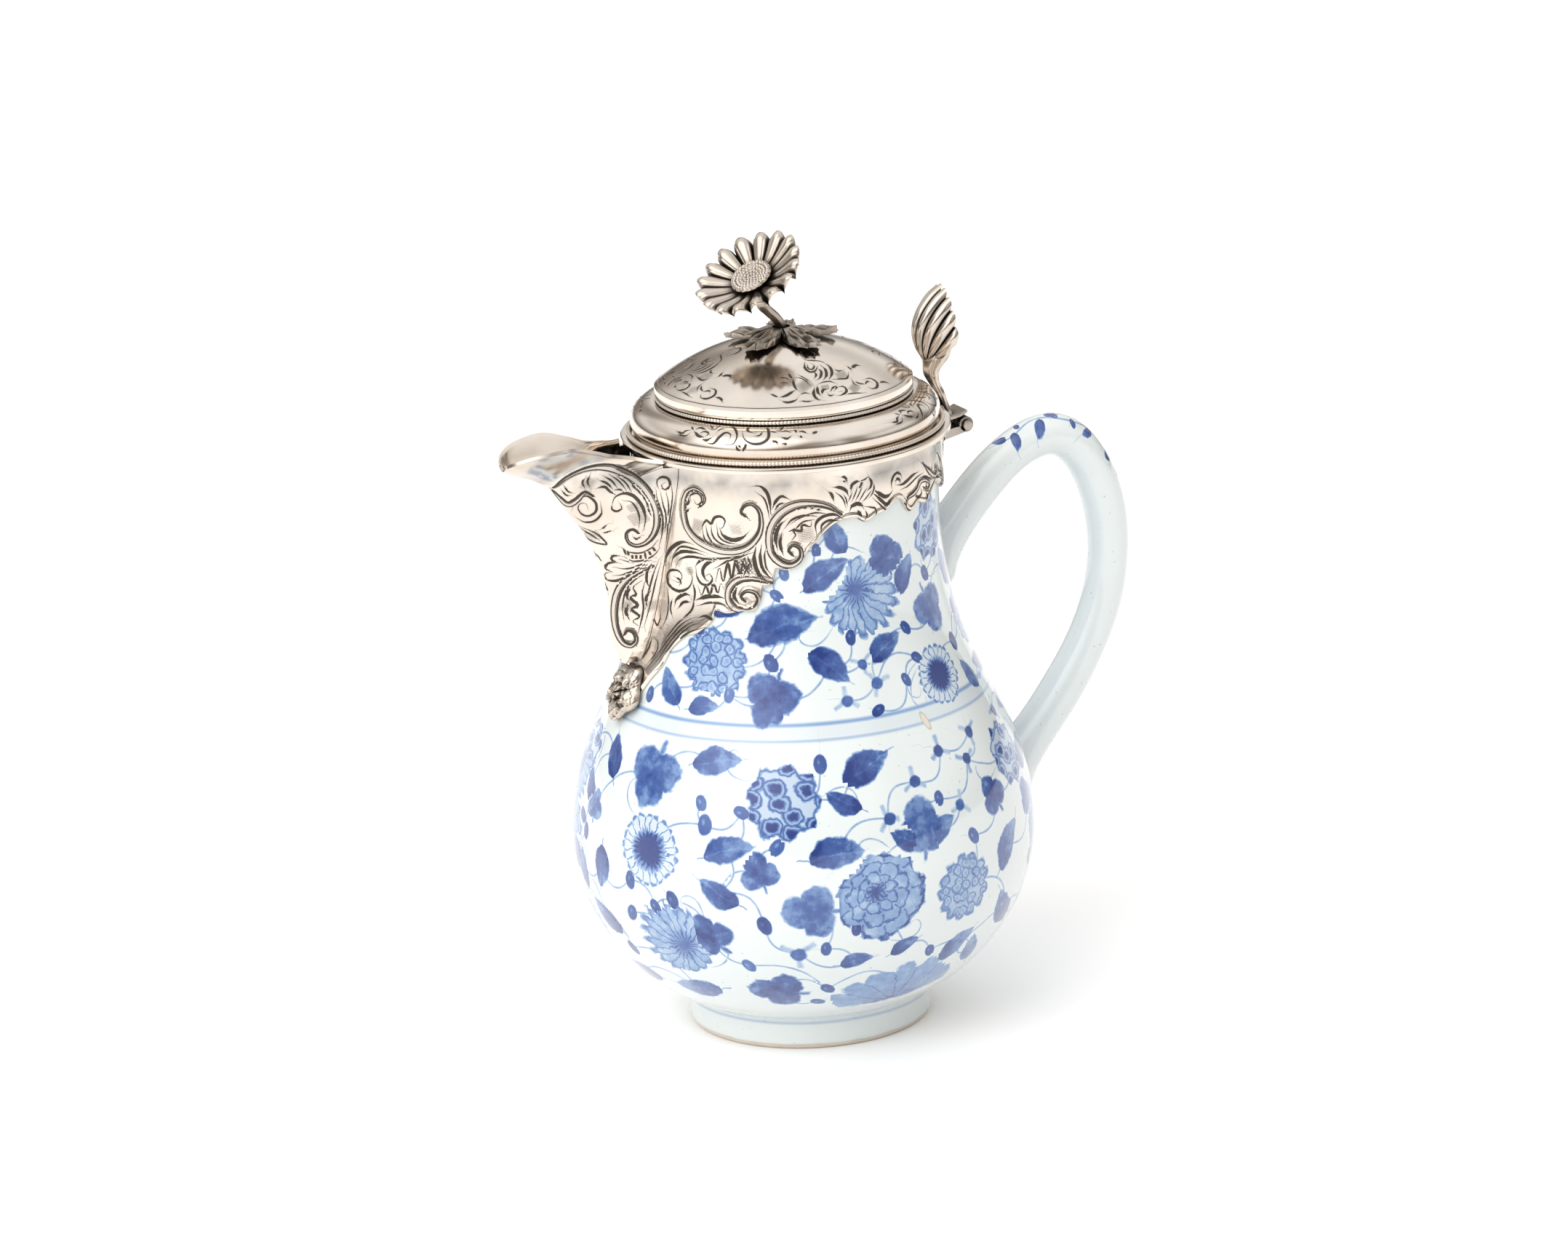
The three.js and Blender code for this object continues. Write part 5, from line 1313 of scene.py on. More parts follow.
COLLAR_LINES = {
    0.12: [
        (890, 500, 902, 530, 930, 550), (1108, 340, 1136, 362, 1150, 400, 1156, 440),
        (1236, 468, 1280, 440, 1340, 420, 1400, 424), (1250, 500, 1290, 458, 1340, 446),
    ],
    0.14: [
        (902, 470, 912, 512, 940, 548, 984, 560), (922, 466, 930, 510, 958, 540, 1004, 552),
        (946, 470, 954, 512, 984, 536, 1036, 546), (1180, 408, 1196, 386, 1220, 380),
        (900, 596, 960, 602, 1030, 594, 1082, 572), (1142, 560, 1138, 600, 1146, 640, 1167, 668),
        (1078, 768, 1083, 772), (1094, 760, 1099, 764), (1082, 788, 1087, 792), (1060, 790, 1065, 793),
        (840, 830, 800, 850, 756, 900, 712, 960), (752, 884, 757, 890), (756, 902, 762, 908), (760, 920, 766, 925),
        (748, 866, 752, 872),
    ],
    0.16: [
        (906, 546, 914, 554), (922, 556, 930, 562), (940, 565, 948, 569), (958, 571, 966, 574),
        (760, 600, 800, 556, 850, 562, 905, 580), (1010, 604, 1030, 640, 1050, 680),
        (1040, 600, 1062, 640, 1082, 672), (1070, 595, 1088, 640), (1052, 676, 1068, 640, 1090, 606),
        (868, 790, 920, 778, 972, 786, 1000, 806), (1268, 404, 1282, 400), (1296, 400, 1310, 398),
        (1322, 400, 1336, 401), (1348, 405, 1362, 409), (896, 862, 846, 868, 796, 908, 746, 972, 696, 1036),
        (880, 846, 824, 866, 776, 912, 726, 976, 680, 1034), (862, 834, 812, 858, 764, 908, 716, 970, 668, 1030),
        (690, 910, 710, 940, 700, 980, 660, 1030), (740, 700, 752, 760, 746, 830, 720, 890),
    ],
    0.18: [(940, 640, 990, 612, 1050, 592, 1096, 576)],
    0.2: [
        (842, 372, 840, 350, 862, 340, 882, 352, 884, 376, 866, 386, 856, 370), (818, 420, 836, 404),
        (780, 640, 796, 606, 838, 594, 890, 602, 950, 606, 1010, 596), (780, 676, 800, 690, 796, 708),
        (862, 636, 866, 672, 884, 702, 912, 706, 928, 684, 916, 664, 902, 672), (860, 632, 880, 610, 915, 602),
        (850, 700, 858, 740, 850, 790), (1218, 482, 1250, 446, 1300, 430, 1352, 434),
        (904, 880, 850, 890, 806, 922, 760, 986, 706, 1050), (840, 756, 852, 784, 838, 816, 800, 846),
        (768, 760, 760, 800, 770, 840), (700, 760, 690, 820, 706, 866, 720, 830, 712, 780),
    ],
    0.22: [
        (746, 600, 734, 616, 740, 634),
        (872, 716, 886, 746, 902, 712, 918, 744, 934, 706, 950, 738, 962, 704, 976, 726),
        (1366, 500, 1368, 470, 1396, 450, 1440, 450),
    ],
    0.24: [
        (812, 392, 832, 378, 836, 352),
        (892, 500, 888, 474, 904, 450, 922, 462, 936, 440, 958, 434, 978, 448, 972, 474, 956, 486),
        (940, 700, 956, 640, 972, 690, 990, 622, 1006, 676, 1022, 612, 1040, 660, 1056, 602, 1072, 650, 1088, 596),
        (1246, 530, 1262, 508, 1254, 488, 1284, 492, 1290, 468, 1322, 474, 1326, 450), (792, 800, 812, 776, 842, 776),
    ],
    0.26: [
        (1168, 404, 1184, 372, 1208, 354, 1240, 366),
        (832, 640, 848, 680, 834, 716, 798, 732, 762, 716, 746, 680, 758, 650, 790, 650, 806, 672, 794, 696, 774,
         690),
    ],
    0.3: [
        (1092, 312, 1122, 314, 1148, 340, 1160, 384, 1162, 428), (762, 640, 772, 596, 806, 574, 858, 578, 900, 590),
        (1126, 548, 1120, 590, 1128, 636, 1152, 670, 1176, 688), (1026, 718, 1016, 752, 1034, 782),
        (1212, 586, 1200, 540, 1208, 500), (1346, 504, 1344, 462, 1374, 434, 1420, 426, 1458, 446),
        (868, 838, 900, 832, 930, 850, 924, 876, 894, 884), (688, 906, 674, 956, 640, 1012),
    ],
    0.34: [
        (752, 664, 750, 700, 774, 724), (1190, 566, 1182, 520, 1196, 474, 1224, 448),
        (776, 792, 786, 764, 816, 744, 846, 752),
    ],
    0.36: [(944, 612, 910, 620, 890, 648, 900, 684, 918, 694)],
    0.4: [(742, 640, 744, 592, 768, 556, 806, 536, 846, 542), (862, 768, 904, 754, 950, 754, 982, 764)],
    0.42: [
        (958, 482, 972, 510, 1008, 528, 1046, 520, 1072, 498),
        (1104, 552, 1096, 596, 1104, 640, 1126, 676, 1160, 700, 1172, 708),
    ],
}
COLLAR_RIGHT_RIBBONS = {
    0.6: [
        (1080, 400, 1078, 360, 1100, 310, 1140, 280, 1170, 240, 1190, 190, 1230, 170, 1262, 196, 1256, 236, 1226,
         250),
    ],
}
COLLAR_RIGHT_LINES = {
    0.14: [
        (620, 350, 636, 310, 650, 270), (646, 350, 664, 310, 684, 260, 694, 220),
        (674, 350, 694, 310, 718, 260, 739, 210), (702, 352, 722, 318, 750, 270, 778, 225),
        (600, 396, 586, 340, 560, 304, 520, 275), (614, 380, 604, 330, 585, 294),
        (730, 352, 760, 320, 788, 284, 812, 250), (720, 180, 750, 170, 780, 145),
    ],
    0.16: [
        (744, 384, 790, 390, 836, 400, 840, 440, 820, 480, 780, 500),
        (816, 316, 860, 356, 930, 416, 964, 374, 1006, 300),
    ],
    0.2: [
        (575, 185, 600, 186), (820, 190, 826, 240, 808, 290, 780, 320),
        (1040, 250, 1090, 226, 1130, 190, 1170, 150, 1220, 116),
    ],
    0.22: [(760, 420, 770, 460, 750, 490)],
    0.3: [
        (560, 150, 596, 156, 612, 190), (730, 190, 718, 224, 704, 240), (696, 470, 700, 500, 720, 520, 756, 512),
        (1000, 190, 1010, 165, 1034, 176, 1030, 200), (1190, 178, 1216, 150, 1250, 150, 1280, 184),
        (1252, 330, 1276, 270, 1310, 210, 1334, 160), (1282, 340, 1300, 290, 1334, 240),
        (1330, 50, 1340, 90, 1366, 110), (1232, 340, 1250, 300, 1240, 270),
    ],
    0.34: [
        (782, 144, 806, 190, 796, 232, 766, 262), (462, 268, 486, 290, 504, 340),
        (968, 240, 966, 190, 984, 140, 1014, 116, 1040, 130, 1050, 160),
        (1154, 272, 1162, 300, 1186, 306, 1206, 276, 1200, 240),
        (1066, 350, 1062, 390, 1090, 424, 1130, 420, 1160, 380, 1176, 330),
        (1290, 60, 1284, 100, 1310, 140, 1350, 150),
    ],
    0.4: [
        (640, 262, 650, 214, 690, 186, 720, 186), (500, 232, 560, 236, 604, 262, 622, 304),
        (690, 430, 712, 440, 716, 464), (816, 276, 850, 304, 884, 336, 924, 366, 950, 340, 990, 286),
    ],
    0.44: [(1010, 214, 1050, 208, 1090, 180, 1130, 140, 1180, 108)],
    0.5: [(632, 420, 650, 384, 690, 364, 726, 374, 744, 400), (826, 250, 870, 284, 916, 306, 950, 290, 976, 256)],
}
# Kind, place on the sheet, half size, turn and pitch of the hatched and netted grounds.
COLLAR_GROUNDS = [
    (HATCH, 868, 470, 1.7, 70, 5), (HATCH, 1022, 486, 1.9, 0, 6), (HATCH, 1305, 508, 1.8, 0, 6),
    (LATTICE, 1058, 634, 2.2, 0, 5), (HATCH, 700, 930, 2.6, 80, 8), (HATCH, 656, 1000, 2.4, 80, 8),
    (HATCH, 735, 800, 2.2, 80, 7), (HATCH, 790, 610, 1.3, 60, 4), (HATCH, 1190, 520, 1.3, 70, 4),
    (HATCH, 838, 650, 1.0, 20, 4), (HATCH, 716, 720, 1.7, 80, 6),
]
RIGHT_WEIGHT = 0.8
DEGREE = 0.63  # millimetres round the collar to one degree
# The back of the collar, in degrees from the spout and depth below the rim: points, volute, its hand and half width.
COLLAR_BACK = [
    ([(124, 4), (130, 7), (134, 8.4)], 1.4, -1, 0.55), ([(138, 4), (143, 7), (147, 9.6)], 1.7, 1, 0.6),
    ([(152, 4), (157, 7), (160, 8.6)], 1.4, -1, 0.55), ([(166, 4.5), (171, 7.6), (175, 9.4)], 1.6, 1, 0.6),
]
# The leaves between them: place, heading, length, number of cuts and degrees of their fan.
BACK_PLUMES = [
    (131, 9, -80, 3.8, 5, 90), (144, 10.4, -80, 4.2, 5, 90), (158, 9, -80, 3.8, 5, 90), (172, 10.4, -80, 4.2, 5, 90),
    (126, 11, -60, 3.4, 4, 80), (151, 11, -60, 3.6, 4, 80), (138, 8.6, -100, 3, 4, 80), (165, 9.4, -90, 3.4, 4, 80),
]


def off_collar(spots):
    """How far points stand off the face of the collar."""
    return np.hypot(spots[..., 0], spots[..., 1]) - body_radius(spots[..., 2]) - NECK_GAP - SILVER_SHEET


def smooth_height(points, strokes, reach):
    """How high chased scrolls stand at each point, from 0 to 1."""
    pts = np.vstack([s.points for s in strokes])
    half = np.concatenate([s.half for s in strokes])
    best, gap = nearest(points, pts)
    share = np.clip(1 - gap / np.maximum(half[best] + reach, 1e-6), 0, 1)
    return np.sqrt(1 - (1 - share) ** 2)


class JUG_OT_collar(bpy.types.Operator):
    """Makes the fretted and engraved collar and the ring that carries the lid"""

    bl_idname = "jug.collar"
    bl_label = "Silver collar"

    def execute(self, context):
        sizes = context.scene.jug_sizes
        sides, rows = sizes.collar_sides, 72
        degrees = np.arange(sides) / sides * 360
        depth = apron_depth(np.where(degrees > 180, 360 - degrees, degrees))
        share = np.linspace(0, 1, rows) ** 0.9
        drop = depth[:, None] * (1 - share[None, :]) + 0 * share[None, :]
        level = RIM_LEVEL - drop
        outer = body_radius(level) + NECK_GAP + SILVER_SHEET
        angle = math.pi + np.radians(degrees)[:, None]

        def place(points, sheet):
            return carried(points, sheet, off_collar)

        def directions(p, turn, side):
            right, up = np.array([-p[1], p[0], 0]) / math.hypot(p[0], p[1]) * side, np.array([0, 0, 1.0])
            c, t = math.cos(turn), math.sin(turn)
            return right * c + up * t, up * c - right * t

        both = (1, -1)
        strokes = drawn_strokes(COLLAR_RIBBONS, FRONT_SHEET, place, 1.0, both, RIBBON)
        strokes += drawn_strokes(COLLAR_LINES, FRONT_SHEET, place, 1.0, both)
        strokes += drawn_strokes(COLLAR_RIGHT_RIBBONS, RIGHT_SHEET, place, RIGHT_WEIGHT, both, RIBBON)
        strokes += drawn_strokes(COLLAR_RIGHT_LINES, RIGHT_SHEET, place, RIGHT_WEIGHT, both)
        for side in both:
            for points, size, hand, half in COLLAR_BACK:
                line = scroll(np.array(points, float) * (DEGREE, 1), size, hand)
                swell = [0.15, half, half, half * 0.6, 0.12]
                strokes.append(Stroke(on_collar(side * line[:, 0] / DEGREE, line[:, 1]), swell, RIBBON))
            for x, *rest in BACK_PLUMES:
                for line in plume(x * DEGREE, *rest):
                    spots = on_collar(side * line[:, 0] / DEGREE, line[:, 1])
                    strokes.append(Stroke(spots, [0.08, 0.24, 0.16, 0.04]))
        grounds = hatched_grounds(COLLAR_GROUNDS, FRONT_SHEET, place, directions, both)
        around = np.arange(112, 248.1, 0.5)
        border = apron_depth(np.where(around > 180, 360 - around, around))
        strokes.append(Stroke(on_collar(around, border - 1.3), 0.1, ends=False))
        scrolls = [s for s in strokes if s.manner == RIBBON]
        face = np.stack([outer * np.cos(angle), outer * np.sin(angle), level], 2)
        raised = smooth_height(face.reshape(-1, 3), scrolls, 0.5).reshape(sides, rows)
        bead = np.exp(-(((drop[:, :1] - drop - 0.75) / 0.5) ** 2))
        lift = np.maximum(raised, bead) * sizes.relief / MM
        lift[:, -2:] = 0
        lift -= 0.35 * np.exp(-((drop[:, :1] - drop) / 0.25) ** 2) * (np.arange(rows) < 3)
        outer = outer - 0.12 + lift
        inner = body_radius(level) + NECK_GAP * 0.35
        front = np.stack([outer * np.cos(angle), outer * np.sin(angle), level], 2)
        behind = np.stack([inner * np.cos(angle), inner * np.sin(angle), level], 2)
        collar = sheet_piece("engraved_collar", front, behind, round_rows=True)
        notch = (-60.0, 40, 29, 3.6, 10.6)
        cut_away(collar, notch_tool("collar_notch", *notch))
        draw_on(collar, strokes, grounds, lambda p, n: (n * p * (1, 1, 0)).sum(1) > 0)
        finish_piece(collar, MATERIALS["engraved"], "jug", "silver", "neck_collar")
        bottom, r = MOUTH_LEVEL + 0.12, MOUTH_RADIUS
        seat = turned("collar_ring", [
            (r - 2.6, bottom + 0.2), (r - 2.4, bottom), (r, bottom), (r + 0.2, bottom + 0.2),
            (r + 0.2, RIM_LEVEL - 0.25), (r, RIM_LEVEL), (r - 1, RIM_LEVEL), (r - 1.2, RIM_LEVEL - 0.2),
            (r - 1.2, bottom + 1), (r - 1.4, bottom + 0.8), (r - 2.4, bottom + 0.8), (r - 2.6, bottom + 0.6),
            (r - 2.6, bottom + 0.2),
        ], 200)
        cut_away(seat, notch_tool("seat_notch", *notch))
        finish_piece(seat, MATERIALS["plain"], "jug", "silver", "collar_seat")
        return {"FINISHED"}


# Ribs of the spout from its foot to its nose: edge (share of the length beyond the collar, half width,
# depth below the rim), keel (share, depth) and how full the side is.
SPOUT_RIBS = [
    (0.099, 1.8, 47.9, 0.089, 48.4, 1.3), (0.086, 3, 45.3, 0.179, 44.7, 1.3), (0.065, 3.7, 42, 0.223, 41.7, 1.3),
    (0.056, 4.2, 38.5, 0.255, 37.7, 1.3), (0.034, 5.2, 32.4, 0.294, 31.2, 1.3), (0.017, 6.5, 25.9, 0.35, 24.7, 1.3),
    (0.005, 8.2, 18.9, 0.419, 18.7, 1.3), (-0.02, 10.4, 12.1, 0.487, 14.4, 1.3), (-0.051, 12.8, 4.9, 0.55, 11.2, 1.3),
    (-0.06, 13.5, -0.5, 0.591, 8.9, 1.3), (0.01, 12.2, -0.7, 0.612, 7.6, 1.3), (0.08, 10.7, -1.0, 0.635, 6.4, 1.32),
    (0.135, 9.5, -1.4, 0.656, 5.4, 1.36), (0.19, 8.5, -1.9, 0.677, 4.5, 1.4), (0.26, 7.8, -2.4, 0.705, 3.6, 1.45),
    (0.337, 7.5, -3, 0.734, 2.8, 1.5), (0.453, 8, -4.5, 0.79, 1.7, 1.6), (0.614, 8.8, -6, 0.847, 0.9, 1.7),
    (0.824, 7.4, -5.2, 0.921, 0, 1.7), (0.941, 4.9, -3.9, 0.972, -0.9, 1.7), (0.995, 2.2, -2.6, 1, -1.6, 1.7),
]
SPOUT_LENGTH = 35.3
SPOUT_RIBBONS = {
    0.6: [(290, 330, 318, 362, 350, 386, 384, 372, 420, 340, 452, 352)],
    0.75: [
        (694, 630, 644, 652, 596, 680, 560, 718, 541, 768, 536, 830, 545, 888, 570, 936, 604, 950, 626, 928, 615, 897,
         590, 890, 577, 905),
    ],
    0.8: [
        (296, 322, 345, 280, 410, 248, 480, 236, 550, 248, 620, 284, 672, 336, 703, 400, 708, 455, 695, 503, 662, 540,
         622, 550, 592, 532, 588, 500, 612, 486, 634, 500),
    ],
}
SPOUT_LINES = {
    0.1: [(520, 268, 556, 292, 586, 330), (545, 272, 580, 296, 608, 338), (566, 270, 604, 296, 632, 336)],
    0.12: [
        (566, 560, 600, 578, 645, 580, 685, 560, 712, 528), (560, 606, 600, 616, 650, 616, 700, 598),
        (540, 638, 586, 644, 640, 628, 696, 602), (530, 672, 574, 666, 630, 642, 690, 606),
        (684, 652, 640, 674, 602, 704, 578, 748, 570, 800, 576, 850),
        (716, 606, 694, 664, 676, 728, 662, 796, 650, 850), (724, 620, 704, 690, 690, 750, 674, 815, 658, 872),
        (722, 338, 732, 384, 744, 432, 742, 500, 732, 560), (766, 306, 770, 352, 764, 410, 756, 470, 748, 536),
        (744, 336, 754, 384, 754, 440, 750, 500, 740, 570), (448, 566, 468, 600), (466, 586, 484, 612),
        (500, 700, 512, 740),
    ],
    0.14: [
        (336, 312, 352, 334, 374, 340), (326, 330, 345, 350, 365, 350), (575, 338, 560, 326, 536, 330),
        (606, 306, 630, 330), (626, 322, 648, 350), (646, 342, 664, 374), (660, 366, 676, 400), (670, 394, 684, 430),
        (575, 594, 610, 612, 650, 610, 695, 590, 722, 554), (660, 690, 650, 740, 654, 800, 644, 856, 632, 904),
        (704, 330, 710, 366, 722, 404, 732, 450, 728, 506, 716, 556), (492, 500, 522, 494), (486, 486, 506, 470),
        (420, 280, 410, 300, 420, 322),
    ],
    0.16: [
        (496, 274, 525, 290, 548, 318), (578, 372, 604, 376, 626, 402, 638, 440, 636, 476), (548, 264, 560, 270),
        (572, 274, 584, 281), (596, 288, 607, 297),
        (388, 474, 430, 486, 470, 506, 506, 542, 464, 540, 424, 518, 388, 474), (400, 482, 440, 505, 480, 530),
        (440, 270, 430, 296, 440, 316),
    ],
    0.18: [(640, 515, 625, 525, 612, 512)],
    0.2: [
        (384, 440, 420, 458, 462, 450, 486, 420, 482, 384), (478, 290, 505, 300, 530, 322),
        (530, 384, 528, 405, 548, 414, 566, 400, 560, 382), (575, 566, 583, 584), (590, 574, 597, 594),
        (606, 580, 611, 602), (623, 583, 626, 606), (641, 583, 642, 605), (659, 579, 664, 600), (676, 571, 684, 591),
        (692, 560, 703, 577),
    ],
    0.22: [
        (372, 400, 392, 362, 430, 352, 462, 378, 464, 412, 438, 432, 408, 426, 392, 402, 402, 384, 424, 384, 430,
         400), (560, 592, 532, 594, 528, 608, 552, 618), (552, 618, 514, 622, 502, 642, 530, 656),
        (530, 656, 500, 664, 508, 688, 548, 690, 590, 672, 640, 644, 690, 612), (682, 730, 664, 762, 668, 798),
        (712, 320, 708, 296, 724, 278, 748, 280, 760, 300, 752, 320, 734, 324, 728, 308, 740, 300),
    ],
    0.24: [(466, 322, 498, 316, 520, 334, 545, 348), (702, 612, 674, 642, 666, 690, 682, 722)],
    0.26: [(640, 694, 614, 718, 624, 744, 604, 762, 630, 786, 608, 808, 638, 832, 614, 854, 640, 874)],
    0.3: [(592, 784, 584, 816, 596, 844)],
    0.32: [(600, 716, 588, 744, 594, 770)],
    0.34: [(530, 384, 540, 358, 575, 342, 615, 352, 648, 392, 662, 440, 655, 488)],
}
SPOUT_GROUNDS = [
    (HATCH, 436, 302, 1.7, 60, 5), (HATCH, 636, 440, 1.9, 20, 7), (HATCH, 620, 398, 1.4, 20, 5),
    (HATCH, 450, 512, 1.6, 20, 6), (HATCH, 588, 790, 1.4, 70, 5), (HATCH, 690, 790, 1.4, 80, 5),
    (HATCH, 735, 480, 1.5, 85, 5),
]


class JUG_OT_spout(bpy.types.Operator):
    """Lofts the keeled spout through its ribs, trims it to the collar and engraves its sides"""

    bl_idname = "jug.spout"
    bl_label = "Silver spout"

    def execute(self, context):
        ribs = curve_through(SPOUT_RIBS, 7)
        v = np.linspace(0, 1, 54)

        def outer(z):
            return body_radius(np.minimum(z, MOUTH_LEVEL)) + NECK_GAP + SILVER_SHEET

        rows = []
        for e_share, e_half, e_depth, k_share, k_depth, full in ribs:
            ez, kz = RIM_LEVEL - e_depth, RIM_LEVEL - k_depth
            ex, kx = -(outer(ez) + e_share * SPOUT_LENGTH), -(outer(kz) + k_share * SPOUT_LENGTH)
            t = v**full
            side = np.stack([kx + (ex - kx) * t, v * e_half, kz + (ez - kz) * t], 1)
            last = (ex + 5, e_half + 0.5, ez) if ez < RIM_LEVEL else (ex, e_half + 0.4, ez + 0.2)
            side = np.vstack([side, [last]])
            rows.append(np.vstack([(side * (1, -1, 1))[:0:-1], side]))
        grid = np.array(rows)
        probe = grid[:, len(grid[0]) // 2 :].reshape(-1, 3)

        def on_flank(points, sheet):
            """Carries drawn points on to the near side of the spout."""
            eye, way = sight(points, sheet)
            y = np.full(len(points), -9.0)
            for _ in range(8):
                spots = eye + way * ((y - eye[1]) / way[:, 1])[:, None]
                near, _ = nearest(spots[:, (0, 2)], probe[:, (0, 2)])
                y = -probe[near, 1]
                if len(y) > 9:
                    y = np.convolve(np.pad(y, 4, mode="edge"), np.ones(9) / 9, mode="valid")
            return np.stack([spots[:, 0], y, spots[:, 2]], 1)

        def directions(p, turn, side):
            return (math.cos(turn), 0, math.sin(turn)), (-math.sin(turn), 0, math.cos(turn))

        both = (1, -1)
        scrolls = drawn_strokes(SPOUT_RIBBONS, FRONT_SHEET, on_flank, 1.0, both, RIBBON)
        strokes = scrolls + drawn_strokes(SPOUT_LINES, FRONT_SHEET, on_flank, 1.0, both)
        grounds = hatched_grounds(SPOUT_GROUNDS, FRONT_SHEET, on_flank, directions, both)
        raised = smooth_height(grid.reshape(-1, 3), scrolls, 0.45).reshape(grid.shape[:2])
        flank = np.minimum(1, np.abs(grid[:, :, 1]) / 1.6)
        lift = raised * flank * context.scene.jug_sizes.relief / MM
        normals = grid_normals(grid)
        if normals[40, 80, 1] < 0:
            normals = -normals
        front = grid + normals * (lift[:, :, None] - 0.12)
        back = grid - normals * 0.85
        spout = sheet_piece("engraved_spout", front, back, angle=60)
        levels = np.linspace(60, RIM_LEVEL, 60)
        blank = turned("collar_blank", [(0, 60), *[(outer(z) - 0.02, z) for z in levels], (0, RIM_LEVEL)], 240)
        room = turned("lid_room", [(0, RIM_LEVEL - 0.1), (38.8, RIM_LEVEL - 0.1), (38.8, 150), (0, 150)], 240)
        cut_away(spout, blank, room)

        def outer_side(p, n):
            return (np.abs(n[:, 1]) > 0.12) & (n[:, 1] * p[:, 1] > 0) & (p[:, 2] < 143.6)

        draw_on(spout, strokes, grounds, outer_side)
        choose(spout)
        bpy.ops.object.shade_smooth_by_angle(angle=math.radians(55))
        finish_piece(spout, MATERIALS["engraved"], "jug", "silver", "spout")
        return {"FINISHED"}


class JUG_OT_drop(bpy.types.Operator):
    """Models the cast scroll ornament below the spout"""

    bl_idname = "jug.drop"
    bl_label = "Cast drop ornament"

    def execute(self, context):
        centre, height, width = 86.4, 12.4, 12.2
        around, steps = 300, 70
        a = np.arange(around)[:, None] / around * TURN
        s = np.linspace(0, 1, steps)[None, :]
        lobes = 1 + 0.1 * np.cos(5 * a + math.pi / 2)
        z = centre + s * lobes * height * np.sin(a) / 2
        y = s * lobes * width * np.cos(a) / 2
        petals = np.abs(np.cos(2.5 * a + math.pi / 4)) ** 0.7
        dome = np.sqrt(np.maximum(0, 1 - s**2))
        boss = np.exp(-((s / 0.22) ** 2))
        curl = 0.34 * np.cos(TURN * 2.2 * s + 5 * a) * np.exp(-(((s - 0.62) / 0.24) ** 2))
        curl = curl + 0.3 * np.sin(TURN * 4 * s - 5 * a) * np.sqrt(s) * dome
        curl = curl + 0.12 * np.cos(25 * a) * np.sin(TURN * 7 * s) * s
        proud = 0.6 + 3.2 * dome * (0.62 + 0.38 * petals) * (0.7 + 0.3 * s) + 0.9 * boss + curl
        proud -= 0.7 * np.exp(-(((s - 0.3) / 0.06) ** 2))
        proud = np.minimum(proud, 4.6)
        base = body_radius(z) + NECK_GAP + SILVER_SHEET + 0.05

        def place(r):
            return np.stack([-r * np.cos(y / r), r * np.sin(y / r), z + 0 * r], 2)

        drop = sheet_piece("cast_drop", place(base + proud), place(base + 0 * proud), round_rows=True, angle=60)
        finish_piece(drop, MATERIALS["cast"], "jug", "dark_silver", "spout_drop")
        return {"FINISHED"}


def plate(name, outline, width, y=0.0, round_edge=0.25):
    """A plate cut to an outline of (distance, level) points, with softened edges."""
    n = len(outline)
    points = [(x, y - width / 2, z) for x, z in outline] + [(x, y + width / 2, z) for x, z in outline]
    faces = [tuple(range(n)), tuple(range(2 * n - 1, n - 1, -1))]
    faces += [(i, i + n, (i + 1) % n + n, (i + 1) % n) for i in range(n)]
    obj = tidy(new_piece(name, points, faces))
    soften(obj, round_edge)
    return obj


def soften(obj, width):
    """Rounds the sharp edges of a piece."""
    choose(obj)
    modifier = obj.modifiers.new("soften", "BEVEL")
    modifier.width, modifier.segments, modifier.limit_method = width * MM, 3, "ANGLE"
    modifier.angle_limit = math.radians(30)
    bpy.ops.object.modifier_apply(modifier=modifier.name)
    bpy.ops.object.shade_smooth_by_angle(angle=math.radians(40))


def rod(name, x, z, y, radius, length):
    """A turned rod that lies along Y, with softened ends."""
    clear_selection()
    place = tuple(to_frame([(x, y, z)])[0])
    bpy.ops.mesh.primitive_cylinder_add(
        vertices=40, radius=radius * MM, depth=length * MM, location=place, rotation=(math.pi / 2, 0, 0)
    )
    obj = bpy.context.object
    obj.name = name
    bpy.ops.object.transform_apply(location=True, rotation=True, scale=True)
    soften(obj, min(0.25, radius * 0.3))
    return obj


# Levels of the lid's pieces, and the places of the hinge, of the thumbpiece's stalk and of the lid's leaf.
LID = {"low": 141.5, "top": 142.9, "ovolo": 143.2, "ovolo_top": 150.7, "dome": 151.0, "rim": 154.0, "crown": 164.3}
HINGE_X, HINGE_Z, HINGE_WIDTH, KNUCKLE_GAP = 45.0, 137.0, 7.0, 0.22
STALK_X, LEAF_X = 41.4, 38.36


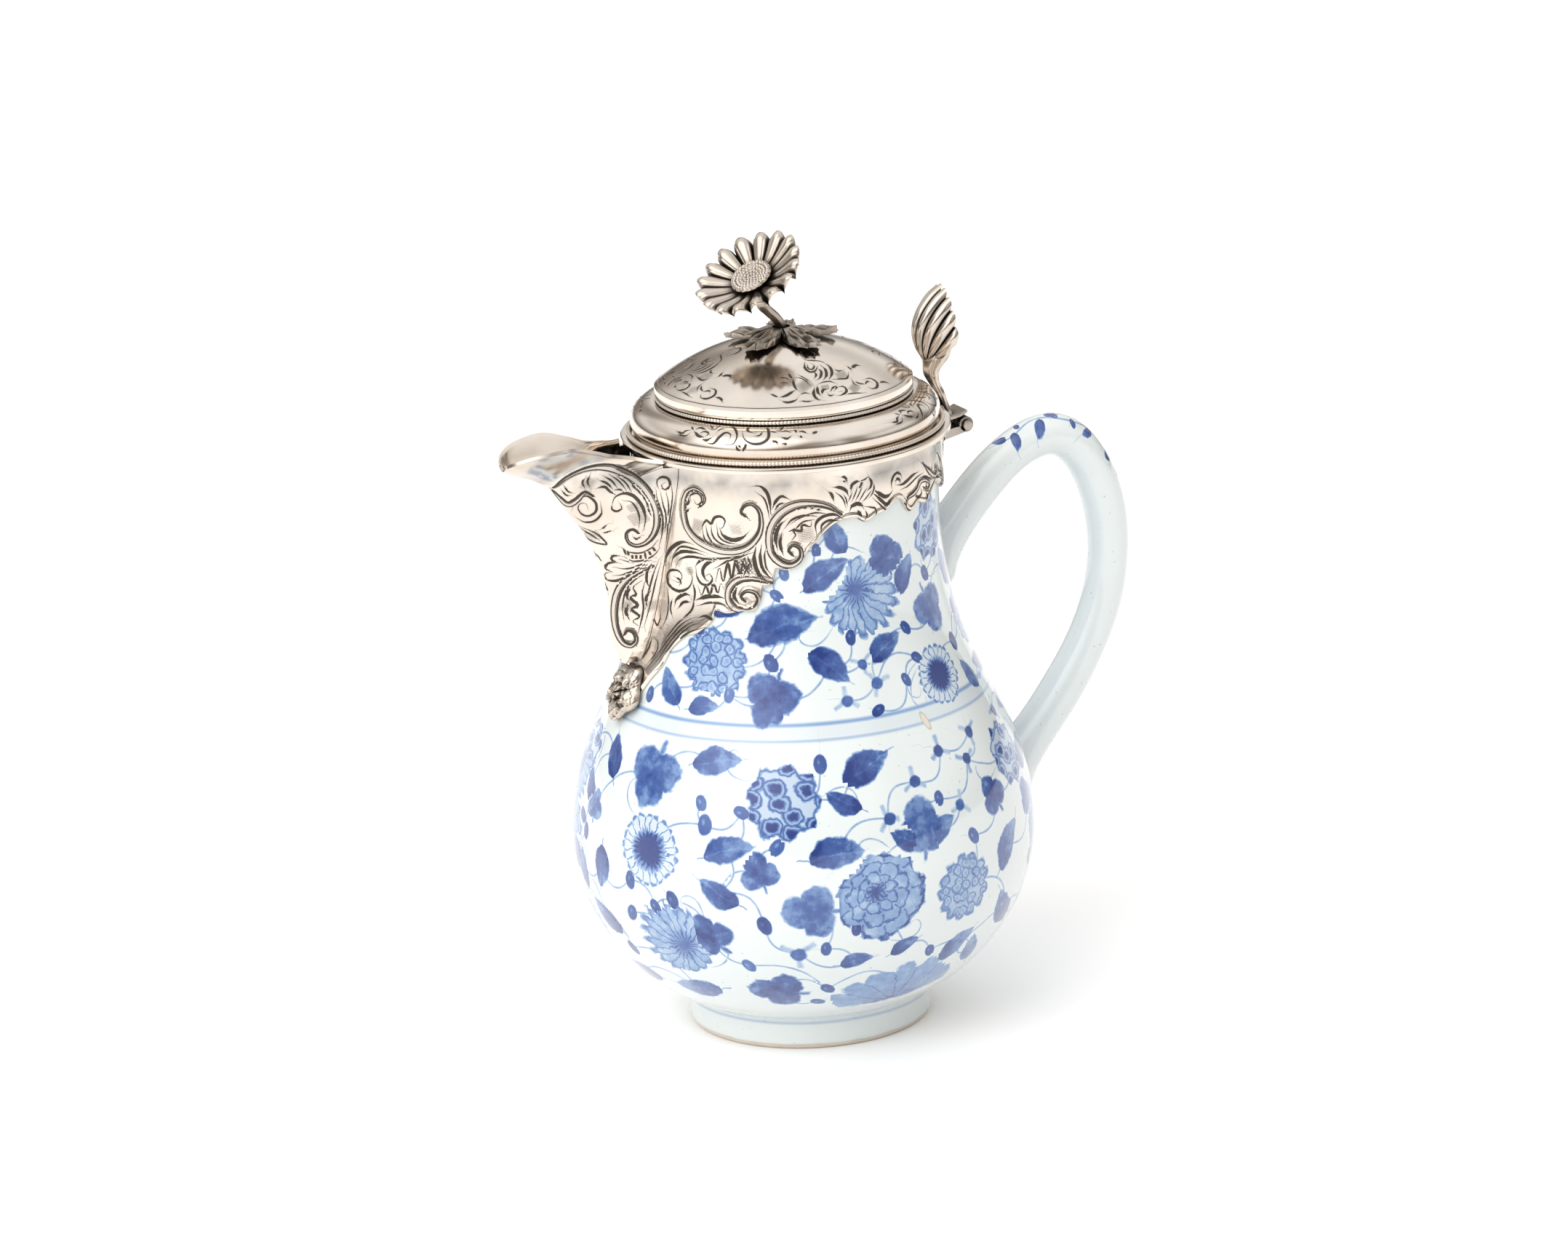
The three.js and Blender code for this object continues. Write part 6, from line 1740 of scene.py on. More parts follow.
class JUG_OT_hinge(bpy.types.Operator):
    """Makes the two leaves, the five knuckles and the pin of the lid hinge"""

    bl_idname = "jug.hinge"
    bl_label = "Lid hinge"

    def execute(self, context):
        knuckle = (HINGE_WIDTH - 4 * KNUCKLE_GAP) / 5
        z, wall_x = HINGE_Z, MOUTH_RADIUS + NECK_GAP + SILVER_SHEET - 0.05
        top, seat, stalk, x = LID["top"], z + 2.5, STALK_X, LEAF_X
        fixed_leaf = [(0, -6), (1.2, -6), (2, -4), (3.2, -2.9), (3.2, -0.4), (1.8, 0.9), (1.2, 2.6), (0, 2.6)]
        fixed_leaf = [(wall_x + a, z + b) for a, b in fixed_leaf]
        fixed_web = [(wall_x + 2.6, z - 3), (HINGE_X - 0.4, z - 1.78), (HINGE_X, z), (wall_x + 2.6, z - 0.6)]
        moving_leaf = [
            (x, LID["low"] - 1.6), (x + 0.8, seat - 0.5), (stalk - 1, seat - 1), (stalk + 2.2, seat - 0.5),
            (stalk + 4.1, seat + 0.4), (stalk + 3.9, seat + 1.1), (stalk + 1.6, seat + 0.1), (stalk - 1.7, seat + 0.1),
            (x + 1.2, top - 1.4), (x + 0.7, top - 0.4), (x, top - 0.4),
        ]
        moving_web = [(HINGE_X - 1.7, z), (HINGE_X, z), (HINGE_X, seat + 0.4), (HINGE_X - 2.5, seat - 0.5)]
        for name, body, node, outline, edge, web, places in (
            ("collar_hinge_leaf", "jug", "hinge_leaf_collar", fixed_leaf, 0.25, fixed_web, (0, 2, 4)),
            ("lid_hinge_leaf", "lid", "hinge_leaf_lid", moving_leaf, 0.18, moving_web, (1, 3)),
        ):
            parts = [plate(name, outline, HINGE_WIDTH, 0, edge)]
            for k in places:
                middle = -HINGE_WIDTH / 2 + knuckle / 2 + k * (knuckle + KNUCKLE_GAP)
                parts.append(rod("knuckle", HINGE_X, z, middle, 1.88, knuckle))
                parts.append(plate("web", web, knuckle, middle, 0.1))
            join_pieces(*parts)
            finish_piece(parts[0], MATERIALS["dark cast"], body, "dark_silver", node)
        pin = rod("hinge_pin_rod", HINGE_X, z, 0, 0.75, HINGE_WIDTH + 1)
        heads = [rod("head", HINGE_X, z, side * (HINGE_WIDTH / 2 + 0.55), 1.2, 0.75) for side in (-1, 1)]
        join_pieces(pin, *heads)
        finish_piece(pin, MATERIALS["dark cast"], "jug", "dark_silver", "hinge_pin")
        return {"FINISHED"}


DOME_RADIUS, DOME_CURVE, OVOLO_RADIUS = 29.9, 48.55, 35.9


def dome_level(r):
    """Level of the dome's face at a distance from the axis."""
    return LID["crown"] - DOME_CURVE + np.sqrt(DOME_CURVE**2 - np.asarray(r, float) ** 2)


def on_dome(degrees, r):
    """Points on the dome at turns and distances from the axis."""
    a = np.radians(degrees)
    return np.stack([r * np.cos(a), r * np.sin(a), dome_level(r)], axis=-1)


def ovolo_point(share):
    """Radius and level on the ovolo, from its foot (0) to its top (1)."""
    centre_r, centre_z = OVOLO_RADIUS - 5.6, LID["ovolo"] + 0.39 * 7.5
    rise = LID["ovolo_top"] - centre_z
    start = -math.asin((centre_z - LID["ovolo"]) / rise)
    a = start + (math.pi / 2 - start) * np.asarray(share, float)
    return centre_r + 5.6 * np.cos(a), np.maximum(LID["ovolo"], centre_z + rise * np.sin(a))


# One spray of the dome and one cartouche of the ovolo. Each is repeated at every quarter of the lid.
DOME_LINES = {
    0.14: [
        (850, 156, 880, 172, 930, 174, 980, 182, 1030, 210), (796, 290, 830, 290, 870, 310, 900, 340),
        (820, 270, 860, 290, 900, 318), (960, 330, 1000, 318, 1040, 316, 1080, 330),
        (1130, 404, 1200, 394, 1270, 392), (1180, 300, 1200, 330, 1240, 350),
    ],
    0.16: [(700, 326, 740, 322, 762, 330), (830, 446, 880, 450, 920, 444), (840, 400, 870, 392, 900, 400)],
    0.2: [
        (930, 252, 942, 270, 934, 292), (1040, 380, 1056, 356, 1080, 352, 1066, 376), (1104, 384, 1120, 378),
        (1272, 332, 1290, 314, 1312, 322), (640, 400, 680, 420), (1020, 396, 1036, 410, 1060, 404),
    ],
    0.22: [(882, 204, 892, 228, 916, 232, 928, 210, 912, 196)],
    0.24: [
        (1064, 232, 1090, 244, 1120, 240), (1060, 300, 1110, 298, 1150, 292, 1160, 262),
        (690, 296, 730, 290, 762, 308), (1206, 318, 1240, 330, 1262, 330),
    ],
    0.26: [(1370, 324, 1400, 318, 1436, 330)],
    0.28: [(950, 226, 976, 252, 970, 286, 950, 304), (1090, 350, 1130, 352, 1146, 380, 1120, 404, 1086, 410)],
    0.3: [
        (850, 150, 842, 120, 862, 104, 900, 106, 936, 124, 930, 150, 900, 146),
        (864, 190, 868, 226, 900, 250, 934, 244, 950, 216), (972, 206, 1004, 236, 1010, 276, 990, 306),
        (1146, 210, 1172, 228, 1180, 240), (756, 262, 770, 284, 784, 296), (786, 296, 790, 330, 804, 360, 824, 380),
        (950, 350, 954, 390, 976, 412), (982, 398, 990, 372, 1016, 368),
        (1270, 300, 1310, 296, 1350, 320, 1352, 352, 1320, 364, 1290, 352), (706, 444, 750, 456, 800, 444, 812, 430),
    ],
    0.34: [
        (1000, 190, 1036, 220, 1048, 260, 1030, 300), (930, 360, 926, 400, 950, 434, 980, 440),
        (700, 420, 740, 410, 790, 380, 806, 374),
    ],
    0.4: [(1184, 226, 1206, 206, 1240, 210)],
}
OVOLO_LINES = {
    0.16: [(104, 620, 112, 640)],
    0.2: [
        (520, 682, 560, 678, 584, 652), (420, 742, 430, 762), (640, 650, 676, 660), (10, 674, 60, 680, 90, 664),
        (280, 650, 300, 636, 330, 632),
    ],
    0.22: [(160, 664, 190, 652, 216, 664, 200, 684)],
    0.24: [(236, 614, 246, 634), (704, 654, 740, 648, 770, 658), (716, 738, 746, 736), (798, 638, 810, 658)],
    0.26: [(826, 684, 850, 690), (0, 650, 40, 662, 66, 646, 100, 640)],
    0.3: [
        (130, 640, 160, 626, 200, 640),
        (210, 622, 250, 640, 300, 612, 360, 612, 398, 640, 408, 690, 380, 736, 330, 742),
        (176, 706, 206, 710, 236, 694), (500, 604, 480, 640, 500, 656, 540, 664), (470, 600, 496, 604),
        (400, 750, 416, 776, 440, 782), (444, 778, 462, 760, 466, 736), (640, 716, 670, 722, 686, 736),
        (690, 612, 710, 622, 704, 640, 676, 644), (704, 690, 744, 700, 774, 684), (820, 656, 850, 652, 882, 664),
    ],
    0.34: [
        (210, 730, 250, 732, 290, 690, 330, 660, 364, 672, 362, 700),
        (560, 624, 600, 620, 622, 650, 616, 700, 570, 732, 510, 734, 460, 704, 444, 660), (916, 664, 948, 654),
    ],
    0.36: [(120, 652, 150, 680, 190, 692)],
}
DOME_GROUNDS = [
    (HATCH, 1112, 270, 1.5, 0, 6), (HATCH, 866, 340, 1.9, 40, 8), (HATCH, 1002, 354, 1.0, 0, 4),
    (HATCH, 1200, 360, 1.5, 30, 6),
]


def off_dome(spots):
    """How far points stand above the dome of the lid."""
    r = np.hypot(spots[..., 0], spots[..., 1])
    return np.maximum(spots[..., 2] - dome_level(np.minimum(r, DOME_RADIUS)), r - DOME_RADIUS)


def off_ovolo(spots):
    """How far points stand off the ovolo of the lid."""
    r, z = ovolo_point(np.linspace(0, 1, 60))
    away = np.hypot(spots[..., 0], spots[..., 1]) - np.interp(spots[..., 2], z, r)
    return np.where((spots[..., 2] < LID["ovolo"]) | (spots[..., 2] > LID["ovolo_top"]), 50.0, away)


class JUG_OT_lid(bpy.types.Operator):
    """Turns the flange, bezel, ovolo and dome of the lid and engraves the ovolo and dome"""

    bl_idname = "jug.lid"
    bl_label = "Silver lid"

    def execute(self, context):
        sides = context.scene.jug_sizes.lid_sides
        low, top = LID["low"] - 0.12, LID["top"]
        flange = turned("lid_plate", [
            (31, low), (37.8, low), (38.1, low + 0.08), (38.28, low + 0.3), (38.3, low + 0.5), (38.3, top - 0.5),
            (38.22, top - 0.2), (38, top - 0.02), (37.7, top), (31, top), (31, low),
        ], sides)
        finish_piece(flange, MATERIALS["plain"], "lid", "silver", "lid_flange")
        edge = LID["low"] - 0.1
        bezel = turned("lid_bezel_ring", [
            (32.4, edge), (33.2, edge), (33.2, edge - 2.5), (33.05, edge - 2.78), (32.8, edge - 2.85),
            (32.55, edge - 2.78), (32.4, edge - 2.5), (32.4, edge),
        ], sides)
        finish_piece(bezel, MATERIALS["plain"], "lid", "silver", "lid_bezel")
        foot = LID["top"] + 0.02
        r, z = ovolo_point(np.linspace(0, 1, 40))
        outside = [(r[0], foot), *zip(r[1:], z[1:])]
        inside = [
            (min(a, 34.9) - 0.9 * max(0.2, (a - 30.3) / 5.6), max(b - 0.9, foot))
            for a, b in zip(*ovolo_point(np.linspace(1, 0, 14)))
        ]
        shoulder = [(27, LID["ovolo_top"]), (27, LID["ovolo_top"] - 0.9)]
        ovolo = turned("lid_ovolo_shell", [*outside, *shoulder, *inside, outside[0]], sides)
        turns = [quarter_turn(k) for k in range(4)]

        def on_ovolo(points, sheet):
            return carried(points, sheet, off_ovolo)

        def on_top(points, sheet):
            return carried(points, sheet, off_dome)

        def directions(p, turn, copy):
            a = math.atan2(p[1], p[0]) + turn
            return (-math.sin(a), math.cos(a), 0), (math.cos(a), math.sin(a), -0.5)

        def dome_face(p, n):
            return (n[:, 2] > 0.2) | ((p[:, 2] < LID["rim"] + 0.5) & ((n * p * (1, 1, 0)).sum(1) > 0))

        strokes = drawn_strokes(OVOLO_LINES, LID_SHEET, on_ovolo, 0.78, turns)
        draw_on(ovolo, strokes, [], lambda p, n: (p[:, 2] < 150.68) & ((n * p).sum(1) > 0))
        finish_piece(ovolo, MATERIALS["engraved"], "lid", "silver", "lid_ovolo")
        base = LID["dome"]
        radii, under = np.linspace(DOME_RADIUS, 1.6, 72), np.linspace(1.6, DOME_RADIUS - 0.9, 16)
        rim = [(27.9, -0.25), (28.75, -0.25), (28.8, 0.8), (29.3, 0.95), (29.75, 1.05), (29.92, 1.4), (29.98, 2.0)]
        rim = [(a, base + b) for a, b in rim] + [(29.92, LID["rim"] - 0.5)]
        dome = turned("lid_dome_shell", [
            *rim, *zip(radii, dome_level(radii)), *zip(under, dome_level(under) - 0.9),
            (28.1, base + 1.6), (27.9, base + 1), rim[0],
        ], sides)
        strokes = [Stroke(on_dome(np.arange(0, 361, 1.0), np.full(361, 29.0)), 0.09, ends=False)]
        strokes += drawn_strokes(DOME_LINES, LID_SHEET, on_top, 0.82, turns)
        grounds = hatched_grounds(DOME_GROUNDS, LID_SHEET, on_top, directions, turns)
        draw_on(dome, strokes, grounds, dome_face)
        finish_piece(dome, MATERIALS["engraved"], "lid", "silver", "lid_dome")
        return {"FINISHED"}


class JUG_OT_wires(bpy.types.Operator):
    """Makes the two milled wires of the lid, bead by bead"""

    bl_idname = "jug.wires"
    bl_label = "Milled wires"

    def execute(self, context):
        pitch = context.scene.jug_sizes.bead_pitch / MM
        for name, node, radius, bottom, width in (
            ("milled_wire_low", "lower_milled_wire", 36.35, LID["ovolo"] - 0.25, 1.2),
            ("milled_wire_high", "upper_milled_wire", 29.45, LID["dome"] - 0.2, 1.05),
        ):
            count = int(round(TURN * radius / pitch))
            around = np.arange(count * 6) / (count * 6) * TURN
            bead = 0.78 + 0.22 * np.abs(np.sin(around * count / 2)) ** 0.7
            turn = np.arange(12) / 12 * TURN
            half = width / 2 * bead[:, None]
            r = radius + half * np.cos(turn)
            z = bottom + width / 2 + half * np.sin(turn)
            points = np.stack([r * np.cos(around)[:, None], r * np.sin(around)[:, None], z + 0 * r], 2)
            wire = new_piece(name, points.reshape(-1, 3), grid_faces(len(around), 12, True, True))
            tidy(wire, angle=70)
            finish_piece(wire, MATERIALS["wire"], "lid", "silver", node)
        return {"FINISHED"}


class JUG_OT_thumbpiece(bpy.types.Operator):
    """Models the scallop shell thumbpiece on its curved stalk"""

    bl_idname = "jug.thumbpiece"
    bl_label = "Shell thumbpiece"

    def execute(self, context):
        height, half_width, spread_angle, flutes = 18.9, 7.4, math.radians(88), 9
        foot = np.array([STALK_X, HINGE_Z + 2.6])
        base = np.array([foot[0] - 4.2, 0, foot[1] + 12.2])
        columns, rows = flutes * 22, 40
        a = np.linspace(0, 1, columns + 1)
        phi = -spread_angle + 2 * spread_angle * a
        ridge = 1 - 2 * np.abs(np.sin(a * flutes * math.pi)) ** 0.55
        edge_level = base[2] + height * (0.3 + 0.7 * np.cos(phi))
        edge = np.stack([base[0] + 4.8 - 0.5 * np.cos(phi), half_width * np.sin(phi), edge_level], 1)
        bulge = np.stack([-4.6 * np.cos(phi) ** 2 - 0.6, 1.6 * np.sin(phi), 0 * phi], 1)
        control = (base + edge) / 2 + 2 * bulge
        out = np.stack([-np.cos(phi), np.sin(phi), 0.2 + 0 * phi], 1)
        out /= np.linalg.norm(out, axis=1, keepdims=True)
        grid = []
        for t in np.linspace(0, 1, rows):
            s = (0.06 + (0.965 - 0.035 * ridge - 0.06) * t)[:, None]
            p = (1 - s) ** 2 * base + 2 * (1 - s) * s * control + s**2 * edge
            curl = 0.5 * np.clip((s - 0.86) / 0.12, 0, 1) ** 2
            grid.append(p + out * (-0.62 * ridge[:, None] * np.sqrt(s)) - out * curl)
        grid = np.array(grid).transpose(1, 0, 2)
        back = grid_normals(grid)
        if back[len(back) // 2, rows // 2, 0] < 0:
            back = -back
        thick = 1.2 - 0.5 * np.linspace(0, 1, rows)[None, :, None] ** 3
        shell = sheet_piece("shell", grid, grid + back * thick, angle=60)
        # Rings of the stalk: shift and rise from its foot, width, depth and lean.
        rings = [
            (0, 0, 5.2, 3.0, 0), (-0.05, 0.4, 4.6, 2.7, 0.05), (-0.1, 1, 3.6, 2.4, 0.1), (-0.7, 3, 3.2, 2.1, 0.2),
            (-1.4, 5, 3.3, 2.2, 0.3), (-2.2, 6.8, 3.1, 2.2, 0.32), (-2.9, 8.4, 3.6, 2.6, 0.3),
            (-3.3, 9.6, 4.6, 3.2, 0.1), (-3.4, 11, 5.0, 3.8, 0), (-3.0, 12.4, 6.4, 4.6, -0.1),
            (-2.4, 13.8, 8.0, 5.6, -0.1), (-1.6, 15.2, 8.4, 5.4, -0.1), (-1.2, 16.4, 8.0, 4.8, -0.1),
            (-0.8, 17.4, 6.0, 3.8, -0.1), (-0.6, 18, 4.2, 2.8, -0.1),
        ]
        rings = curve_through(rings, 4)
        turn = np.arange(48) / 48 * TURN
        sections, centres = [], []
        for dx, dz, width, depth, lean in rings:
            groove = 1 + 0.05 * np.cos(turn * 8) * min(1, dz / 4)
            c = np.array([foot[0] + dx, 0, foot[1] + dz])
            x = c[0] + depth / 2 * groove * np.cos(turn) * math.cos(lean)
            z = c[2] + depth / 2 * groove * np.cos(turn) * math.sin(lean)
            sections.append(np.stack([x, width / 2 * groove * np.sin(turn), z], 1))
            centres.append(c)
        stalk = tube_piece("stalk", centres, np.array(sections), angle=50)
        thumb = join_pieces(shell, stalk)
        thumb.name = "shell_thumbpiece"
        finish_piece(thumb, MATERIALS["cast"], "lid", "dark_silver", "thumbpiece")
        return {"FINISHED"}


FLOWER_HEADING, FLOWER_TILT = math.radians(200), math.radians(57)
FLOWER_REACH, FLOWER_RISE = 9, 15.9


def flower_place(grid, lift):
    """Carries a grid of points made round +Z to the flower's place and lean."""
    heading = np.array([math.cos(FLOWER_HEADING), math.sin(FLOWER_HEADING), 0])
    normal = heading * math.cos(FLOWER_TILT) + np.array([0, 0, math.sin(FLOWER_TILT)])
    centre = heading * FLOWER_REACH + np.array([0, 0, LID["crown"] + FLOWER_RISE]) + normal * lift
    turn = np.array(Vector((0, 0, 1)).rotation_difference(Vector(normal)).to_matrix())
    return (grid.reshape(-1, 3) @ turn.T + centre).reshape(grid.shape)


def around_axis(r, angle, level):
    """A grid of points from distances, angles and levels about an upright axis."""
    return np.stack([r * np.cos(angle), r * np.sin(angle), level + 0 * r], 2)


class JUG_OT_finial(bpy.types.Operator):
    """Models the five leaves, the bent stem, the flower, its seed disc and the nut"""

    bl_idname = "jug.finial"
    bl_label = "Flower finial"

    def execute(self, context):
        petals, radius = 16, 13.3
        around, rows = petals * 30, 36
        a = np.arange(around)[:, None] / around
        s = np.linspace(0, 1, rows)[None, :]
        wave = np.abs(np.cos(a * petals * math.pi + 0.15 * np.sin(a * TURN * 3)))
        lobe = wave**0.55
        rim = radius * (0.845 + 0.14 * lobe + 0.015 * np.sin(a * TURN * 5 + 1))
        r = 1.6 + (rim - 1.6) * s
        ribs = -0.3 * np.exp(-(((wave - 0.66) / 0.1) ** 2)) * s * (1 - 0.6 * s)
        curl = 1.3 * np.clip((s - 0.8) / 0.2, 0, 1) ** 2
        groove = 0.5 * np.exp(-((wave / 0.12) ** 2)) * np.sqrt(s)
        dish = 4.6 * (r / radius) ** 1.8 + 1.9 * (lobe - 0.6) * s**0.8 + ribs - curl - groove
        face = flower_place(around_axis(r, a * TURN, dish), -2.0)
        back = flower_place(around_axis(r, a * TURN, dish - 0.9 + 0.35 * s**2), -2.0)
        flower = sheet_piece("silver_flower", face, back, round_rows=True, angle=65)
        finish_piece(flower, MATERIALS["cast"], "lid", "dark_silver", "finial_flower")
        seed_r = 5.0
        dished = 4.4 * (seed_r / radius) ** 1.8 + 0.6
        sr = np.linspace(0.02, 1, 56)[None, :]
        sa = np.arange(168)[:, None] / 168 * TURN
        top = 0.5 + 1.2 * np.sqrt(1 - sr**2) + dished * sr**2
        ring = np.round(sr * 6)
        count = np.maximum(1, ring * 6)
        seed = np.cos(np.clip((sr * 6 - ring) * 2, -1, 1) * math.pi / 2) * np.abs(np.cos(sa * count / 2)) ** 0.8
        top = top + 0.5 * seed * (sr < 0.97) - 0.2
        upper = flower_place(around_axis(seed_r * sr + 0 * sa, sa, top), -1.7)
        lower = flower_place(around_axis(seed_r * sr + 0 * sa, sa, 0.1 + dished * sr**2), -1.7)
        disc = sheet_piece("seed_disc", upper, lower, round_rows=True, angle=80)
        finish_piece(disc, MATERIALS["wire"], "lid", "dark_silver", "finial_seed_disc")
        end = flower_place(np.zeros((1, 3)), -2.0)[0]
        normal = flower_place(np.zeros((1, 3)), -1.0)[0] - end
        head = np.array([math.cos(FLOWER_HEADING), math.sin(FLOWER_HEADING), 0])
        crown = LID["crown"]
        bends = [head * reach + (0, 0, crown + rise) for reach, rise in ((0, -3.4), (0, 1.8), (1.4, 4.4), (5.6, 8.4))]
        path = curve_through([*bends, end - 3 * normal, end], 14)
        along = np.gradient(path, axis=0)
        along /= np.linalg.norm(along, axis=1, keepdims=True)
        side = np.cross(along, (-head[1], head[0], 0))
        side /= np.linalg.norm(side, axis=1, keepdims=True)
        other = np.cross(along, side)
        turn = np.arange(28) / 28 * TURN
        grow = 1.22 + 0.3 * np.clip(1 - np.abs(np.linspace(0, 1, len(path)) - 0.62) / 0.08, 0, 1)
        flute = 1 + 0.05 * np.cos(turn * 6)
        wide, deep = (grow[:, None] * wave(turn) * flute for wave in (np.cos, np.sin))
        sections = path[:, None, :] + wide[..., None] * side[:, None, :] + deep[..., None] * other[:, None, :]
        stem = tube_piece("silver_stem", [path[0], path[-1]], sections, angle=50)
        finish_piece(stem, MATERIALS["dark cast"], "lid", "dark_silver", "finial_stem")
        around, rows, tip, eye = 5 * 120, 40, 14, 2.1
        a = np.arange(around)[:, None] / around
        s = np.linspace(0, 1, rows)[None, :]
        lobe = np.abs(np.cos(a * TURN * 2.5)) ** 1.1
        teeth = 1 - 0.11 * np.abs(np.sin(a * TURN * 22.5 + 0.6 * np.sin(a * TURN * 4))) * (lobe > 0.2)
        r = eye + (1.6 + (tip - eye - 1.6) * lobe * teeth) * s
        angle = a * TURN + math.radians(65)
        hump = 1.3 * np.exp(-(((r - eye) / 3) ** 2))
        lift = 0.12 + 1.6 * (r / tip) ** 3
        veins = 0.34 * np.cos(a * TURN * 22.5 - 3 * s) * np.clip(s * 1.6, 0, 1)
        veins = veins - 0.5 * np.exp(-((lobe - 1) / 0.02) ** 2) * s
        ripple = 0.55 * np.sin(s * 11 + 3 * np.sin(a * TURN * 5) + a * TURN) * s * lobe
        low = dome_level(r) + lift
        high = low + 0.9 + hump + veins + ripple
        leaf_top = around_axis(r, angle, np.minimum(high, crown + 2.8))
        leaf_low = around_axis(r, angle, low)
        leaves = sheet_piece("silver_leaves", leaf_top, leaf_low, round_rows=True, angle=60)
        finish_piece(leaves, MATERIALS["dark cast"], "lid", "dark_silver", "finial_leaves")
        outline = [(1.3, -2.5), (2.4, -2.5), (2.9, -2.3), (3.7, -1.4), (3.7, -1.2), (1.3, -1.2), (1.3, -2.5)]
        nut = turned("silver_nut", [(r, crown + z) for r, z in outline], 48)
        finish_piece(nut, MATERIALS["plain"], "lid", "silver", "finial_nut")
        return {"FINISHED"}


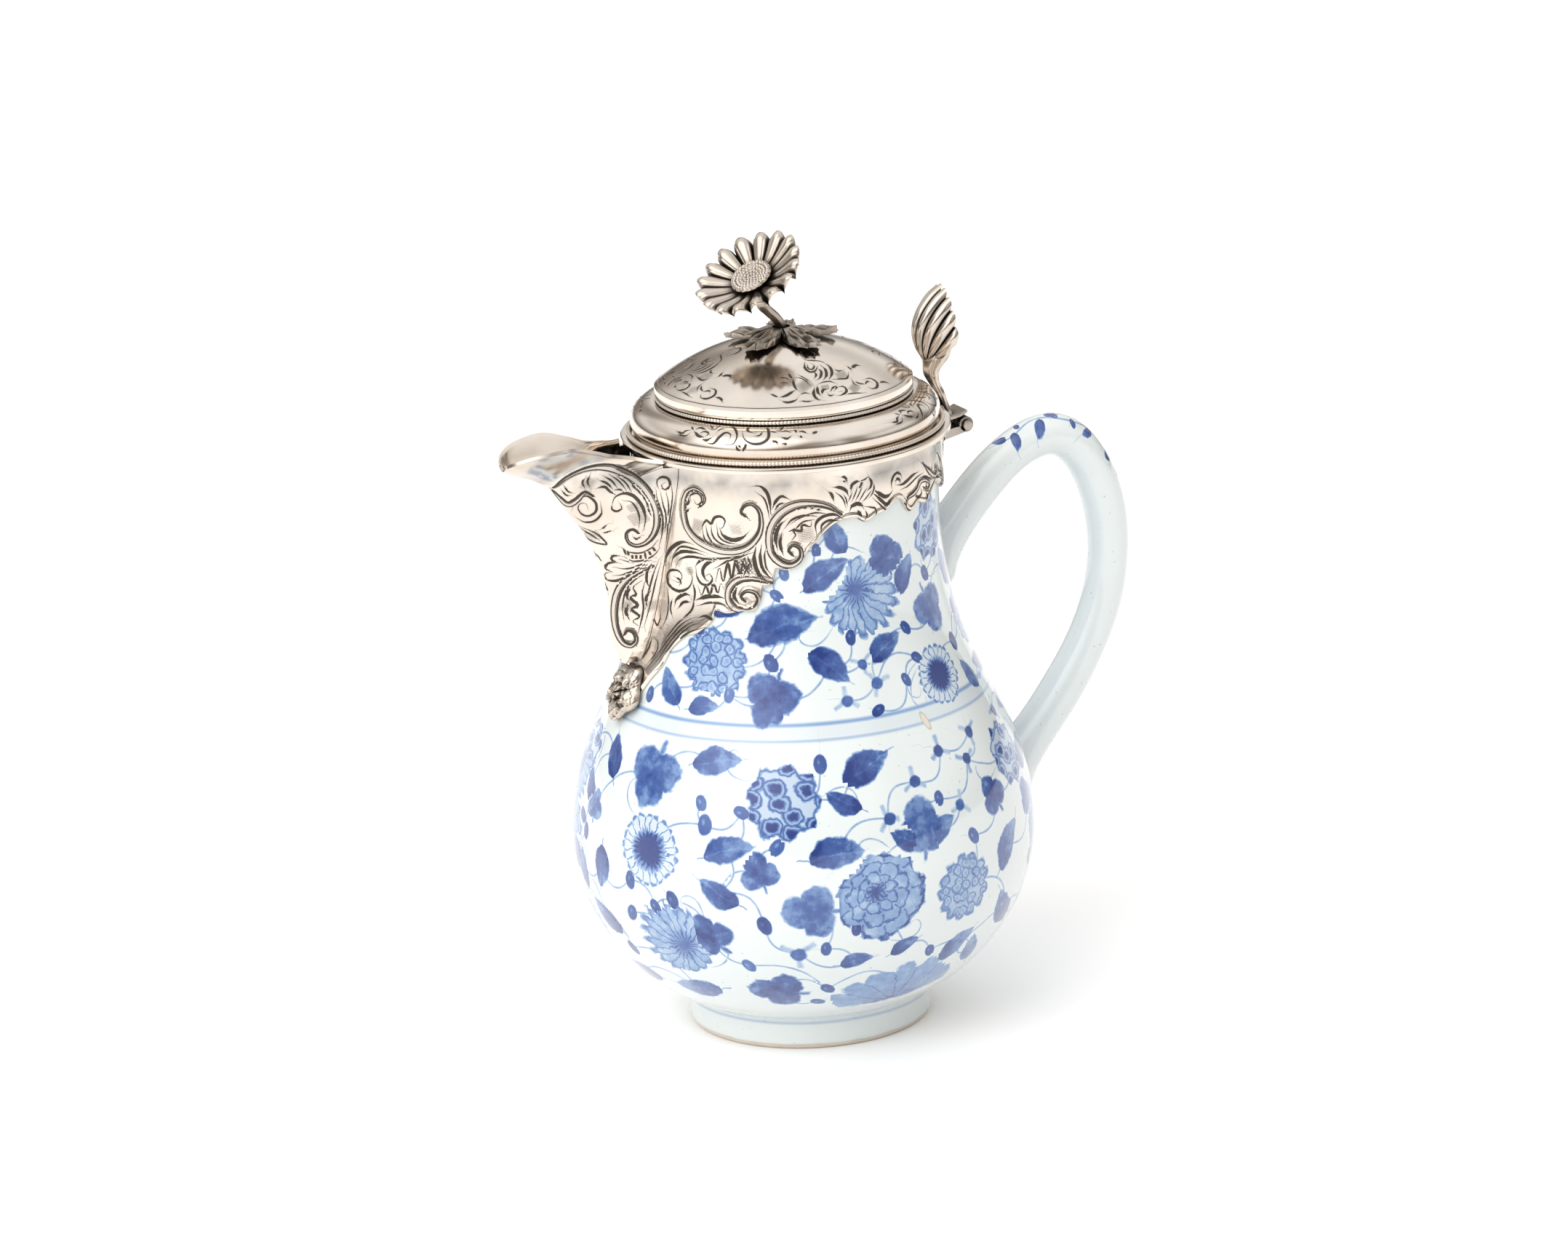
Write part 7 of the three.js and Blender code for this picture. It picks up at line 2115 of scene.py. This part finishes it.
class JUG_OT_stage(bpy.types.Operator):
    """Sets up the camera, the pale floor and the soft studio light"""

    bl_idname = "jug.stage"
    bl_label = "Stage"

    def execute(self, context):
        scene = context.scene
        scene.view_settings.view_transform = "Standard"
        camera = bpy.data.cameras.new("photo camera")
        camera.lens, camera.sensor_width, camera.sensor_fit = LENS, SENSOR, "HORIZONTAL"
        camera.shift_x, camera.shift_y = SHIFT_X, SHIFT_Y
        camera.clip_start, camera.clip_end = 0.1, 60
        eye = bpy.data.objects.new("photo camera", camera)
        scene.collection.objects.link(eye)
        eye.location = EYE
        eye.rotation_euler = EYE_TURN.to_euler()
        scene.camera = eye
        clear_selection()
        bpy.ops.mesh.primitive_plane_add(size=14, location=(0, 0, 0))
        floor = bpy.context.object
        floor.name = "pale_floor"
        made, tree, shader, place = material("pale paper")
        tone = blend_colours(tree, noise(tree, place, 3, 2), (0.93, 0.93, 0.93), (0.945, 0.945, 0.945))
        tree.links.new(tone, shader.inputs["Base Color"])
        shader.inputs["Roughness"].default_value = 0.9
        shader.inputs["Specular IOR Level"].default_value = 0.0
        bump(tree, shader, noise(tree, place, 900, 3), 0.0001, 0.1)
        path = tree.nodes.new("ShaderNodeLightPath")
        looked_at = Value(tree, path.outputs["Is Camera Ray"]) + Value(tree, path.outputs["Is Glossy Ray"])
        shader.inputs["Emission Color"].default_value = (1, 1, 1, 1)
        plug(tree, looked_at * 0.11, shader.inputs["Emission Strength"])
        floor.data.materials.append(made)
        world = bpy.data.worlds.new("studio")
        scene.world = world
        world.use_nodes = True
        tree = world.node_tree
        x, y, z = split(tree, tree.nodes.new("ShaderNodeTexCoord").outputs["Generated"])
        ramp = tree.nodes.new("ShaderNodeValToRGB")
        ramp.color_ramp.interpolation = "EASE"
        stops = ramp.color_ramp.elements
        stops[0].position, stops[0].color = 0.5, (0.16, 0.13, 0.11, 1)
        stops[1].position, stops[1].color = 1.0, (1.35, 1.35, 1.35, 1)
        for spot, shade in ((0.53, 0.2), (0.565, 0.62), (0.64, 1.15), (0.74, 0.9), (0.85, 1.3)):
            stops.new(spot).color = (shade, shade * 0.985, shade * 0.965, 1)
        plug(tree, z * 0.5 + 0.5, ramp.inputs[0])
        facing = x * -0.41 + y * -0.89 + z * 0.2
        room = 1.0 - facing.under(0.86, 0.12)
        flags = ((x.sum("ARCTAN2", y) * 5.0 + 0.9).sum("SINE") * 1.6 - 0.5).clip()
        dark = (room * 0.8).top(flags * z.under(0.6, 0.2) * 0.72)
        plain = blend_colours(tree, dark, ramp.outputs[0], (0.15, 0.105, 0.065))
        window = x * -0.66 + y * -0.37 + z * 0.65
        plain = blend_colours(tree, 1.0 - window.under(0.86, 0.12), plain, (3.0, 2.95, 2.88))
        tree.links.new(plain, tree.nodes["Background"].inputs["Color"])
        tree.nodes["Background"].inputs["Strength"].default_value = 0.74
        for name, place_at, size, power, colour in (
            ("big soft box left", (-1.35, -0.75, 1.4), 1.4, 11, (1, 0.985, 0.96)),
            ("soft box behind", (0.1, 1.6, 1.2), 1.3, 6, (1, 1, 1)),
        ):
            light = bpy.data.lights.new(name, "AREA")
            light.size, light.energy, light.color = size, power, colour
            lamp = bpy.data.objects.new(name, light)
            scene.collection.objects.link(lamp)
            lamp.location = place_at
            lamp.visible_glossy = False
            lamp.rotation_euler = (Vector((0, 0, 0.08)) - Vector(place_at)).to_track_quat("-Z", "Y").to_euler()
        return {"FINISHED"}


OPERATORS = (
    JUG_OT_stage, JUG_OT_body, JUG_OT_handle, JUG_OT_collar, JUG_OT_spout, JUG_OT_drop, JUG_OT_hinge, JUG_OT_lid,
    JUG_OT_wires, JUG_OT_thumbpiece, JUG_OT_finial,
)


class JUG_PT_panel(bpy.types.Panel):
    """Lists the pieces of the jug and their sizes"""

    bl_idname = "JUG_PT_panel"
    bl_label = "Porcelain jug"
    bl_space_type = "VIEW_3D"
    bl_region_type = "UI"
    bl_category = "Jug"

    def draw(self, context):
        column = self.layout.column(align=True)
        for operator in OPERATORS:
            column.operator(operator.bl_idname)
        for settings in (context.scene.jug_sizes, context.scene.jug_finish):
            for name in settings.__annotations__:
                column.prop(settings, name)


CLASSES = (JugSizes, JugFinish, *OPERATORS, JUG_PT_panel)


def register():
    for item in CLASSES:
        bpy.utils.register_class(item)
    bpy.types.Scene.jug_sizes = bpy.props.PointerProperty(type=JugSizes)
    bpy.types.Scene.jug_finish = bpy.props.PointerProperty(type=JugFinish)


def unregister():
    del bpy.types.Scene.jug_finish
    del bpy.types.Scene.jug_sizes
    for item in reversed(CLASSES):
        bpy.utils.unregister_class(item)


def main():
    register()
    make_materials()
    bpy.ops.jug.stage()
    bpy.ops.jug.body()
    bpy.ops.jug.handle()
    bpy.ops.jug.collar()
    bpy.ops.jug.spout()
    bpy.ops.jug.drop()
    bpy.ops.jug.hinge()
    bpy.ops.jug.lid()
    bpy.ops.jug.wires()
    bpy.ops.jug.thumbpiece()
    bpy.ops.jug.finial()


if __name__ == "__main__":
    main()
